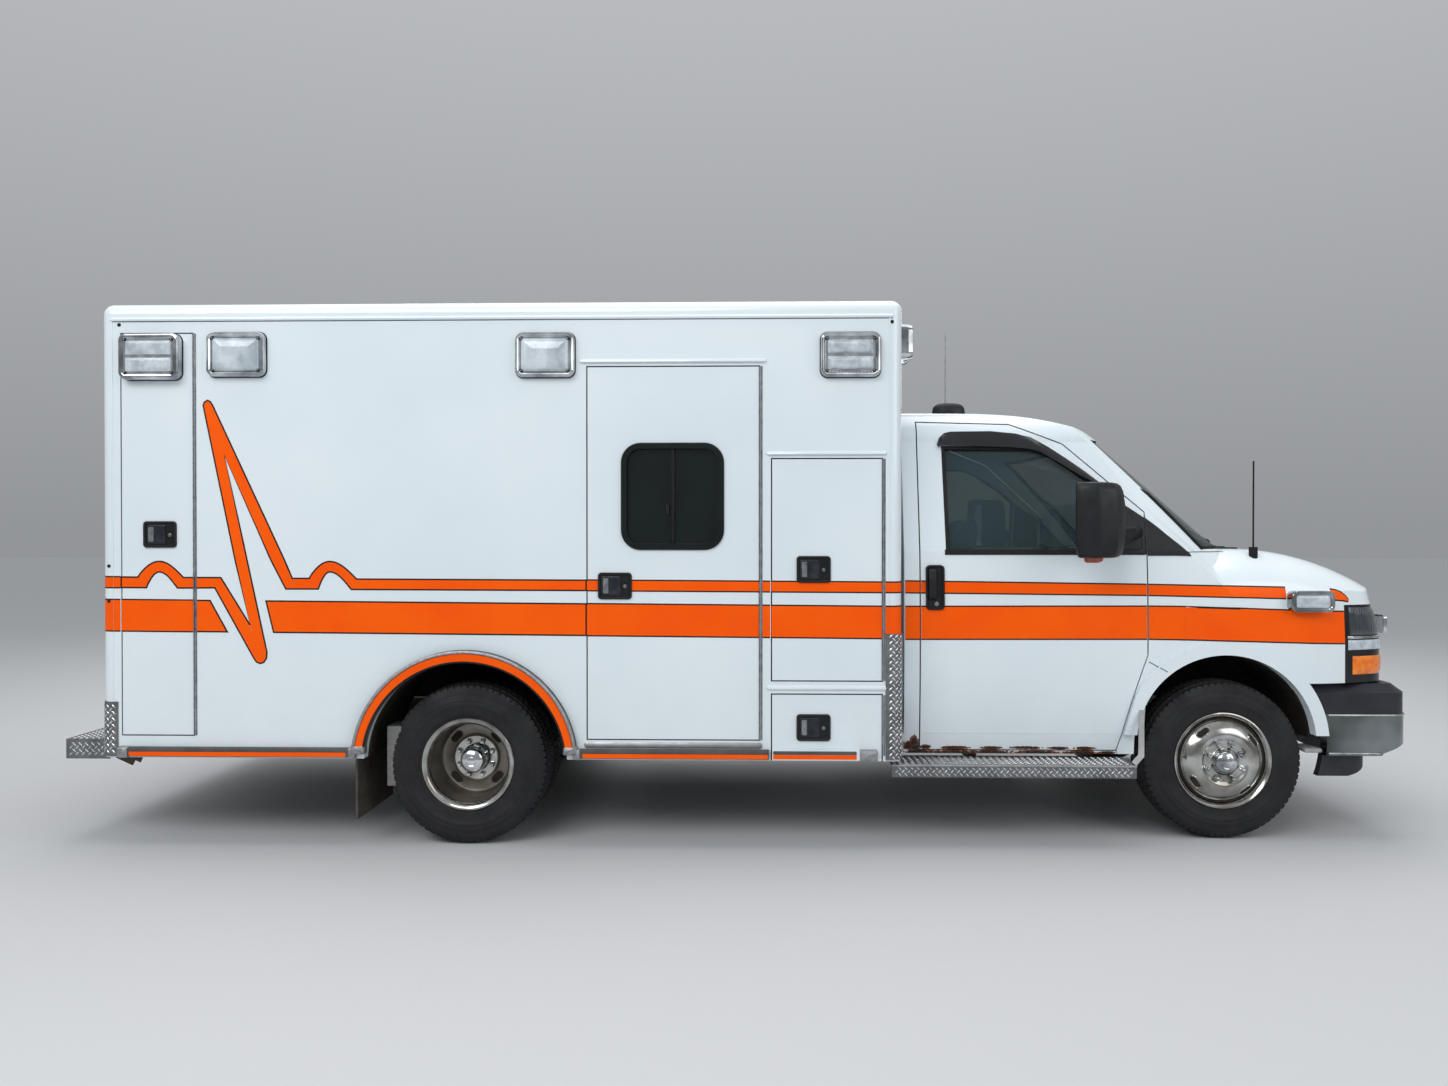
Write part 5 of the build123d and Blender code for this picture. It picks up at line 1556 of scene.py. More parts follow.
@dataclass
class ModuleTrim:
    """Extrusions, mouldings, hinges, latches, guards and seals of the patient module's long sides."""

    side: Side

    def __post_init__(self) -> None:
        self.wall = side_wall(self.side)
        self.kit = Kit(f"module_{self.side.word}")

    def moulding(self, z: float, ends: Point2, high: float, proud: float, label: str = "mouldings",
            finish: Finish = WHITE_ENAMEL) -> None:
        """Adds a level moulding with a sloping top and round ends.

        Args:
            z: height of its middle.
            ends: x of its two ends.
            high: its height.
            proud: how far it stands out.
            label: last word of the piece's name.
            finish: its material.
        """
        (start, end), half, rows = ends, high / 2, []
        section = [(-half, 0), (-half, proud * 0.7), (-half * 0.6, proud), (half * 0.2, proud * 0.9),
            (half, proud * 0.15), (half, 0)]
        for x, share in ((start, 0.3), (start + 4, 0.85), (start + 10, 1), (end - 10, 1), (end - 4, 0.85),
                (end, 0.3)):
            rows.append([self.wall.point(x, z + a * share, b * share) for a, b in section])
        self.kit.part(label, finish).rings(rows)

    def hinge(self, x: float, low: float, high: float) -> None:
        """Adds a piano hinge: leaf and knuckles about the door's axis.

        Args:
            x: place of the axis.
            low: height of its foot.
            high: height of its top.
        """
        hinges = self.kit.part("hinges", SATIN_STEEL)
        hinges.plate(self.wall, rounded(x + 7, (low + high) / 2, 8, high - low, 1, 1), 0, 1.4)
        count = int((high - low) / 40)
        step = (high - low) / count
        for i in range(count):
            at = self.wall.point(x - 2, low + i * step + 1, 2.6)
            hinges.lathe(at, (0, 0, 1), [(2.4, 0), (3.2, 0.8), (3.2, step - 2.8), (2.4, step - 2)], 10)

    def guard(self, label: str, centre_x: float, way: int, flat: float, low: float, high: float,
            back: float) -> None:
        """Wraps tread plate round an upright corner.

        Args:
            label: last word of the piece's name.
            centre_x: x of the corner's centre.
            way: 1 at the front, -1 at the rear.
            flat: width on the side.
            low: height of its foot.
            high: height of its top.
            back: width on the end wall.
        """
        s, turn = self.side.value, 54 * math.pi / 2
        total = flat + turn + back

        def place(a: float, b: float, height: float) -> Vector:
            radius, z = 54 + height, low + b
            if a < flat:
                return Vector((centre_x - way * (flat - a), s * (1145 + radius), z))
            if a < flat + turn:
                t = (a - flat) / 54
                return Vector((centre_x + way * radius * math.sin(t), s * (1145 + radius * math.cos(t)), z))
            return Vector((centre_x + way * radius, s * (1145 - (a - flat - turn)), z))

        stops = [0, *[flat + turn * i / 8 for i in range(9)], total]
        grids = [[[place(a, b, h) for b in (0, high - low)] for a in stops] for h in (0, -3.5)]
        self.kit.part(f"{label}_plate", TREAD_GROUND, smooth=50).skin(*grids)
        lozenges(self.kit.part(label, TREAD, smooth=50), place, total, high - low)

    def build(self) -> None:
        """Builds the trim of one side."""
        wall, kit, side = self.wall, self.kit, self.side
        s = side.value
        rail = [(x, s * 1195, 2427) for x in (-2905, -2880, 690)]
        kit.part("drip_rail", WHITE_ENAMEL).sweep(rail, [(-s * b, a) for a, b in HALF_ROUND])
        # A black strip under the drip rail: the rail's shadow, painted.
        kit.part("rail_gap", SEAL_AND_SHADE).plate(wall, rounded(-1108, 2417, 3590, 3.6, 1, 1), 0, 0.9)
        for x in POSTS:
            kit.part("corner_posts", WHITE_ENAMEL).plate(wall, rounded(x, 1440, 7, 1960, 3, 2), 0, 2.4, 1)
        self.moulding(1806, (116, 662), 17, 13)
        right = side is Side.RIGHT
        hinges = [(646, 510, 1780)]
        if right:
            self.moulding(2228, (-736, 118), 18, 14)
            self.moulding(739, (116, 662), 20, 9)
            self.moulding(474, (-716, 98), 26, 7, "threshold", EXTRUSION)
            hinges = [(88, 498, 2202), (646, 430, 706), (646, 770, 1780)]
        for x, low, high in (*hinges, (-2521, 508, 2362)):
            self.hinge(x, low, high)
        for x, z in ((-2869, 2403), (685, 2400), (-2922, 1290), (-2922, 1128)):
            skin = Skin("module_wall_right" if right else "module_wall_left", "module_rear_frame")
            at = tuple(skin.side(side, x, z) or wall.point(x, z))
            kit.part("plugs", SEAL_AND_SHADE).lathe(at, wall.out, [(8.5, -3), (8.5, 1), (7.4, 3), (4.5, 4.2),
                (0.3, 4.6)], 14)
        self.guard("rear_guard", -2912, -1, 32, 410, 662, 60)
        self.guard("front_guard", 684, 1, 26, 410, 984, 40)
        for body, x, z in LATCHES[side]:
            Latch(f"latch_{body}", wall, x, z, body).build()
        self.seals()
        kit.build()

    def seals(self) -> None:
        """Shows the black bulb seal inside each door gap."""
        for x0, x1, z0, z1 in OPENINGS[self.side]:
            outer = rounded((x0 + x1) / 2, (z0 + z1) / 2, x1 - x0 - 0.4, z1 - z0 - 0.4, 3, 2)
            self.kit.part("door_seals", SEAL_AND_SHADE).frame(self.wall, outer, 4.6, -16, -5, 1)


# ---------------------------------------------------------------- windows


@dataclass(frozen=True)
class BoxWindow:
    """A framed sliding window in one of the module's doors."""

    name: str
    wall: Wall
    a: float
    b: float
    body: str
    width: float
    height: float
    radius: float

    def build(self) -> None:
        """Adds the frame, its rubber, the meeting rail and the catch."""
        kit, wall = Kit(self.name, self.body), self.wall
        outer = rounded(self.a, self.b, self.width + 10, self.height + 10, self.radius + 5, 8)
        kit.part("frame", SATIN_BLACK, smooth=40).frame(wall, outer, 21, -14, 9, 3)
        inner = rounded(self.a, self.b, self.width - 30, self.height - 30, self.radius - 15, 8)
        kit.part("rubber", SEAL_AND_SHADE, smooth=40).frame(wall, inner, 8, -14, 4, 2)
        rail = rounded(self.a + 2, self.b, 15, self.height - 30, 2, 1)
        kit.part("meeting_rail", SATIN_BLACK).plate(wall, rail, -14, 3, 1.5)
        lip = rounded(self.a - 7, self.b, 4, self.height - 32, 1, 1)
        kit.part("meeting_rail", SATIN_BLACK).plate(wall, lip, -14, 6, 1)
        sill = rounded(self.a, self.b - self.height / 2 + 22, self.width - 70, 9, 2, 1)
        kit.part("sill_track", SATIN_BLACK).plate(wall, sill, -14, 0, 1)
        catch = rounded(self.a - 22, self.b - 60, 16, 44, 5, 3)
        kit.part("catch", BLACK_MOULDING).plate(wall, catch, -12, 5, 2)
        kit.build()


# ---------------------------------------------------------------- wheels and tyres


@dataclass(frozen=True)
class Tyre:
    """One road tyre with ribs, grooves, sipes and shoulder blocks, about the origin, axis along Y."""

    radius: float = 372.0
    pitches: int = 72

    def section(self) -> list[Point2]:
        """Draws the side wall from the bead to the shoulder as distance from the middle and radius.

        Returns:
            The side wall's points.
        """
        return [(78, 206), (88, 209), (94, 213), (98, 217), (99, 223), (101, 226), (102, 230), (104.5, 232),
            (105.5, 240), (106.5, 241), (107, 250), (109, 262), (110.5, 270), (111.5, 272), (111.8, 284),
            (111.2, 287), (110.4, 289), (110.2, 296), (111, 298), (110.6, 301), (109.6, 303), (108.5, 318),
            (107, 322), (107.6, 326), (106.4, 332), (104.6, 340)]

    def mesh(self) -> bpy.types.Mesh:
        """Builds the tyre's mesh.

        Returns:
            The mesh, shared by the tyres.
        """
        half, steps = self.section(), self.pitches * 6
        ribs = [-0.98, -0.90, -0.72, -0.66, -0.62, -0.56, -0.40, -0.24, -0.18, -0.14, -0.08, 0.0]
        across = ribs + [-v for v in reversed(ribs[:-1])]
        rows: list[list[Vector]] = []
        for i, turn in enumerate(turns(steps)):
            row = [self._at(-y, r, turn) for y, r in half]
            row.append(self._at(-100, 352 - (8 if i % 6 == 5 else 0), turn))
            for share in across:
                row.append(self._at(96 * share, self._tread(share, i), turn))
            row.append(self._at(100, 352 - (8 if (i + 3) % 6 == 5 else 0), turn))
            row += [self._at(y, r, turn) for y, r in reversed(half)]
            rows.append(row)
        return Shape().rings(rows, round_trip=True).mesh("tyre", TYRE_WALL, 28)

    def _tread(self, share: float, step: int) -> float:
        """Gives the tread's radius at a place across it and a step round it.

        Args:
            share: place across the tread, -1 to 1.
            step: step round the tyre.

        Returns:
            The radius.
        """
        crown = self.radius - 9 * abs(share) ** 2.6
        size = abs(share)
        phase = (step + (3 if share > 0 else 0) + int(size * 6)) % 6
        if 0.58 <= size <= 0.665 or 0.12 <= size <= 0.19 or size > 0.7 and phase == 5:
            return crown - 9
        return crown - 5 if phase == 5 else crown

    def _at(self, y: float, radius: float, turn: float) -> Vector:
        """Places a point of the tyre."""
        return Vector((radius * math.cos(turn), y, radius * math.sin(turn)))

    def pieces(self) -> list[bpy.types.Object]:
        """Places the six tyres.

        Returns:
            The pieces.
        """
        mesh, made = self.mesh(), []
        for side in Side:
            word, twin = side.word, f"rear_twin_tyres_{side.word}"
            spots = [(f"front_tyre_{word}", f"front_wheel_{word}", FRONT_AXLE_X, 874, f"front_tyre_{word}"),
                (f"rear_outer_tyre_{word}", f"rear_wheels_{word}", REAR_AXLE_X, 1053, twin),
                (f"rear_inner_tyre_{word}", f"rear_wheels_{word}", REAR_AXLE_X, 791, twin)]
            for name, body, x, y, node in spots:
                piece = link(f"{name}_tread", mesh)
                piece.location = Vector((x, side.value * y, AXLE_Z)) * MM
                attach(piece, body)
                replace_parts(piece, node)
                LOG.info("%s rides on %s", piece.name, body)
                made.append(piece)
        return made


@dataclass
class Wheel:
    """One wheel seen from its outer side: rim, stainless cover, nuts and hub cap."""

    side: Side
    rear: bool

    def __post_init__(self) -> None:
        """Finds the wheel's place and bodies."""
        word = self.side.word
        self.body = f"rear_wheels_{word}" if self.rear else f"front_wheel_{word}"
        self.node = f"rear_twin_wheels_{word}" if self.rear else f"front_wheel_{word}"
        self.x = REAR_AXLE_X if self.rear else FRONT_AXLE_X
        self.kit = Kit(f"{'rear' if self.rear else 'front'}_wheel_{word}", self.body)

    def turned(self, label: str, finish: Finish, profile: Sequence[Point2], steps: int = 72,
            closed: bool = True) -> None:
        """Turns a profile of radius and distance from the vehicle's middle, as a ring where it is closed."""
        middle, axis = (self.x, 0, AXLE_Z), (0, self.side.value, 0)
        self.kit.part(label, finish, smooth=30).lathe(middle, axis, profile, steps, closed)

    def holes(self, finish: Finish, radius: float, size: Point2, out: float, start: float,
            lean: float) -> None:
        """Adds four hand holes with a rolled edge in the disc, each closed by a black plate that paints the
        shade seen through it.

        Args:
            finish: material of the rolled edge.
            radius: distance of the holes from the axle.
            size: length round the wheel and height of a hole.
            out: distance from the vehicle's middle.
            start: angle of the first one, in degrees.
            lean: how far the hole's outer edge lies below its inner one.
        """
        s = self.side.value
        for i in range(4):
            turn = math.radians(start + 90 * i)
            way = Vector((math.cos(turn), 0, math.sin(turn)))
            around = Vector((-math.sin(turn), 0, math.cos(turn)))
            up = way - Vector((0, s * lean / 14, 0))
            face = Vector((0, s, 0)) + way * lean / 14
            centre = Vector((self.x, s * out, AXLE_Z)) + way * radius
            wall = Wall(centre, around, up.normalized(), face.normalized())
            ovals = [rounded(0, 0, size[0] + d, size[1] + d, (size[1] + d) / 2, 8) for d in (10, 5, 0, -3)]
            levels = [(ovals[0], -3), (ovals[1], 3), (ovals[2], 2.4), (ovals[3], -1), (ovals[3], -6)]
            self.kit.part("hole_rims", finish, smooth=60).stack(wall, levels, round_trip=True)
            # The black plate in the hole: the shade seen through it, painted.
            self.kit.part("hand_holes", WELL_AND_HOLE_SHADE, smooth=60).plate(wall, ovals[2], -6, 1.4)

    def nuts(self, radius: float, out: float, length: float, size: float) -> None:
        """Adds the eight chrome nut covers.

        Args:
            radius: distance from the axle.
            out: distance from the vehicle's middle.
            length: length of a cover.
            size: its half width.
        """
        s = self.side.value
        for i in range(8):
            turn = math.radians(22.5 + 45 * i)
            at = (self.x + radius * math.cos(turn), s * out, AXLE_Z + radius * math.sin(turn))
            profile = [(size + 3, 0), (size + 3, 2.5), (size, 4), (size * 0.96, length * 0.75),
                (size * 0.7, length * 0.95), (0.4, length)]
            self.kit.part("nuts", CHROME, smooth=25).lathe(at, (0, s, 0), profile, 6)

    def front(self) -> None:
        """Builds a front wheel, whose disc stands out past the tyre."""
        self.turned("rim", STAINLESS, [(206, 770), (222, 774), (224, 782), (206, 790), (196, 812),
            (196, 940), (206, 958), (222, 966), (227, 974), (226, 981), (221, 983), (213, 977), (206, 968),
            (199, 952), (190, 925), (190, 800)])
        self.turned("shadow_gap", WHEEL_DARK, [(200, 946), (188, 946), (188, 958), (201, 962)])
        self.turned("cover", STAINLESS, [(192, 950), (192, 964), (188, 970), (182, 976), (172, 985),
            (160, 995), (146, 1002), (132, 1006), (116, 1007), (106, 1004), (99, 998), (94, 997), (66, 998),
            (60, 1003), (56, 1010), (52, 1010), (52, 985), (180, 950)], 96)
        self.turned("hub_cap", CHROME, [(54, 994), (54, 1014), (51, 1022), (44, 1030), (30, 1035),
            (26, 1033), (22, 1034), (10, 1037), (0.3, 1037)], 48, False)
        self.holes(STAINLESS, 166, (62, 28), 990.5, 36, 11.6)
        self.nuts(82.5, 998, 30, 12.5)

    def back(self) -> None:
        """Builds a twin rear wheel: deep dish, polished lip, hub dome with rings."""
        for plane in (1053, 791):
            edge = [(206, plane - 96), (212, plane - 92), (214, plane - 84), (206, plane - 76),
                (197, plane - 60), (197, plane + 60), (204, plane + 78), (211, plane + 86),
                (216, plane + 94), (216, plane + 101), (212, plane + 105), (204, plane + 106),
                (196, plane + 102), (189, plane + 94), (185, plane + 80), (184, plane + 62),
                (184, plane - 60)]
            self.turned("rims", STAINLESS, edge, 96)
        self.turned("dish", DISH_STEEL, [(183, 1130), (182, 1108), (180, 1050), (176, 1012), (170, 990),
            (163, 981), (155, 978), (116, 978), (110, 981), (106, 985), (66, 985), (66, 945), (190, 945),
            (190, 1120)], 96)
        self.turned("inner_disc", DISH_STEEL, [(190, 905), (170, 915), (60, 917), (60, 905), (188, 890)], 64)
        self.turned("bolt_ring", STAINLESS, [(108, 980), (107, 988), (101, 992), (66, 992), (62, 986),
            (62, 980)], 96)
        self.turned("hub", CHROME, [(62, 984), (62, 998), (59, 1004), (58, 1036), (62, 1040), (62, 1048),
            (57, 1052), (56, 1070), (52, 1082), (42, 1090), (24, 1094), (20, 1092), (13, 1095), (0.3, 1095)],
            48, False)
        self.holes(DISH_STEEL, 137, (64, 34), 978, 45, 0)
        self.nuts(84, 990, 28, 12.5)

    def build(self) -> None:
        """Builds the wheel and lets it stand for its solid."""
        (self.back if self.rear else self.front)()
        for piece in self.kit.build():
            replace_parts(piece, self.node)


# ---------------------------------------------------------------- lower trim


@dataclass
class LowerTrim:
    """Rub rails, arch rings, mud flaps and running boards."""

    side: Side

    def __post_init__(self) -> None:
        self.wall = side_wall(self.side)
        self.kit = Kit(f"lower_{self.side.word}")

    def rails(self) -> None:
        """Lays orange inserts in the rub rails and caps their ends."""
        wall, kit = self.wall, self.kit
        right = self.side is Side.RIGHT
        runs = [("a", -2836, -1790, "vehicle"), ("b", -740, 128 if right else 545, "vehicle")]
        if right:
            runs.append(("c", 143, 545, "right_low_locker_door"))
        for label, start, end, body in runs:
            inner = (start + (20 if label != "c" else 4), end - (20 if label != "b" or not right else 4))
            middle, width = (inner[0] + inner[1]) / 2, inner[1] - inner[0]
            kit.part(f"rail_insert_{label}", ORANGE_FILM, body).plate(wall,
                rounded(middle, 427, width, 20, 2, 2), 27, 29.6, 0.8)
            kit.part(f"rail_lip_{label}", GREY_RUBBER, body).plate(wall,
                rounded(middle, 446, width, 16, 4, 3), 27, 31, 2)
            for x, way in ((start, -1), (end, 1)):
                if label == "c" and way < 0 or label == "b" and right and way > 0:
                    continue
                outer = way < 0 if label == "a" else way > 0
                out, width = ((12, 52) if label == "a" else (34, 84)) if outer else (8, 34)
                cap = rounded(x + way * out, 433, width, 52, 8, 4)
                part = kit.part(f"rail_caps_{label}", CASTING, body, 40)
                part.stack(wall, [(cap, 0), (cap, 22), (shifted(cap, -3), 31), (shifted(cap, -8), 34)])
                at = wall.point(x + way * out, 433, 33.5)
                part.lathe(at, wall.out, [(6.5, 0), (6, 2), (3, 3), (2.8, 1), (0.2, 1)], 12)

    def rings(self) -> None:
        """Lays the orange band of the fender ring, its bead and its feet."""
        wall, kit = self.wall, self.kit
        centre = (REAR_AXLE_X, 385)
        foot = math.degrees(math.asin((463 - 385) / 493))
        outer, inner = arc(centre, 505, foot, 180 - foot, 48), arc(centre, 473, foot + 0.6, 179.4 - foot, 48)
        rows = [[wall.point(*p, 32), wall.point(*p, 36), wall.point(*q, 36), wall.point(*q, 32)] for p,
            q in zip(outer, inner)]
        kit.part("ring_band", ORANGE_FILM, smooth=40).rings(rows)
        for radius, finish, label in ((514, CASTING, "ring_bead"), (468, SEAL_AND_SHADE, "ring_inner_bead")):
            path = [wall.point(a, b, 34) for a, b in arc(centre, radius, foot, 180 - foot, 48)]
            kit.part(label, finish, smooth=60).sweep(path, disc(0, 0, 8 if radius > 500 else 4, 10), wall.out)
        for way in (-1, 1):
            cap = rounded(REAR_AXLE_X + way * 488, 450, 66, 40, 6, 4)
            part = kit.part("ring_feet", CASTING, smooth=40)
            part.stack(wall, [(cap, 0), (cap, 30), (shifted(cap, -4), 37), (shifted(cap, -8), 38.5)])
            for b in (-14, 14):
                at = wall.point(REAR_AXLE_X + way * 488 + b, 450, 38)
                part.lathe(at, wall.out, [(5.5, 0), (5, 2), (2.6, 2.6), (2.4, 1), (0.2, 1)], 10)

    def flaps(self) -> None:
        """Adds the flap's clamp bar with bolts and its edge ribs."""
        s, kit = self.side.value, self.kit
        kit.part("flap_clamp", EXTRUSION).block((-1783, s * 694, 596), (-1776, s * 1134, 634), 1.5)
        bolt = [(9, 0), (9, 5), (6, 6.5), (0.3, 6.5)]
        for i in range(5):
            kit.part("flap_clamp", EXTRUSION).lathe((-1783, s * (730 + i * 92), 615), (-1, 0, 0), bolt, 6)
        for i in range(9):
            y = s * (712 + i * 56)
            kit.part("flap_ribs", FLAP).block((-1780, y, 150), (-1775, y + s * 5, 386), 1)
        kit.part("flap_stay", GALVANISED).block((-1640, s * 1148, 270), (-1574, s * 1154, 547), 1.5)
        kit.part("flap_stay", GALVANISED).block((-1640, s * 1000, 541), (-1574, s * 1150, 547), 1.5)

    def boards(self) -> None:
        """Dresses the running board: ribbed top, tread-plate face and arch strip."""
        s, kit = self.side.value, self.kit
        lozenges(kit.part("board_top", TREAD), level(382, s).from_corner(694, 948), 1102, 208)
        nose = [(x, s * 1163, 379) for x in (690, 1800)]
        kit.part("board_nose", EXTRUSION, smooth=50).sweep(nose, disc(0, 0, 6.5, 10))
        sheet = [(940, 376), (940, 382), (1165, 382), (1165, 326), (1159, 326), (1159, 376)]
        rows = [[Vector((x, s * y, z)) for y, z in sheet] for x in (690, 1800)]
        kit.part("board_sheet", TREAD_GROUND, smooth=30).rings(rows)
        lozenges(kit.part("board_face", TREAD), side_wall(self.side, 1165).from_corner(694, 328), 1102, 48,
            28)
        strip = [(1798, 386), (1812, 400), (1836, 420), (1846, 470), (1862, 560), (1882, 640), (1896, 700)]
        path = [(x, s * (1136 - 0.52 * (z - 386)), z) for x, z in strip]
        kit.part("arch_strip", EXTRUSION, smooth=50).sweep(path, [(-13, -1), (13, -1), (13, 1), (-13, 1)],
            (0, s, 0.5))

    def build(self) -> None:
        """Builds the lower trim of one side."""
        self.rails()
        self.rings()
        self.flaps()
        self.boards()
        for piece in self.kit.build():
            if "board" in piece.name:
                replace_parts(piece, "running_boards")


@dataclass
class RearEnd:
    """Rear step, doors' hardware, licence plate, reflectors and seams of the rear wall."""

    kit: Kit = field(default_factory=lambda: Kit("rear_end"))

    def step(self) -> None:
        """Dresses the rear step with tread plate and brackets."""
        part = self.kit.part
        lozenges(part("step_top", TREAD), level(474, x=-3175).from_corner(6, -1114), 200, 2228)
        face = Wall((-3175, -1120, 382), (0, 1, 0), (0, 0, 1), (-1, 0, 0))
        lozenges(part("step_face", TREAD), face.point, 2240, 92)
        for y, dy in product((-870, 870), (-34, 34)):
            bracket = [(-3160, y + dy, 384), (-3090, y + dy, 380), (-2972, y + dy, 326)]
            part("step_brackets", CHASSIS_BLACK).sweep(bracket, rounded(0, 0, 8, 46, 1, 1))
        for s in (-1, 1):
            end = Wall((-3172, s * 1120, 384), (1, 0, 0), (0, 0, 1), (0, s, 0))
            lozenges(part("step_ends", TREAD), end.point, 204, 88)

    def doors(self) -> None:
        """Adds latches, hinges, hold-open catches, kick plates and grab bars to the rear doors."""
        part = self.kit.part
        for side in Side:
            s, word, body = side.value, side.word, f"rear_door_{side.word}"
            Latch(f"rear_latch_{word}", REAR_WALL, s * 112, 1286, body).build()
            kick = rounded(s * 318, 832, 610, 236, 8, 4)
            part(f"kick_base_{word}", TREAD_GROUND, body).plate(REAR_WALL, kick, 0, 2, 0.6)
            lozenges(part(f"kick_plate_{word}", TREAD, body), REAR_WALL.moved(2).from_corner(s * 318 - 300,
                718), 600, 226)
            for z in (830, 1220, 1610, 2120):
                part("hinge_leaves", SATIN_STEEL).plate(REAR_WALL, rounded(s * 668, z, 46, 86, 8, 3), 0, 3, 1)
                barrel = [(4, 0), (5, 1), (5, 85), (4, 86)]
                part("hinge_leaves", SATIN_STEEL).lathe((-2967, s * 637, z - 43), (0, 0, 1), barrel, 12)
            part(f"catches_{word}", BLACK_MOULDING, body).plate(REAR_WALL,
                rounded(s * 560, 2200, 60, 34, 8, 4), 0, 14, 4)
            grip = [(x, s * 1010, z) for x, z in ((-2962, 1330), (-3002, 1338), (-3012, 1360), (-3012, 1880),
                (-3002, 1902), (-2962, 1910))]
            bars = part("grab_bars", SATIN_STEEL, smooth=60).tube(grip, 13, 12, (0, 1, 0))
            for z in (1330, 1910):
                bars.lathe((-2962, s * 1010, z), (-1, 0, 0), [(26, 0), (25, 5), (14, 8), (13, 14)], 20)
            BoxWindow(f"rear_window_trim_{word}", REAR_WALL, s * 325, 1609.5, body, 390, 479, 70).build()
            for z in (560, 640):
                spot = REAR_WALL.point(s * 1010, z)
                part("reflectors", RED_LENS).lathe(spot, (-1, 0, 0), [(34, 0), (33, 6), (28, 9), (0.4, 9)],
                    28)
        part("door_seal", SEAL_AND_SHADE).frame(REAR_WALL, rounded(0, 1485, 1279, 1569, 6, 3), 5, -16, -5, 1)
        part("threshold", EXTRUSION).plate(REAR_WALL, rounded(0, 686, 1290, 22, 3, 2), 0, 8, 2)
        plate = rounded(380, 595, 305, 152, 10, 4)
        part("blank_plate", WHITE_ENAMEL).plate(REAR_WALL, plate, 2, 4, 0.6)
        part("plate_holder", SATIN_BLACK).frame(REAR_WALL, shifted(plate, 7), 9, 0, 6, 1.5)
        for a, b in product((-88.9, 88.9), (-60.3, 60.3)):
            spot, bolt = REAR_WALL.point(380 + a, 595 + b, 3.6), [(6, 0), (5.6, 2.6), (3, 3.6), (0.3, 3.6)]
            part("plate_bolts", SATIN_STEEL).lathe(spot, (-1, 0, 0), bolt, 6)
        part("plate_lamp", CHROME).plate(REAR_WALL, rounded(380, 688, 96, 14, 4, 3), 0, 24, 4)

    def build(self) -> None:
        """Builds the rear end."""
        self.step()
        self.doors()
        rail = [(-2962, y, 2427) for y in (-1140, 1140)]
        self.kit.part("drip_rail", WHITE_ENAMEL).sweep(rail, [(b, a) for a, b in HALF_ROUND])
        self.kit.build()


# ---------------------------------------------------------------- cab


GLASS_UP = (0.66, 0, 0.75)  # the way out of the windscreen
DOOR_GLASS = [(972, 1352), (966, 1857), (1390, 1852), (1479, 1823), (1555, 1772), (1640, 1712), (1726, 1640),
    (1726, 1352)]


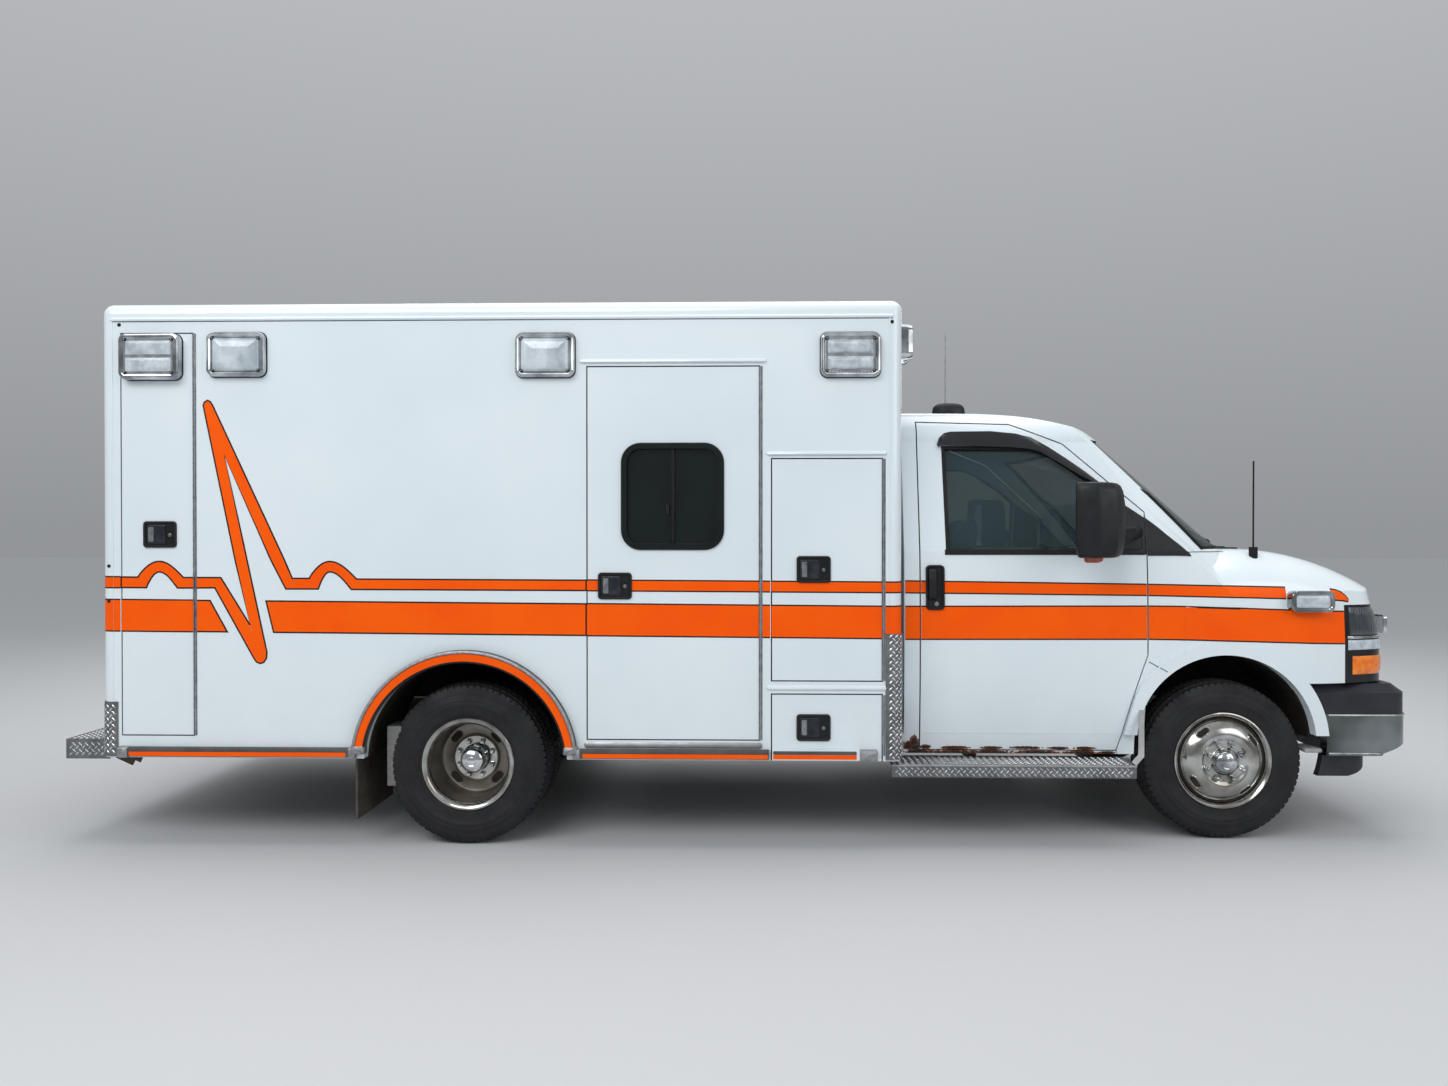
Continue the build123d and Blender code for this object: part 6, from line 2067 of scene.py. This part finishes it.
@dataclass
class CabSide:
    """Seals, visor, handle, sail and mirror of one cab door, with the trim round it."""

    side: Side

    def __post_init__(self) -> None:
        word = self.side.word
        self.s = self.side.value
        self.door = f"cab_door_{word}"
        self.wall = cab_wall(self.side)
        self.kit = Kit(f"cab_{word}", self.door)
        self.skin = Skin(self.door, "cab_shell", "front_wings")

    def local(self, x: float, z: float) -> Wall:
        """Gives the plane that touches the side at a place, drawn in distances from it.

        Args:
            x: place along the vehicle.
            z: height of the place.

        Returns:
            The plane.
        """
        low, high = (self.skin.side(self.side, x, z + reach) for reach in (-90, 90))
        up = (high - low).normalized()
        out = Vector((1, 0, 0)).cross(up)
        return Wall((low + high) / 2, (1, 0, 0), up, -out if out.y * self.s < 0 else out)

    def glass(self) -> None:
        """Frames the door glass in rubber, with the belt strip under it."""
        outline = shifted(DOOR_GLASS, 5)
        self.kit.part("glass_run", SEAL_AND_SHADE, smooth=40).frame(self.wall, outline, 17, -22, 2.5, 2)
        belt = [(962, 1340), (1896, 1340), (1896, 1364), (962, 1364)]
        self.kit.part("belt_strip", SEAL_AND_SHADE, smooth=40).plate(self.wall, belt, -6, 6, 3)

    def visor(self) -> None:
        """Adds the smoked rain visor over the door glass."""
        top = [(940, 1868), (952, 1902), (975, 1924), (1007, 1932), (1199, 1934), (1320, 1922), (1389, 1905),
            (1470, 1858), (1555, 1800), (1640, 1738), (1712, 1680)]
        foot = [(946, 1850), (952, 1856), (966, 1860), (1080, 1857), (1180, 1854), (1292, 1850),
            (1380, 1842), (1430, 1828), (1518, 1774), (1604, 1719), (1700, 1664)]
        outer, inner = [], []
        for start, end in zip(top, foot):
            column = [(lerp(start[0], end[0], share), lerp(start[1], end[1], share), 3
                + 17 * math.sin(share * math.pi / 2)) for share in spread(0, 1, 5)]
            outer.append([self.wall.point(x, z, rise) for x, z, rise in column])
            inner.append([self.wall.point(x, z, rise - 3) for x, z, rise in column])
        self.kit.part("visor", SMOKED_ACRYLIC, smooth=50).skin(outer, inner)

    def handle(self) -> None:
        """Adds the upright pull handle with its key cylinder."""
        wall = self.local(914, 1186)
        kit = self.kit
        outer = rounded(0, 0, 88, 212, 20)
        kit.part("handle", BLACK_MOULDING, smooth=40).frame(wall, outer, 12, -3, 13, 4)
        kit.part("handle", BLACK_MOULDING, smooth=40).plate(wall, rounded(0, 0, 66, 190, 9), -3, 5)
        kit.part("handle_well", SEAL_AND_SHADE, smooth=40).plate(wall, rounded(14, 18, 30, 120, 8), 4, 5.8)
        bar = [wall.point(-14, b, h) for b, h in ((84, 5), (74, 19), (40, 25), (-20, 25), (-44, 19),
            (-54, 5))]
        kit.part("grip", BLACK_MOULDING, smooth=60).sweep(bar, rounded(0, 0, 34, 12, 5), wall.out)
        at = wall.point(6, -78, 5)
        kit.part("key", SATIN_STEEL).lathe(at, wall.out, [(11, 0), (11, 4), (9, 6), (2, 6.4), (1.8, 4),
            (0.2, 4)], 18)

    def edges(self) -> None:
        """Adds the door's edge seals, the crease low on the side and the seam over the arch."""
        for x, look, low, high in ((844.8, 850, 426, 1960), (1906.2, 1902, 880, 1530)):
            places = [self.skin.side(self.side, look, z) for z in spread(low, high, 32)]
            path = [(x, place.y - self.s * 8, place.z) for place in places]
            section = [(-1.6, -5), (1.6, -5), (1.6, 5), (-1.6, 5)]
            self.kit.part("edge_seals", SEAL_AND_SHADE).sweep(path, section, (0, self.s, 0))
        for label, names, body, start, end in (("door_crease", (self.door,), self.door, 852, 1776),
                ("sill_crease", ("cab_shell",), "vehicle", 775, 841)):
            top, foot = [(start, 503), (end, 503)], [(start, 497), (end, 497)]
            band = Skin(*names).band(self.side, top, foot, max(4, int((end - start) / 12)), 3, 1.2)
            self.kit.shapes[label] = (band, WHITE_ENAMEL, body, 20)
        seam = Skin("front_wings").band(self.side, [(1911, 841), (1992, 796)], [(1911, 837), (1992, 792)],
            12, 2, 0.7)
        self.kit.shapes["wing_seam"] = (seam, SEAL_AND_SHADE, "vehicle", 40)

    def corner(self) -> None:
        """Adds the black corner ahead of the door glass and the one ahead of the seam."""
        sail = [(1727, 1342), (1903.5, 1342), (1903.5, 1514), (1729, 1636)]
        levels = [(sail, -24), (sail, 5), (shifted(sail, -4), 9), (shifted(sail, -16), 10.5)]
        self.kit.part("sail", BLACK_MOULDING, smooth=40).stack(self.wall, levels)
        top = [(1910, 1514), (1960, 1474), (2010, 1430), (2060, 1388), (2108, 1346)]
        foot = [(1910, 1336), (1960, 1336), (2010, 1336), (2060, 1336), (2112, 1334)]
        band = Skin("cab_shell", "front_wings").band(self.side, top, foot, 40, 12, 3.5)
        self.kit.shapes["front_corner"] = (band, BLACK_MOULDING, "vehicle", 40)

    def mirror(self) -> None:
        """Builds the door mirror: faceted shell, two glasses, arms and the side lamp under it."""
        s, kit, floor = self.s, self.kit, level(s=self.s)
        plan = [(1578, 1086), (1548, 1150), (1500, 1238), (1502, 1254), (1516, 1266), (1586, 1286),
            (1602, 1286), (1682, 1262), (1706, 1240), (1734, 1200), (1738, 1150), (1722, 1106), (1684, 1084),
            (1620, 1076)]
        sizes = ((1330, 0.66, 8), (1334, 0.8, 6), (1346, 0.9, 3), (1380, 0.97, 0), (1440, 1.0, 0),
            (1560, 1.0, 0), (1628, 0.96, 4), (1654, 0.9, 8), (1666, 0.82, 12), (1671, 0.66, 16))
        levels = [([(1606 + (x - 1606) * share - back, 1180 + (y - 1180) * share) for x, y in plan], z)
            for z, share, back in sizes]
        kit.part("mirror_shell", BLACK_MOULDING, smooth=24).stack(floor, levels)
        along_glass = Vector((-72, s * 152, 0)).normalized()
        back = Wall((1541, s * 1164, 1498), along_glass, (0, 0, 1), Vector((0, 0, 1)).cross(along_glass) * s)
        kit.part("mirror_rim", BLACK_MOULDING, smooth=40).frame(back, rounded(0, 0, 156, 290, 24), 8, -16, 6,
            2)
        kit.part("mirror_glass", MIRROR).plate(back, rounded(0, 42, 138, 184, 14), -10, 1, 1)
        convex = [(0, -10), (0, -1), (16, 2), (27, 3)]
        kit.part("mirror_glass", MIRROR).stack(back, [(rounded(0, -98, 138 - 2 * i, 76 - 2 * i, 14), h)
            for i, h in convex])
        # The lamp's lens is painted darker as the mirror's shade over it.
        lamp = [(rounded(1592, 1200, 86, 56, 22), 1332), (rounded(1590, 1200, 80, 50, 20), 1316),
            (rounded(1586, 1200, 56, 30, 14), 1308)]
        kit.part("mirror_lamp", SHADED_AMBER_LENS, smooth=50).stack(floor, lamp)
        rows = []
        for x, y, low, high, thick in ((1600, 1150, 1350, 1462, 60), (1680, 1112, 1362, 1462, 60),
                (1750, 1064, 1384, 1462, 50), (1830, 1010, 1412, 1464, 44), (1880, 966, 1420, 1466, 40),
                (1886, 940, 1422, 1466, 40)):
            section = rounded(0, (low + high) / 2, thick, high - low, 12, 3)
            rows.append([Vector((x + a * 0.55, s * (y + a * 0.6), z)) for a, z in section])
        kit.part("mirror_arms", BLACK_MOULDING, smooth=40).rings(rows)
        shoulder = [(1706, s * 1098, 1448), (1750, s * 1066, 1455), (1830, s * 1012, 1462)]
        kit.part("mirror_arms", BLACK_MOULDING, smooth=60).sweep(shoulder, rounded(0, 0, 40, 16, 6),
            (0, 0, 1))
        kit.part("mirror_foot", BLACK_MOULDING, smooth=40).plate(self.wall,
            rounded(1836, 1416, 100, 116, 22), 0, 18, 8)

    def build(self) -> None:
        """Builds one cab side."""
        self.glass()
        self.visor()
        self.handle()
        self.edges()
        self.corner()
        self.mirror()
        for piece in self.kit.build():
            if "mirror" in piece.name or "sail" in piece.name:
                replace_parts(piece, f"door_mirror_{self.side.word}")


@dataclass
class CabFront:
    """Windscreen rubber, cowl, wipers and the roof's small parts."""

    kit: Kit = field(default_factory=lambda: Kit("cab_front"))

    def build(self) -> None:
        """Builds the trim round the windscreen."""
        screen = Skin("windscreen", "cab_shell")
        corners = [(-905, 1372), (-835, 1888), (835, 1888), (905, 1372)]
        path = []
        for (y0, z0), (y1, z1) in zip(corners, corners[1:] + corners[:1]):
            for share in spread(0, 1, 20)[:-1]:
                path.append(screen.hit((3300, lerp(y0, y1, share), lerp(z0, z1, share)), (-1, 0, 0), 1.5))
        rubber = self.kit.part("screen_rubber", SEAL_AND_SHADE, smooth=60)
        rubber.sweep([p for p in path if p], disc(0, 0, 9, 8), GLASS_UP, True)
        self.cowl()
        self.wipers(Skin("windscreen"))
        self.aerial(Skin("cab_shell"))
        self.kit.build()

    def aerial(self, roof: Skin) -> None:
        """Adds the low oval aerial base on the cab roof with its thin whip.

        Args:
            roof: the faces under it.
        """
        foot = roof.hit((1067, -480, 2400), (0, 0, -1))
        floor = level(foot.z, x=1067, y=-480)
        ovals = [(85, 38, -6), (85, 38, 38), (81, 35, 60), (70, 28, 74), (50, 20, 82), (22, 9, 85)]
        levels = [([(a * math.cos(t), b * math.sin(t)) for t in turns(32)], h) for a, b, h in ovals]
        self.kit.part("roof_aerial", BLACK_MOULDING, smooth=50).stack(floor, levels)
        whip = [(1050, -480, foot.z + 80), (1050, -480, 2480)]
        self.kit.part("roof_whip", SATIN_STEEL, smooth=60).tube(whip, 2.4, 8, (0, 1, 0))

    def cowl(self) -> None:
        """Covers the cowl with a slotted black panel."""
        skin = Skin("cab_shell", "front_wings", "windscreen")
        outer = []
        for y in range(-800, 801, 40):
            column = [skin.hit((x, y, 2400), (0, 0, -1), 7 if 2316 < x < 2427 else 2)
                for x in (2316, 2335, 2365, 2395, 2420, 2427)]
            if all(column):
                outer.append(column)
        inner = [[p - Vector((0, 0, 8)) for p in column] for column in outer]
        self.kit.part("cowl", BLACK_MOULDING, smooth=40).skin(outer, inner)
        for y in range(-640, 641, 40):
            place = skin.hit((2392, y, 2400), (0, 0, -1), 9)
            slot = rounded(place.x, place.y, 44, 12, 5)
            self.kit.part("cowl_slots", SEAL_AND_SHADE).frame(level(place.z), slot, 3, -4, 2, 1)

    def wipers(self, glass: Skin) -> None:
        """Adds two wipers lying low on the glass.

        Args:
            glass: the faces under them.
        """
        for pivot_y in (-560, 180):
            foot = Vector((2352, pivot_y, 1392))
            cap = [(22, -10), (20, 12), (12, 20), (0.4, 22)]
            self.kit.part("wipers", SATIN_BLACK).lathe(foot, (0.7, 0, 0.72), cap, 16)
            arm = [glass.hit((3300, pivot_y + d, z), (-1, 0, 0), 22) for d,
                z in ((90, 1424), (240, 1470), (330, 1492))]
            blade = [glass.hit((3300, pivot_y + d, 1440 + (d - 60) * 0.12), (-1, 0, 0), 9)
                for d in range(60, 560, 30)]
            for label, finish, places, section in (("wipers", SATIN_BLACK, [foot + Vector((6, 0, 14)), *arm],
                    [(-8, -3), (8, -3), (6, 4), (-6, 4)]), ("wiper_blades", SEAL_AND_SHADE, blade,
                    [(-3, -8), (3, -8), (7, 4), (-7, 4)])):
                self.kit.part(label, finish, smooth=50).sweep([p for p in places if p], section, GLASS_UP)


@dataclass
class HeadlampUnit:
    """One stacked front lamp: upper lens painted dark for its reflections, bright strip, clear lens and amber
    lamp on a black case.
    """

    side: Side

    def point(self, skin: Skin, turn: float, z: float, lift: float) -> Vector | None:
        """Finds the case's face at an angle round the corner of the nose.

        Args:
            skin: the case's faces.
            turn: angle round the nose's corner, in degrees.
            z: height.
            lift: distance off the face.

        Returns:
            The place, or None off the case.
        """
        way = Vector((math.sin(math.radians(turn)), self.side.value * math.cos(math.radians(turn)), 0))
        axis = Vector((2800, self.side.value * 640, z))
        return skin.hit(axis + way * 700, -way, lift)

    def patch(self, kit: Kit, label: str, finish: Finish, skin: Skin, turns_round: Point2, low: Point2,
            high: Point2, lift: float, flutes: int = 0) -> None:
        """Lays a lens or a strip over the case between two heights, with broken edges.

        Args:
            kit: kit that gets the piece.
            label: last word of its name.
            finish: its material.
            skin: the case's faces.
            turns_round: angles of its two ends, in degrees.
            low: heights of its foot at the two ends.
            high: heights of its top there.
            lift: its rise over the case.
            flutes: upright flutes in it.
        """
        outer, inner = [], []
        for share in spread(0, 1, max(24, flutes * 4)):
            turn, column, under = lerp(*turns_round, share), [], []
            for level_share in spread(0, 1, 8):
                z = lerp(lerp(*low, share), lerp(*high, share), level_share)
                edge = min(1.0, 5 * level_share, 5 * (1 - level_share), 14 * share, 14 * (1 - share))
                rise = 0.4 + (lift + 1.6 * abs(math.sin(math.pi * share * flutes))) * edge ** 0.5
                column.append(self.point(skin, turn, z, rise))
                under.append(self.point(skin, turn, z, -3))
            if all(column) and all(under):
                outer.append(column)
                inner.append(under)
        kit.part(label, finish, smooth=50).skin(outer, inner)

    def build(self) -> None:
        """Builds the lamp's lenses."""
        kit, skin = Kit(f"headlamp_{self.side.word}"), Skin("headlamps")
        self.patch(kit, "upper_lens", DARK_REFLECTION_LENS, skin, (11.5, 77), (962, 962), (1092, 1088), 4, 15)
        self.patch(kit, "bright_strip", CHROME, skin, (9, 80.5), (943, 943), (957, 957), 6)
        self.patch(kit, "lower_lens", CLEAR_LENS, skin, (9.5, 80), (892, 892), (938, 938), 4, 22)
        self.patch(kit, "amber_lens", AMBER_LENS, skin, (14, 75), (776, 776), (862, 862), 4, 18)
        kit.build()


@dataclass
class FrontEnd:
    """Grille backing, lamp bezels, bumper seams and tow hooks."""

    kit: Kit = field(default_factory=lambda: Kit("front_end"))

    def build(self) -> None:
        """Builds the front end."""
        part = self.kit.part
        for side in Side:
            HeadlampUnit(side).build()
            self.wing_lamp(side)
            s = side.value
            hook = [(3060, s * 420, 372), (3110, s * 420, 352), (3140, s * 420, 372), (3128, s * 420, 396),
                (3080, s * 420, 398)]
            part("tow_hooks", CHASSIS_BLACK, smooth=60).tube(hook, 11, 10, (0, 1, 0))
            lamp = rounded(s * 681, 996, 92, 88, 16, 5)
            face = upright(3165, 1)
            part("grille_lamp_bezels", CHROME, smooth=40).frame(face, lamp, 9, -14, 4, 2)
            part("grille_lamp_lenses", SMOOTH_LENS, smooth=60).stack(face,
                [(rounded(s * 681, 996, 92 - 2 * i, 88 - 2 * i, 8), h) for i,
                h in ((8, -4), (9, 2), (16, 6), (28, 8))])
            bracket = part("pad_bracket", LIGHT_GREY)
            bracket.block((2655, s * 902.5 - 62.5, 408), (2735, s * 902.5 + 72.5, 428), 4)
        self.beads()
        fins = upright(2934, 1)
        part("radiator_core", SATIN_BLACK).plate(fins, rounded(0, 925, 1300, 330, 8, 2), 0, 8, 2)
        for i in range(60):
            y = -620 + i * 21
            part("radiator_fins", CASTING).plate(fins, rounded(y, 925, 7, 316, 2, 1), 8, 14, 1)
        self.kit.build()

    def beads(self) -> None:
        """Lays the bright rolled edge along the top of the bumper bar and the satin one along its foot."""
        skin = Skin("front_bumper")
        for label, z, high, finish in (("bar_bead", 589, 5, STAINLESS), ("bar_foot", 408, 9, SATIN_STEEL)):
            for side in Side:
                line = []
                for degrees in spread(0, 90, 60):
                    turn = math.radians(degrees)
                    way = Vector((math.sin(turn), side.value * math.cos(turn), 0))
                    place = skin.hit(Vector((2750, side.value * 560, z)) + way * 900, -way)
                    if place:
                        line.append(place)
                path = [*line, (line[-1][0], 0, z)]
                self.kit.part(label, finish, smooth=60).sweep(path, disc(0, 0, high, 8))

    def wing_lamp(self, side: Side) -> None:
        """Dresses the bright lamp box on one wing.

        Args:
            side: the side.
        """
        part = self.kit.part
        wall = side_wall(side, 1038)
        outer = rounded(2652, 1124.5, 196, 97, 29, 6)
        part("wing_lamp_bezels", CHROME, smooth=40).frame(wall, outer, 15, -4, 7, 3)
        glass = rounded(2652, 1124.5, 168, 69, 15, 6)
        grid, floor = [], []
        for v in spread(0, 1, 12):
            spots = [(2652 + (u - 0.5) * 160, 1124.5 + (v - 0.5) * 62, 6 * (1 - (2 * v - 1) ** 4) * min(1,
                10 * u, 10 * (1 - u)) + 0.8 * abs(math.sin(math.pi * u * 14))) for u in spread(0, 1, 56)]
            grid.append([wall.point(*spot) for spot in spots])
            floor.append([wall.point(a, b, -3) for a, b, _ in spots])
        part("wing_lamp_lenses", CLEAR_LENS, smooth=50).skin(grid, floor)
        part("wing_lamp_backs", REFLECTOR, smooth=50).plate(wall, glass, -4, 0.6)


# ---------------------------------------------------------------- inside


@dataclass(frozen=True)
class Cushion:
    """A stuffed pad with a crowned top, pulled-in sides, sewn channels and piping."""

    name: str
    centre: Point3
    size: Point3
    lean: float
    finish: Finish
    body: str
    node: str
    channels: tuple[float, ...] = ()
    crown: float = 22.0
    fill: float = 0.6

    def build(self) -> None:
        """Builds the pad and its piping. The size is along, across and thick, and the lean turns it about Y."""
        along_size, across_size, thick = self.size
        turn = Matrix.Rotation(math.radians(self.lean), 3, "Y")
        steps = 28

        def point(u: float, v: float, top: bool) -> Vector:
            edge = (1 - abs(u) ** 6) * (1 - abs(v) ** 6)
            pull = 1 - 0.035 * (1 - v * v) * abs(u) ** 3 - 0.035 * (1 - u * u) * abs(v) ** 3
            rise = thick / 2 * edge ** 0.35 + (self.crown * (1 - u * u) * (1 - v * v) if top else 0)
            for channel in self.channels:
                rise -= 9 * math.exp(-(((u - channel) / 0.035) ** 2)) if top else 0
            wrinkle = 1.2 * math.sin(9 * u + 4 * v) * math.sin(7 * v - 3 * u) if top else 0
            place = Vector((u * along_size / 2 * pull, v * across_size / 2 * pull,
                (rise + wrinkle) * (1 if top else -1)))
            return Vector(self.centre) + turn @ place

        values = [math.sin(math.pi / 2 * (2 * i / steps - 1)) for i in range(steps + 1)]
        shape = Shape()
        shape.skin([[point(u, v, True) for v in values] for u in values],
            [[point(u, v, False) for v in values] for u in values])
        pad = shape.piece(self.name, self.finish, self.body, 80, 1)
        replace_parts(pad, self.node)
        rim, power = [], 0.32
        for t in turns(64):
            u, v = (math.copysign(abs(wave) ** power, wave) * 0.985 for wave in (math.cos(t), math.sin(t)))
            place = Vector((u * along_size / 2 * 0.985, v * across_size / 2 * 0.985, thick * 0.18))
            rim.append(Vector(self.centre) + turn @ place)
        axis = turn @ Vector((0, 0, 1))
        piping = Shape().sweep(rim, disc(0, 0, 3.4, 8), axis, True)
        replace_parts(piping.piece(f"{self.name}_piping", self.finish, self.body, 60), self.node)


@dataclass
class CabInside:
    """Seats, belts, wheel and instruments of the cab."""

    kit: Kit = field(default_factory=lambda: Kit("cab_inside"))

    def build(self) -> None:
        """Builds the cab's inside."""
        part = self.kit.part
        for side in Side:
            s, word = side.value, side.word
            y = s * 590
            for name, centre, size, lean, channels, crown in (("seat_base", (1350, y, 898), (500, 490, 120),
                    4, (-0.45, 0.0, 0.45), 22), ("seat_back", (1064, y, 1218), (600, 450, 110), -77,
                    (-0.5, -0.15, 0.2, 0.55), 22), ("head_rest", (975, y, 1600), (160, 246, 80), -82, (),
                    10)):
                Cushion(f"{name}_{word}", centre, size, lean, SEAT_CLOTH, "vehicle", "cab_seats", channels,
                    crown).build()
            frame_part = part("seat_bases", SATIN_BLACK)
            frame_part.block((1140, y - 185, 602), (1540, y + 185, 640), 6)
            frame_part.block((1160, y - 150, 640), (1520, y + 150, 836), 10)
            for dy in (-60, 60):
                part("head_rest_posts", CHROME).tube([(1000, y + dy, 1500), (978, y + dy, 1570)], 6)
            belt = [(880, s * 880, 1700), (930, s * 838, 1560), (1010, s * 800, 1300), (1080, s * 800, 960)]
            part("belts", BELT).sweep(belt, [(-23, -1), (23, -1), (23, 1), (-23, 1)], (0.4, s * 0.9, 0.2))
        self.wheel()
        self.dash()
        for piece in self.kit.build():
            if "seat" in piece.name or "head" in piece.name:
                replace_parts(piece, "cab_seats")

    def wheel(self) -> None:
        """Covers the steering wheel's rim with a grip, and adds the column's stalks."""
        part = self.kit.part
        axis = Vector((-0.87, 0, 0.5)).normalized()
        centre = Vector((1712, 430, 1200)) + axis * 11
        across, up = Vector((0, 1, 0)), axis.cross(Vector((0, 1, 0)))
        path = [centre + (across * math.cos(t) + up * math.sin(t)) * 184 for t in turns(56)]
        part("wheel_grip", BLACK_MOULDING, smooth=60).sweep(path, disc(0, 0, 15, 12), axis, True)
        part("wheel_hub", DASH_SKIN, smooth=40).lathe(centre, axis, [(74, -6), (72, 14), (60, 26), (30, 31),
            (0.4, 32)], 32)
        for way in (-1, 1):
            stalk = [centre - axis * 70 + across * way * d + up * 10 for d in (30, 90, 170)]
            part("stalks", BLACK_MOULDING, smooth=60).tube(stalk, 6, 8, axis)

    def dash(self) -> None:
        """Adds the instrument hood, dials, vents, radio and siren control."""
        face, part = upright(1902, -1), self.kit.part
        part("instrument_hood", DASH_SKIN, smooth=40).frame(face, rounded(430, 1232, 420, 190, 40), 22, -30,
            46, 8)
        part("instrument_panel", SATIN_BLACK).plate(face, rounded(430, 1232, 378, 148, 24), -10, 8, 2)
        for y, radius in ((520, 52), (400, 52), (318, 26)):
            dial = [(radius, 0), (radius, 3), (radius - 3, 5), (radius - 4, 2), (0.4, 2)]
            part("dials", LAMINATE).lathe(face.point(y, 1232, 8), (-1, 0, 0), dial, 32)
            needle = [(y - 2, 1232), (y + 2, 1232), (y + 1, 1232 + radius * 0.7),
                (y - 1, 1232 + radius * 0.7)]
            part("needles", RED_LENS).plate(face, needle, 10, 11)
        for y in (-720, -140, 100, 760):
            part("vents", BLACK_MOULDING).frame(face, rounded(y, 1262, 120, 62, 12), 8, 0, 9, 2)
            for i in range(5):
                part("vents", BLACK_MOULDING).plate(face, rounded(y, 1240 + i * 11, 104, 3, 1, 1), 0, 6)
        for z, high in ((1170, 52), (1110, 44)):
            part("radio", SATIN_BLACK).plate(face, rounded(-10, z, 190, high, 5), -4, 14, 3)
            for i in range(6):
                part("radio_keys", LAMINATE).plate(face, rounded(-82 + i * 29, z, 20, 12, 2, 2), 14, 17, 1)
        part("glove_box", DASH_SKIN, smooth=40).plate(face, rounded(-560, 1150, 420, 130, 14), -6, 8, 3)


@dataclass
class PatientRoom:
    """Bench cushions, cabinet doors and grab rail inside the patient module."""

    kit: Kit = field(default_factory=lambda: Kit("patient_room"))

    def build(self) -> None:
        """Builds the patient room's fittings."""
        self.kit.part("bench_lid", LAMINATE).plate(level(1180), rounded(-1630, -870, 1720, 530, 12), 0, 16, 3)
        for number in range(3):
            x = -2197 + number * 567
            Cushion(f"bench_cushion_{number}", (x, -868, 1222), (556, 520, 52), 0, BENCH_VINYL, "vehicle",
                "patient_furniture", crown=0.5, fill=0.8).build()
        self.cabinets()
        rail = [(-2300, -300, 2330), (-2300, -300, 2290), (-2270, -300, 2262), (-500, -300, 2262),
            (-470, -300, 2290), (-470, -300, 2330)]
        self.kit.part("grab_rail", SATIN_STEEL, smooth=60).tube(rail, 15, 12, (0, 1, 0))
        for piece in self.kit.build():
            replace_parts(piece, "patient_furniture")

    def cabinets(self) -> None:
        """Builds the cabinets' carcasses, doors and catches."""
        kit = self.kit
        for x0, x1, y0, y1, z0, z1 in ((-2500, 120, 622, 634, 601, 1200), (-2500, 120, 812, 824, 1600, 2380),
                (-2500, -760, -634, -622, 601, 1179), (-2500, -2488, 622, 1139, 601, 1200),
                (108, 120, 622, 1139, 601, 1200), (-2500, -2488, 812, 1139, 1600, 2380),
                (108, 120, 812, 1139, 1600, 2380), (-2500, 120, 812, 1139, 1600, 1612),
                (-2500, 120, 622, 1139, 1188, 1200), (-2500, -2488, -1139, -622, 601, 1179),
                (-772, -760, -1139, -622, 601, 1179)):
            kit.part("carcass", LAMINATE).block((x0, y0, z0), (x1, y1, z1), 2)
        low, high, bench = (Wall((0, y, 0), (1, 0, 0), (0, 0, 1), (0, way, 0))
            for y, way in ((622, -1), (812, -1), (-622, 1)))
        for number in range(5):
            x = -2500 + 262 + number * 524
            kit.part("cabinet_doors", LAMINATE).plate(low, rounded(x, 900, 508, 560, 8), 0, 11, 3)
            kit.part("cabinet_frames", EXTRUSION).frame(high, rounded(x, 1990, 512, 740, 6), 20, 0, 8, 1)
            kit.part("cabinet_panes", SMOKED_ACRYLIC).plate(high, rounded(x, 1990, 476, 704, 4), 0, 4)
            for wall, z in ((low, 1130), (high, 1690)):
                kit.part("catches", SATIN_STEEL).plate(wall, rounded(x + 190, z, 60, 24, 8), 8, 18, 4)
        for number in range(3):
            x = -2500 + 290 + number * 580
            kit.part("bench_doors", LAMINATE).plate(bench, rounded(x, 880, 560, 500, 8), 0, 11, 3)
            kit.part("catches", SATIN_STEEL).plate(bench, rounded(x, 1090, 60, 24, 8), 8, 18, 4)


def main() -> None:
    """Builds the studio and every sub-assembly in order."""
    logging.basicConfig(level=logging.INFO, format="%(name)s: %(message)s")
    studio = Studio()
    studio.camera()
    studio.floor()
    studio.lights()
    dress_solids()
    Livery().build()
    ModuleLamps().build()
    for side in Side:
        ModuleTrim(side).build()
        LowerTrim(side).build()
        CabSide(side).build()
        for rear in (False, True):
            Wheel(side, rear).build()
    entry = side_wall(Side.RIGHT)
    BoxWindow("side_window_trim", entry, -311.5, 1609.5, "side_entry_door", 461, 479, 85).build()
    RearEnd().build()
    Tyre().pieces()
    CabFront().build()
    FrontEnd().build()
    CabInside().build()
    PatientRoom().build()


if __name__ == "__main__":
    main()
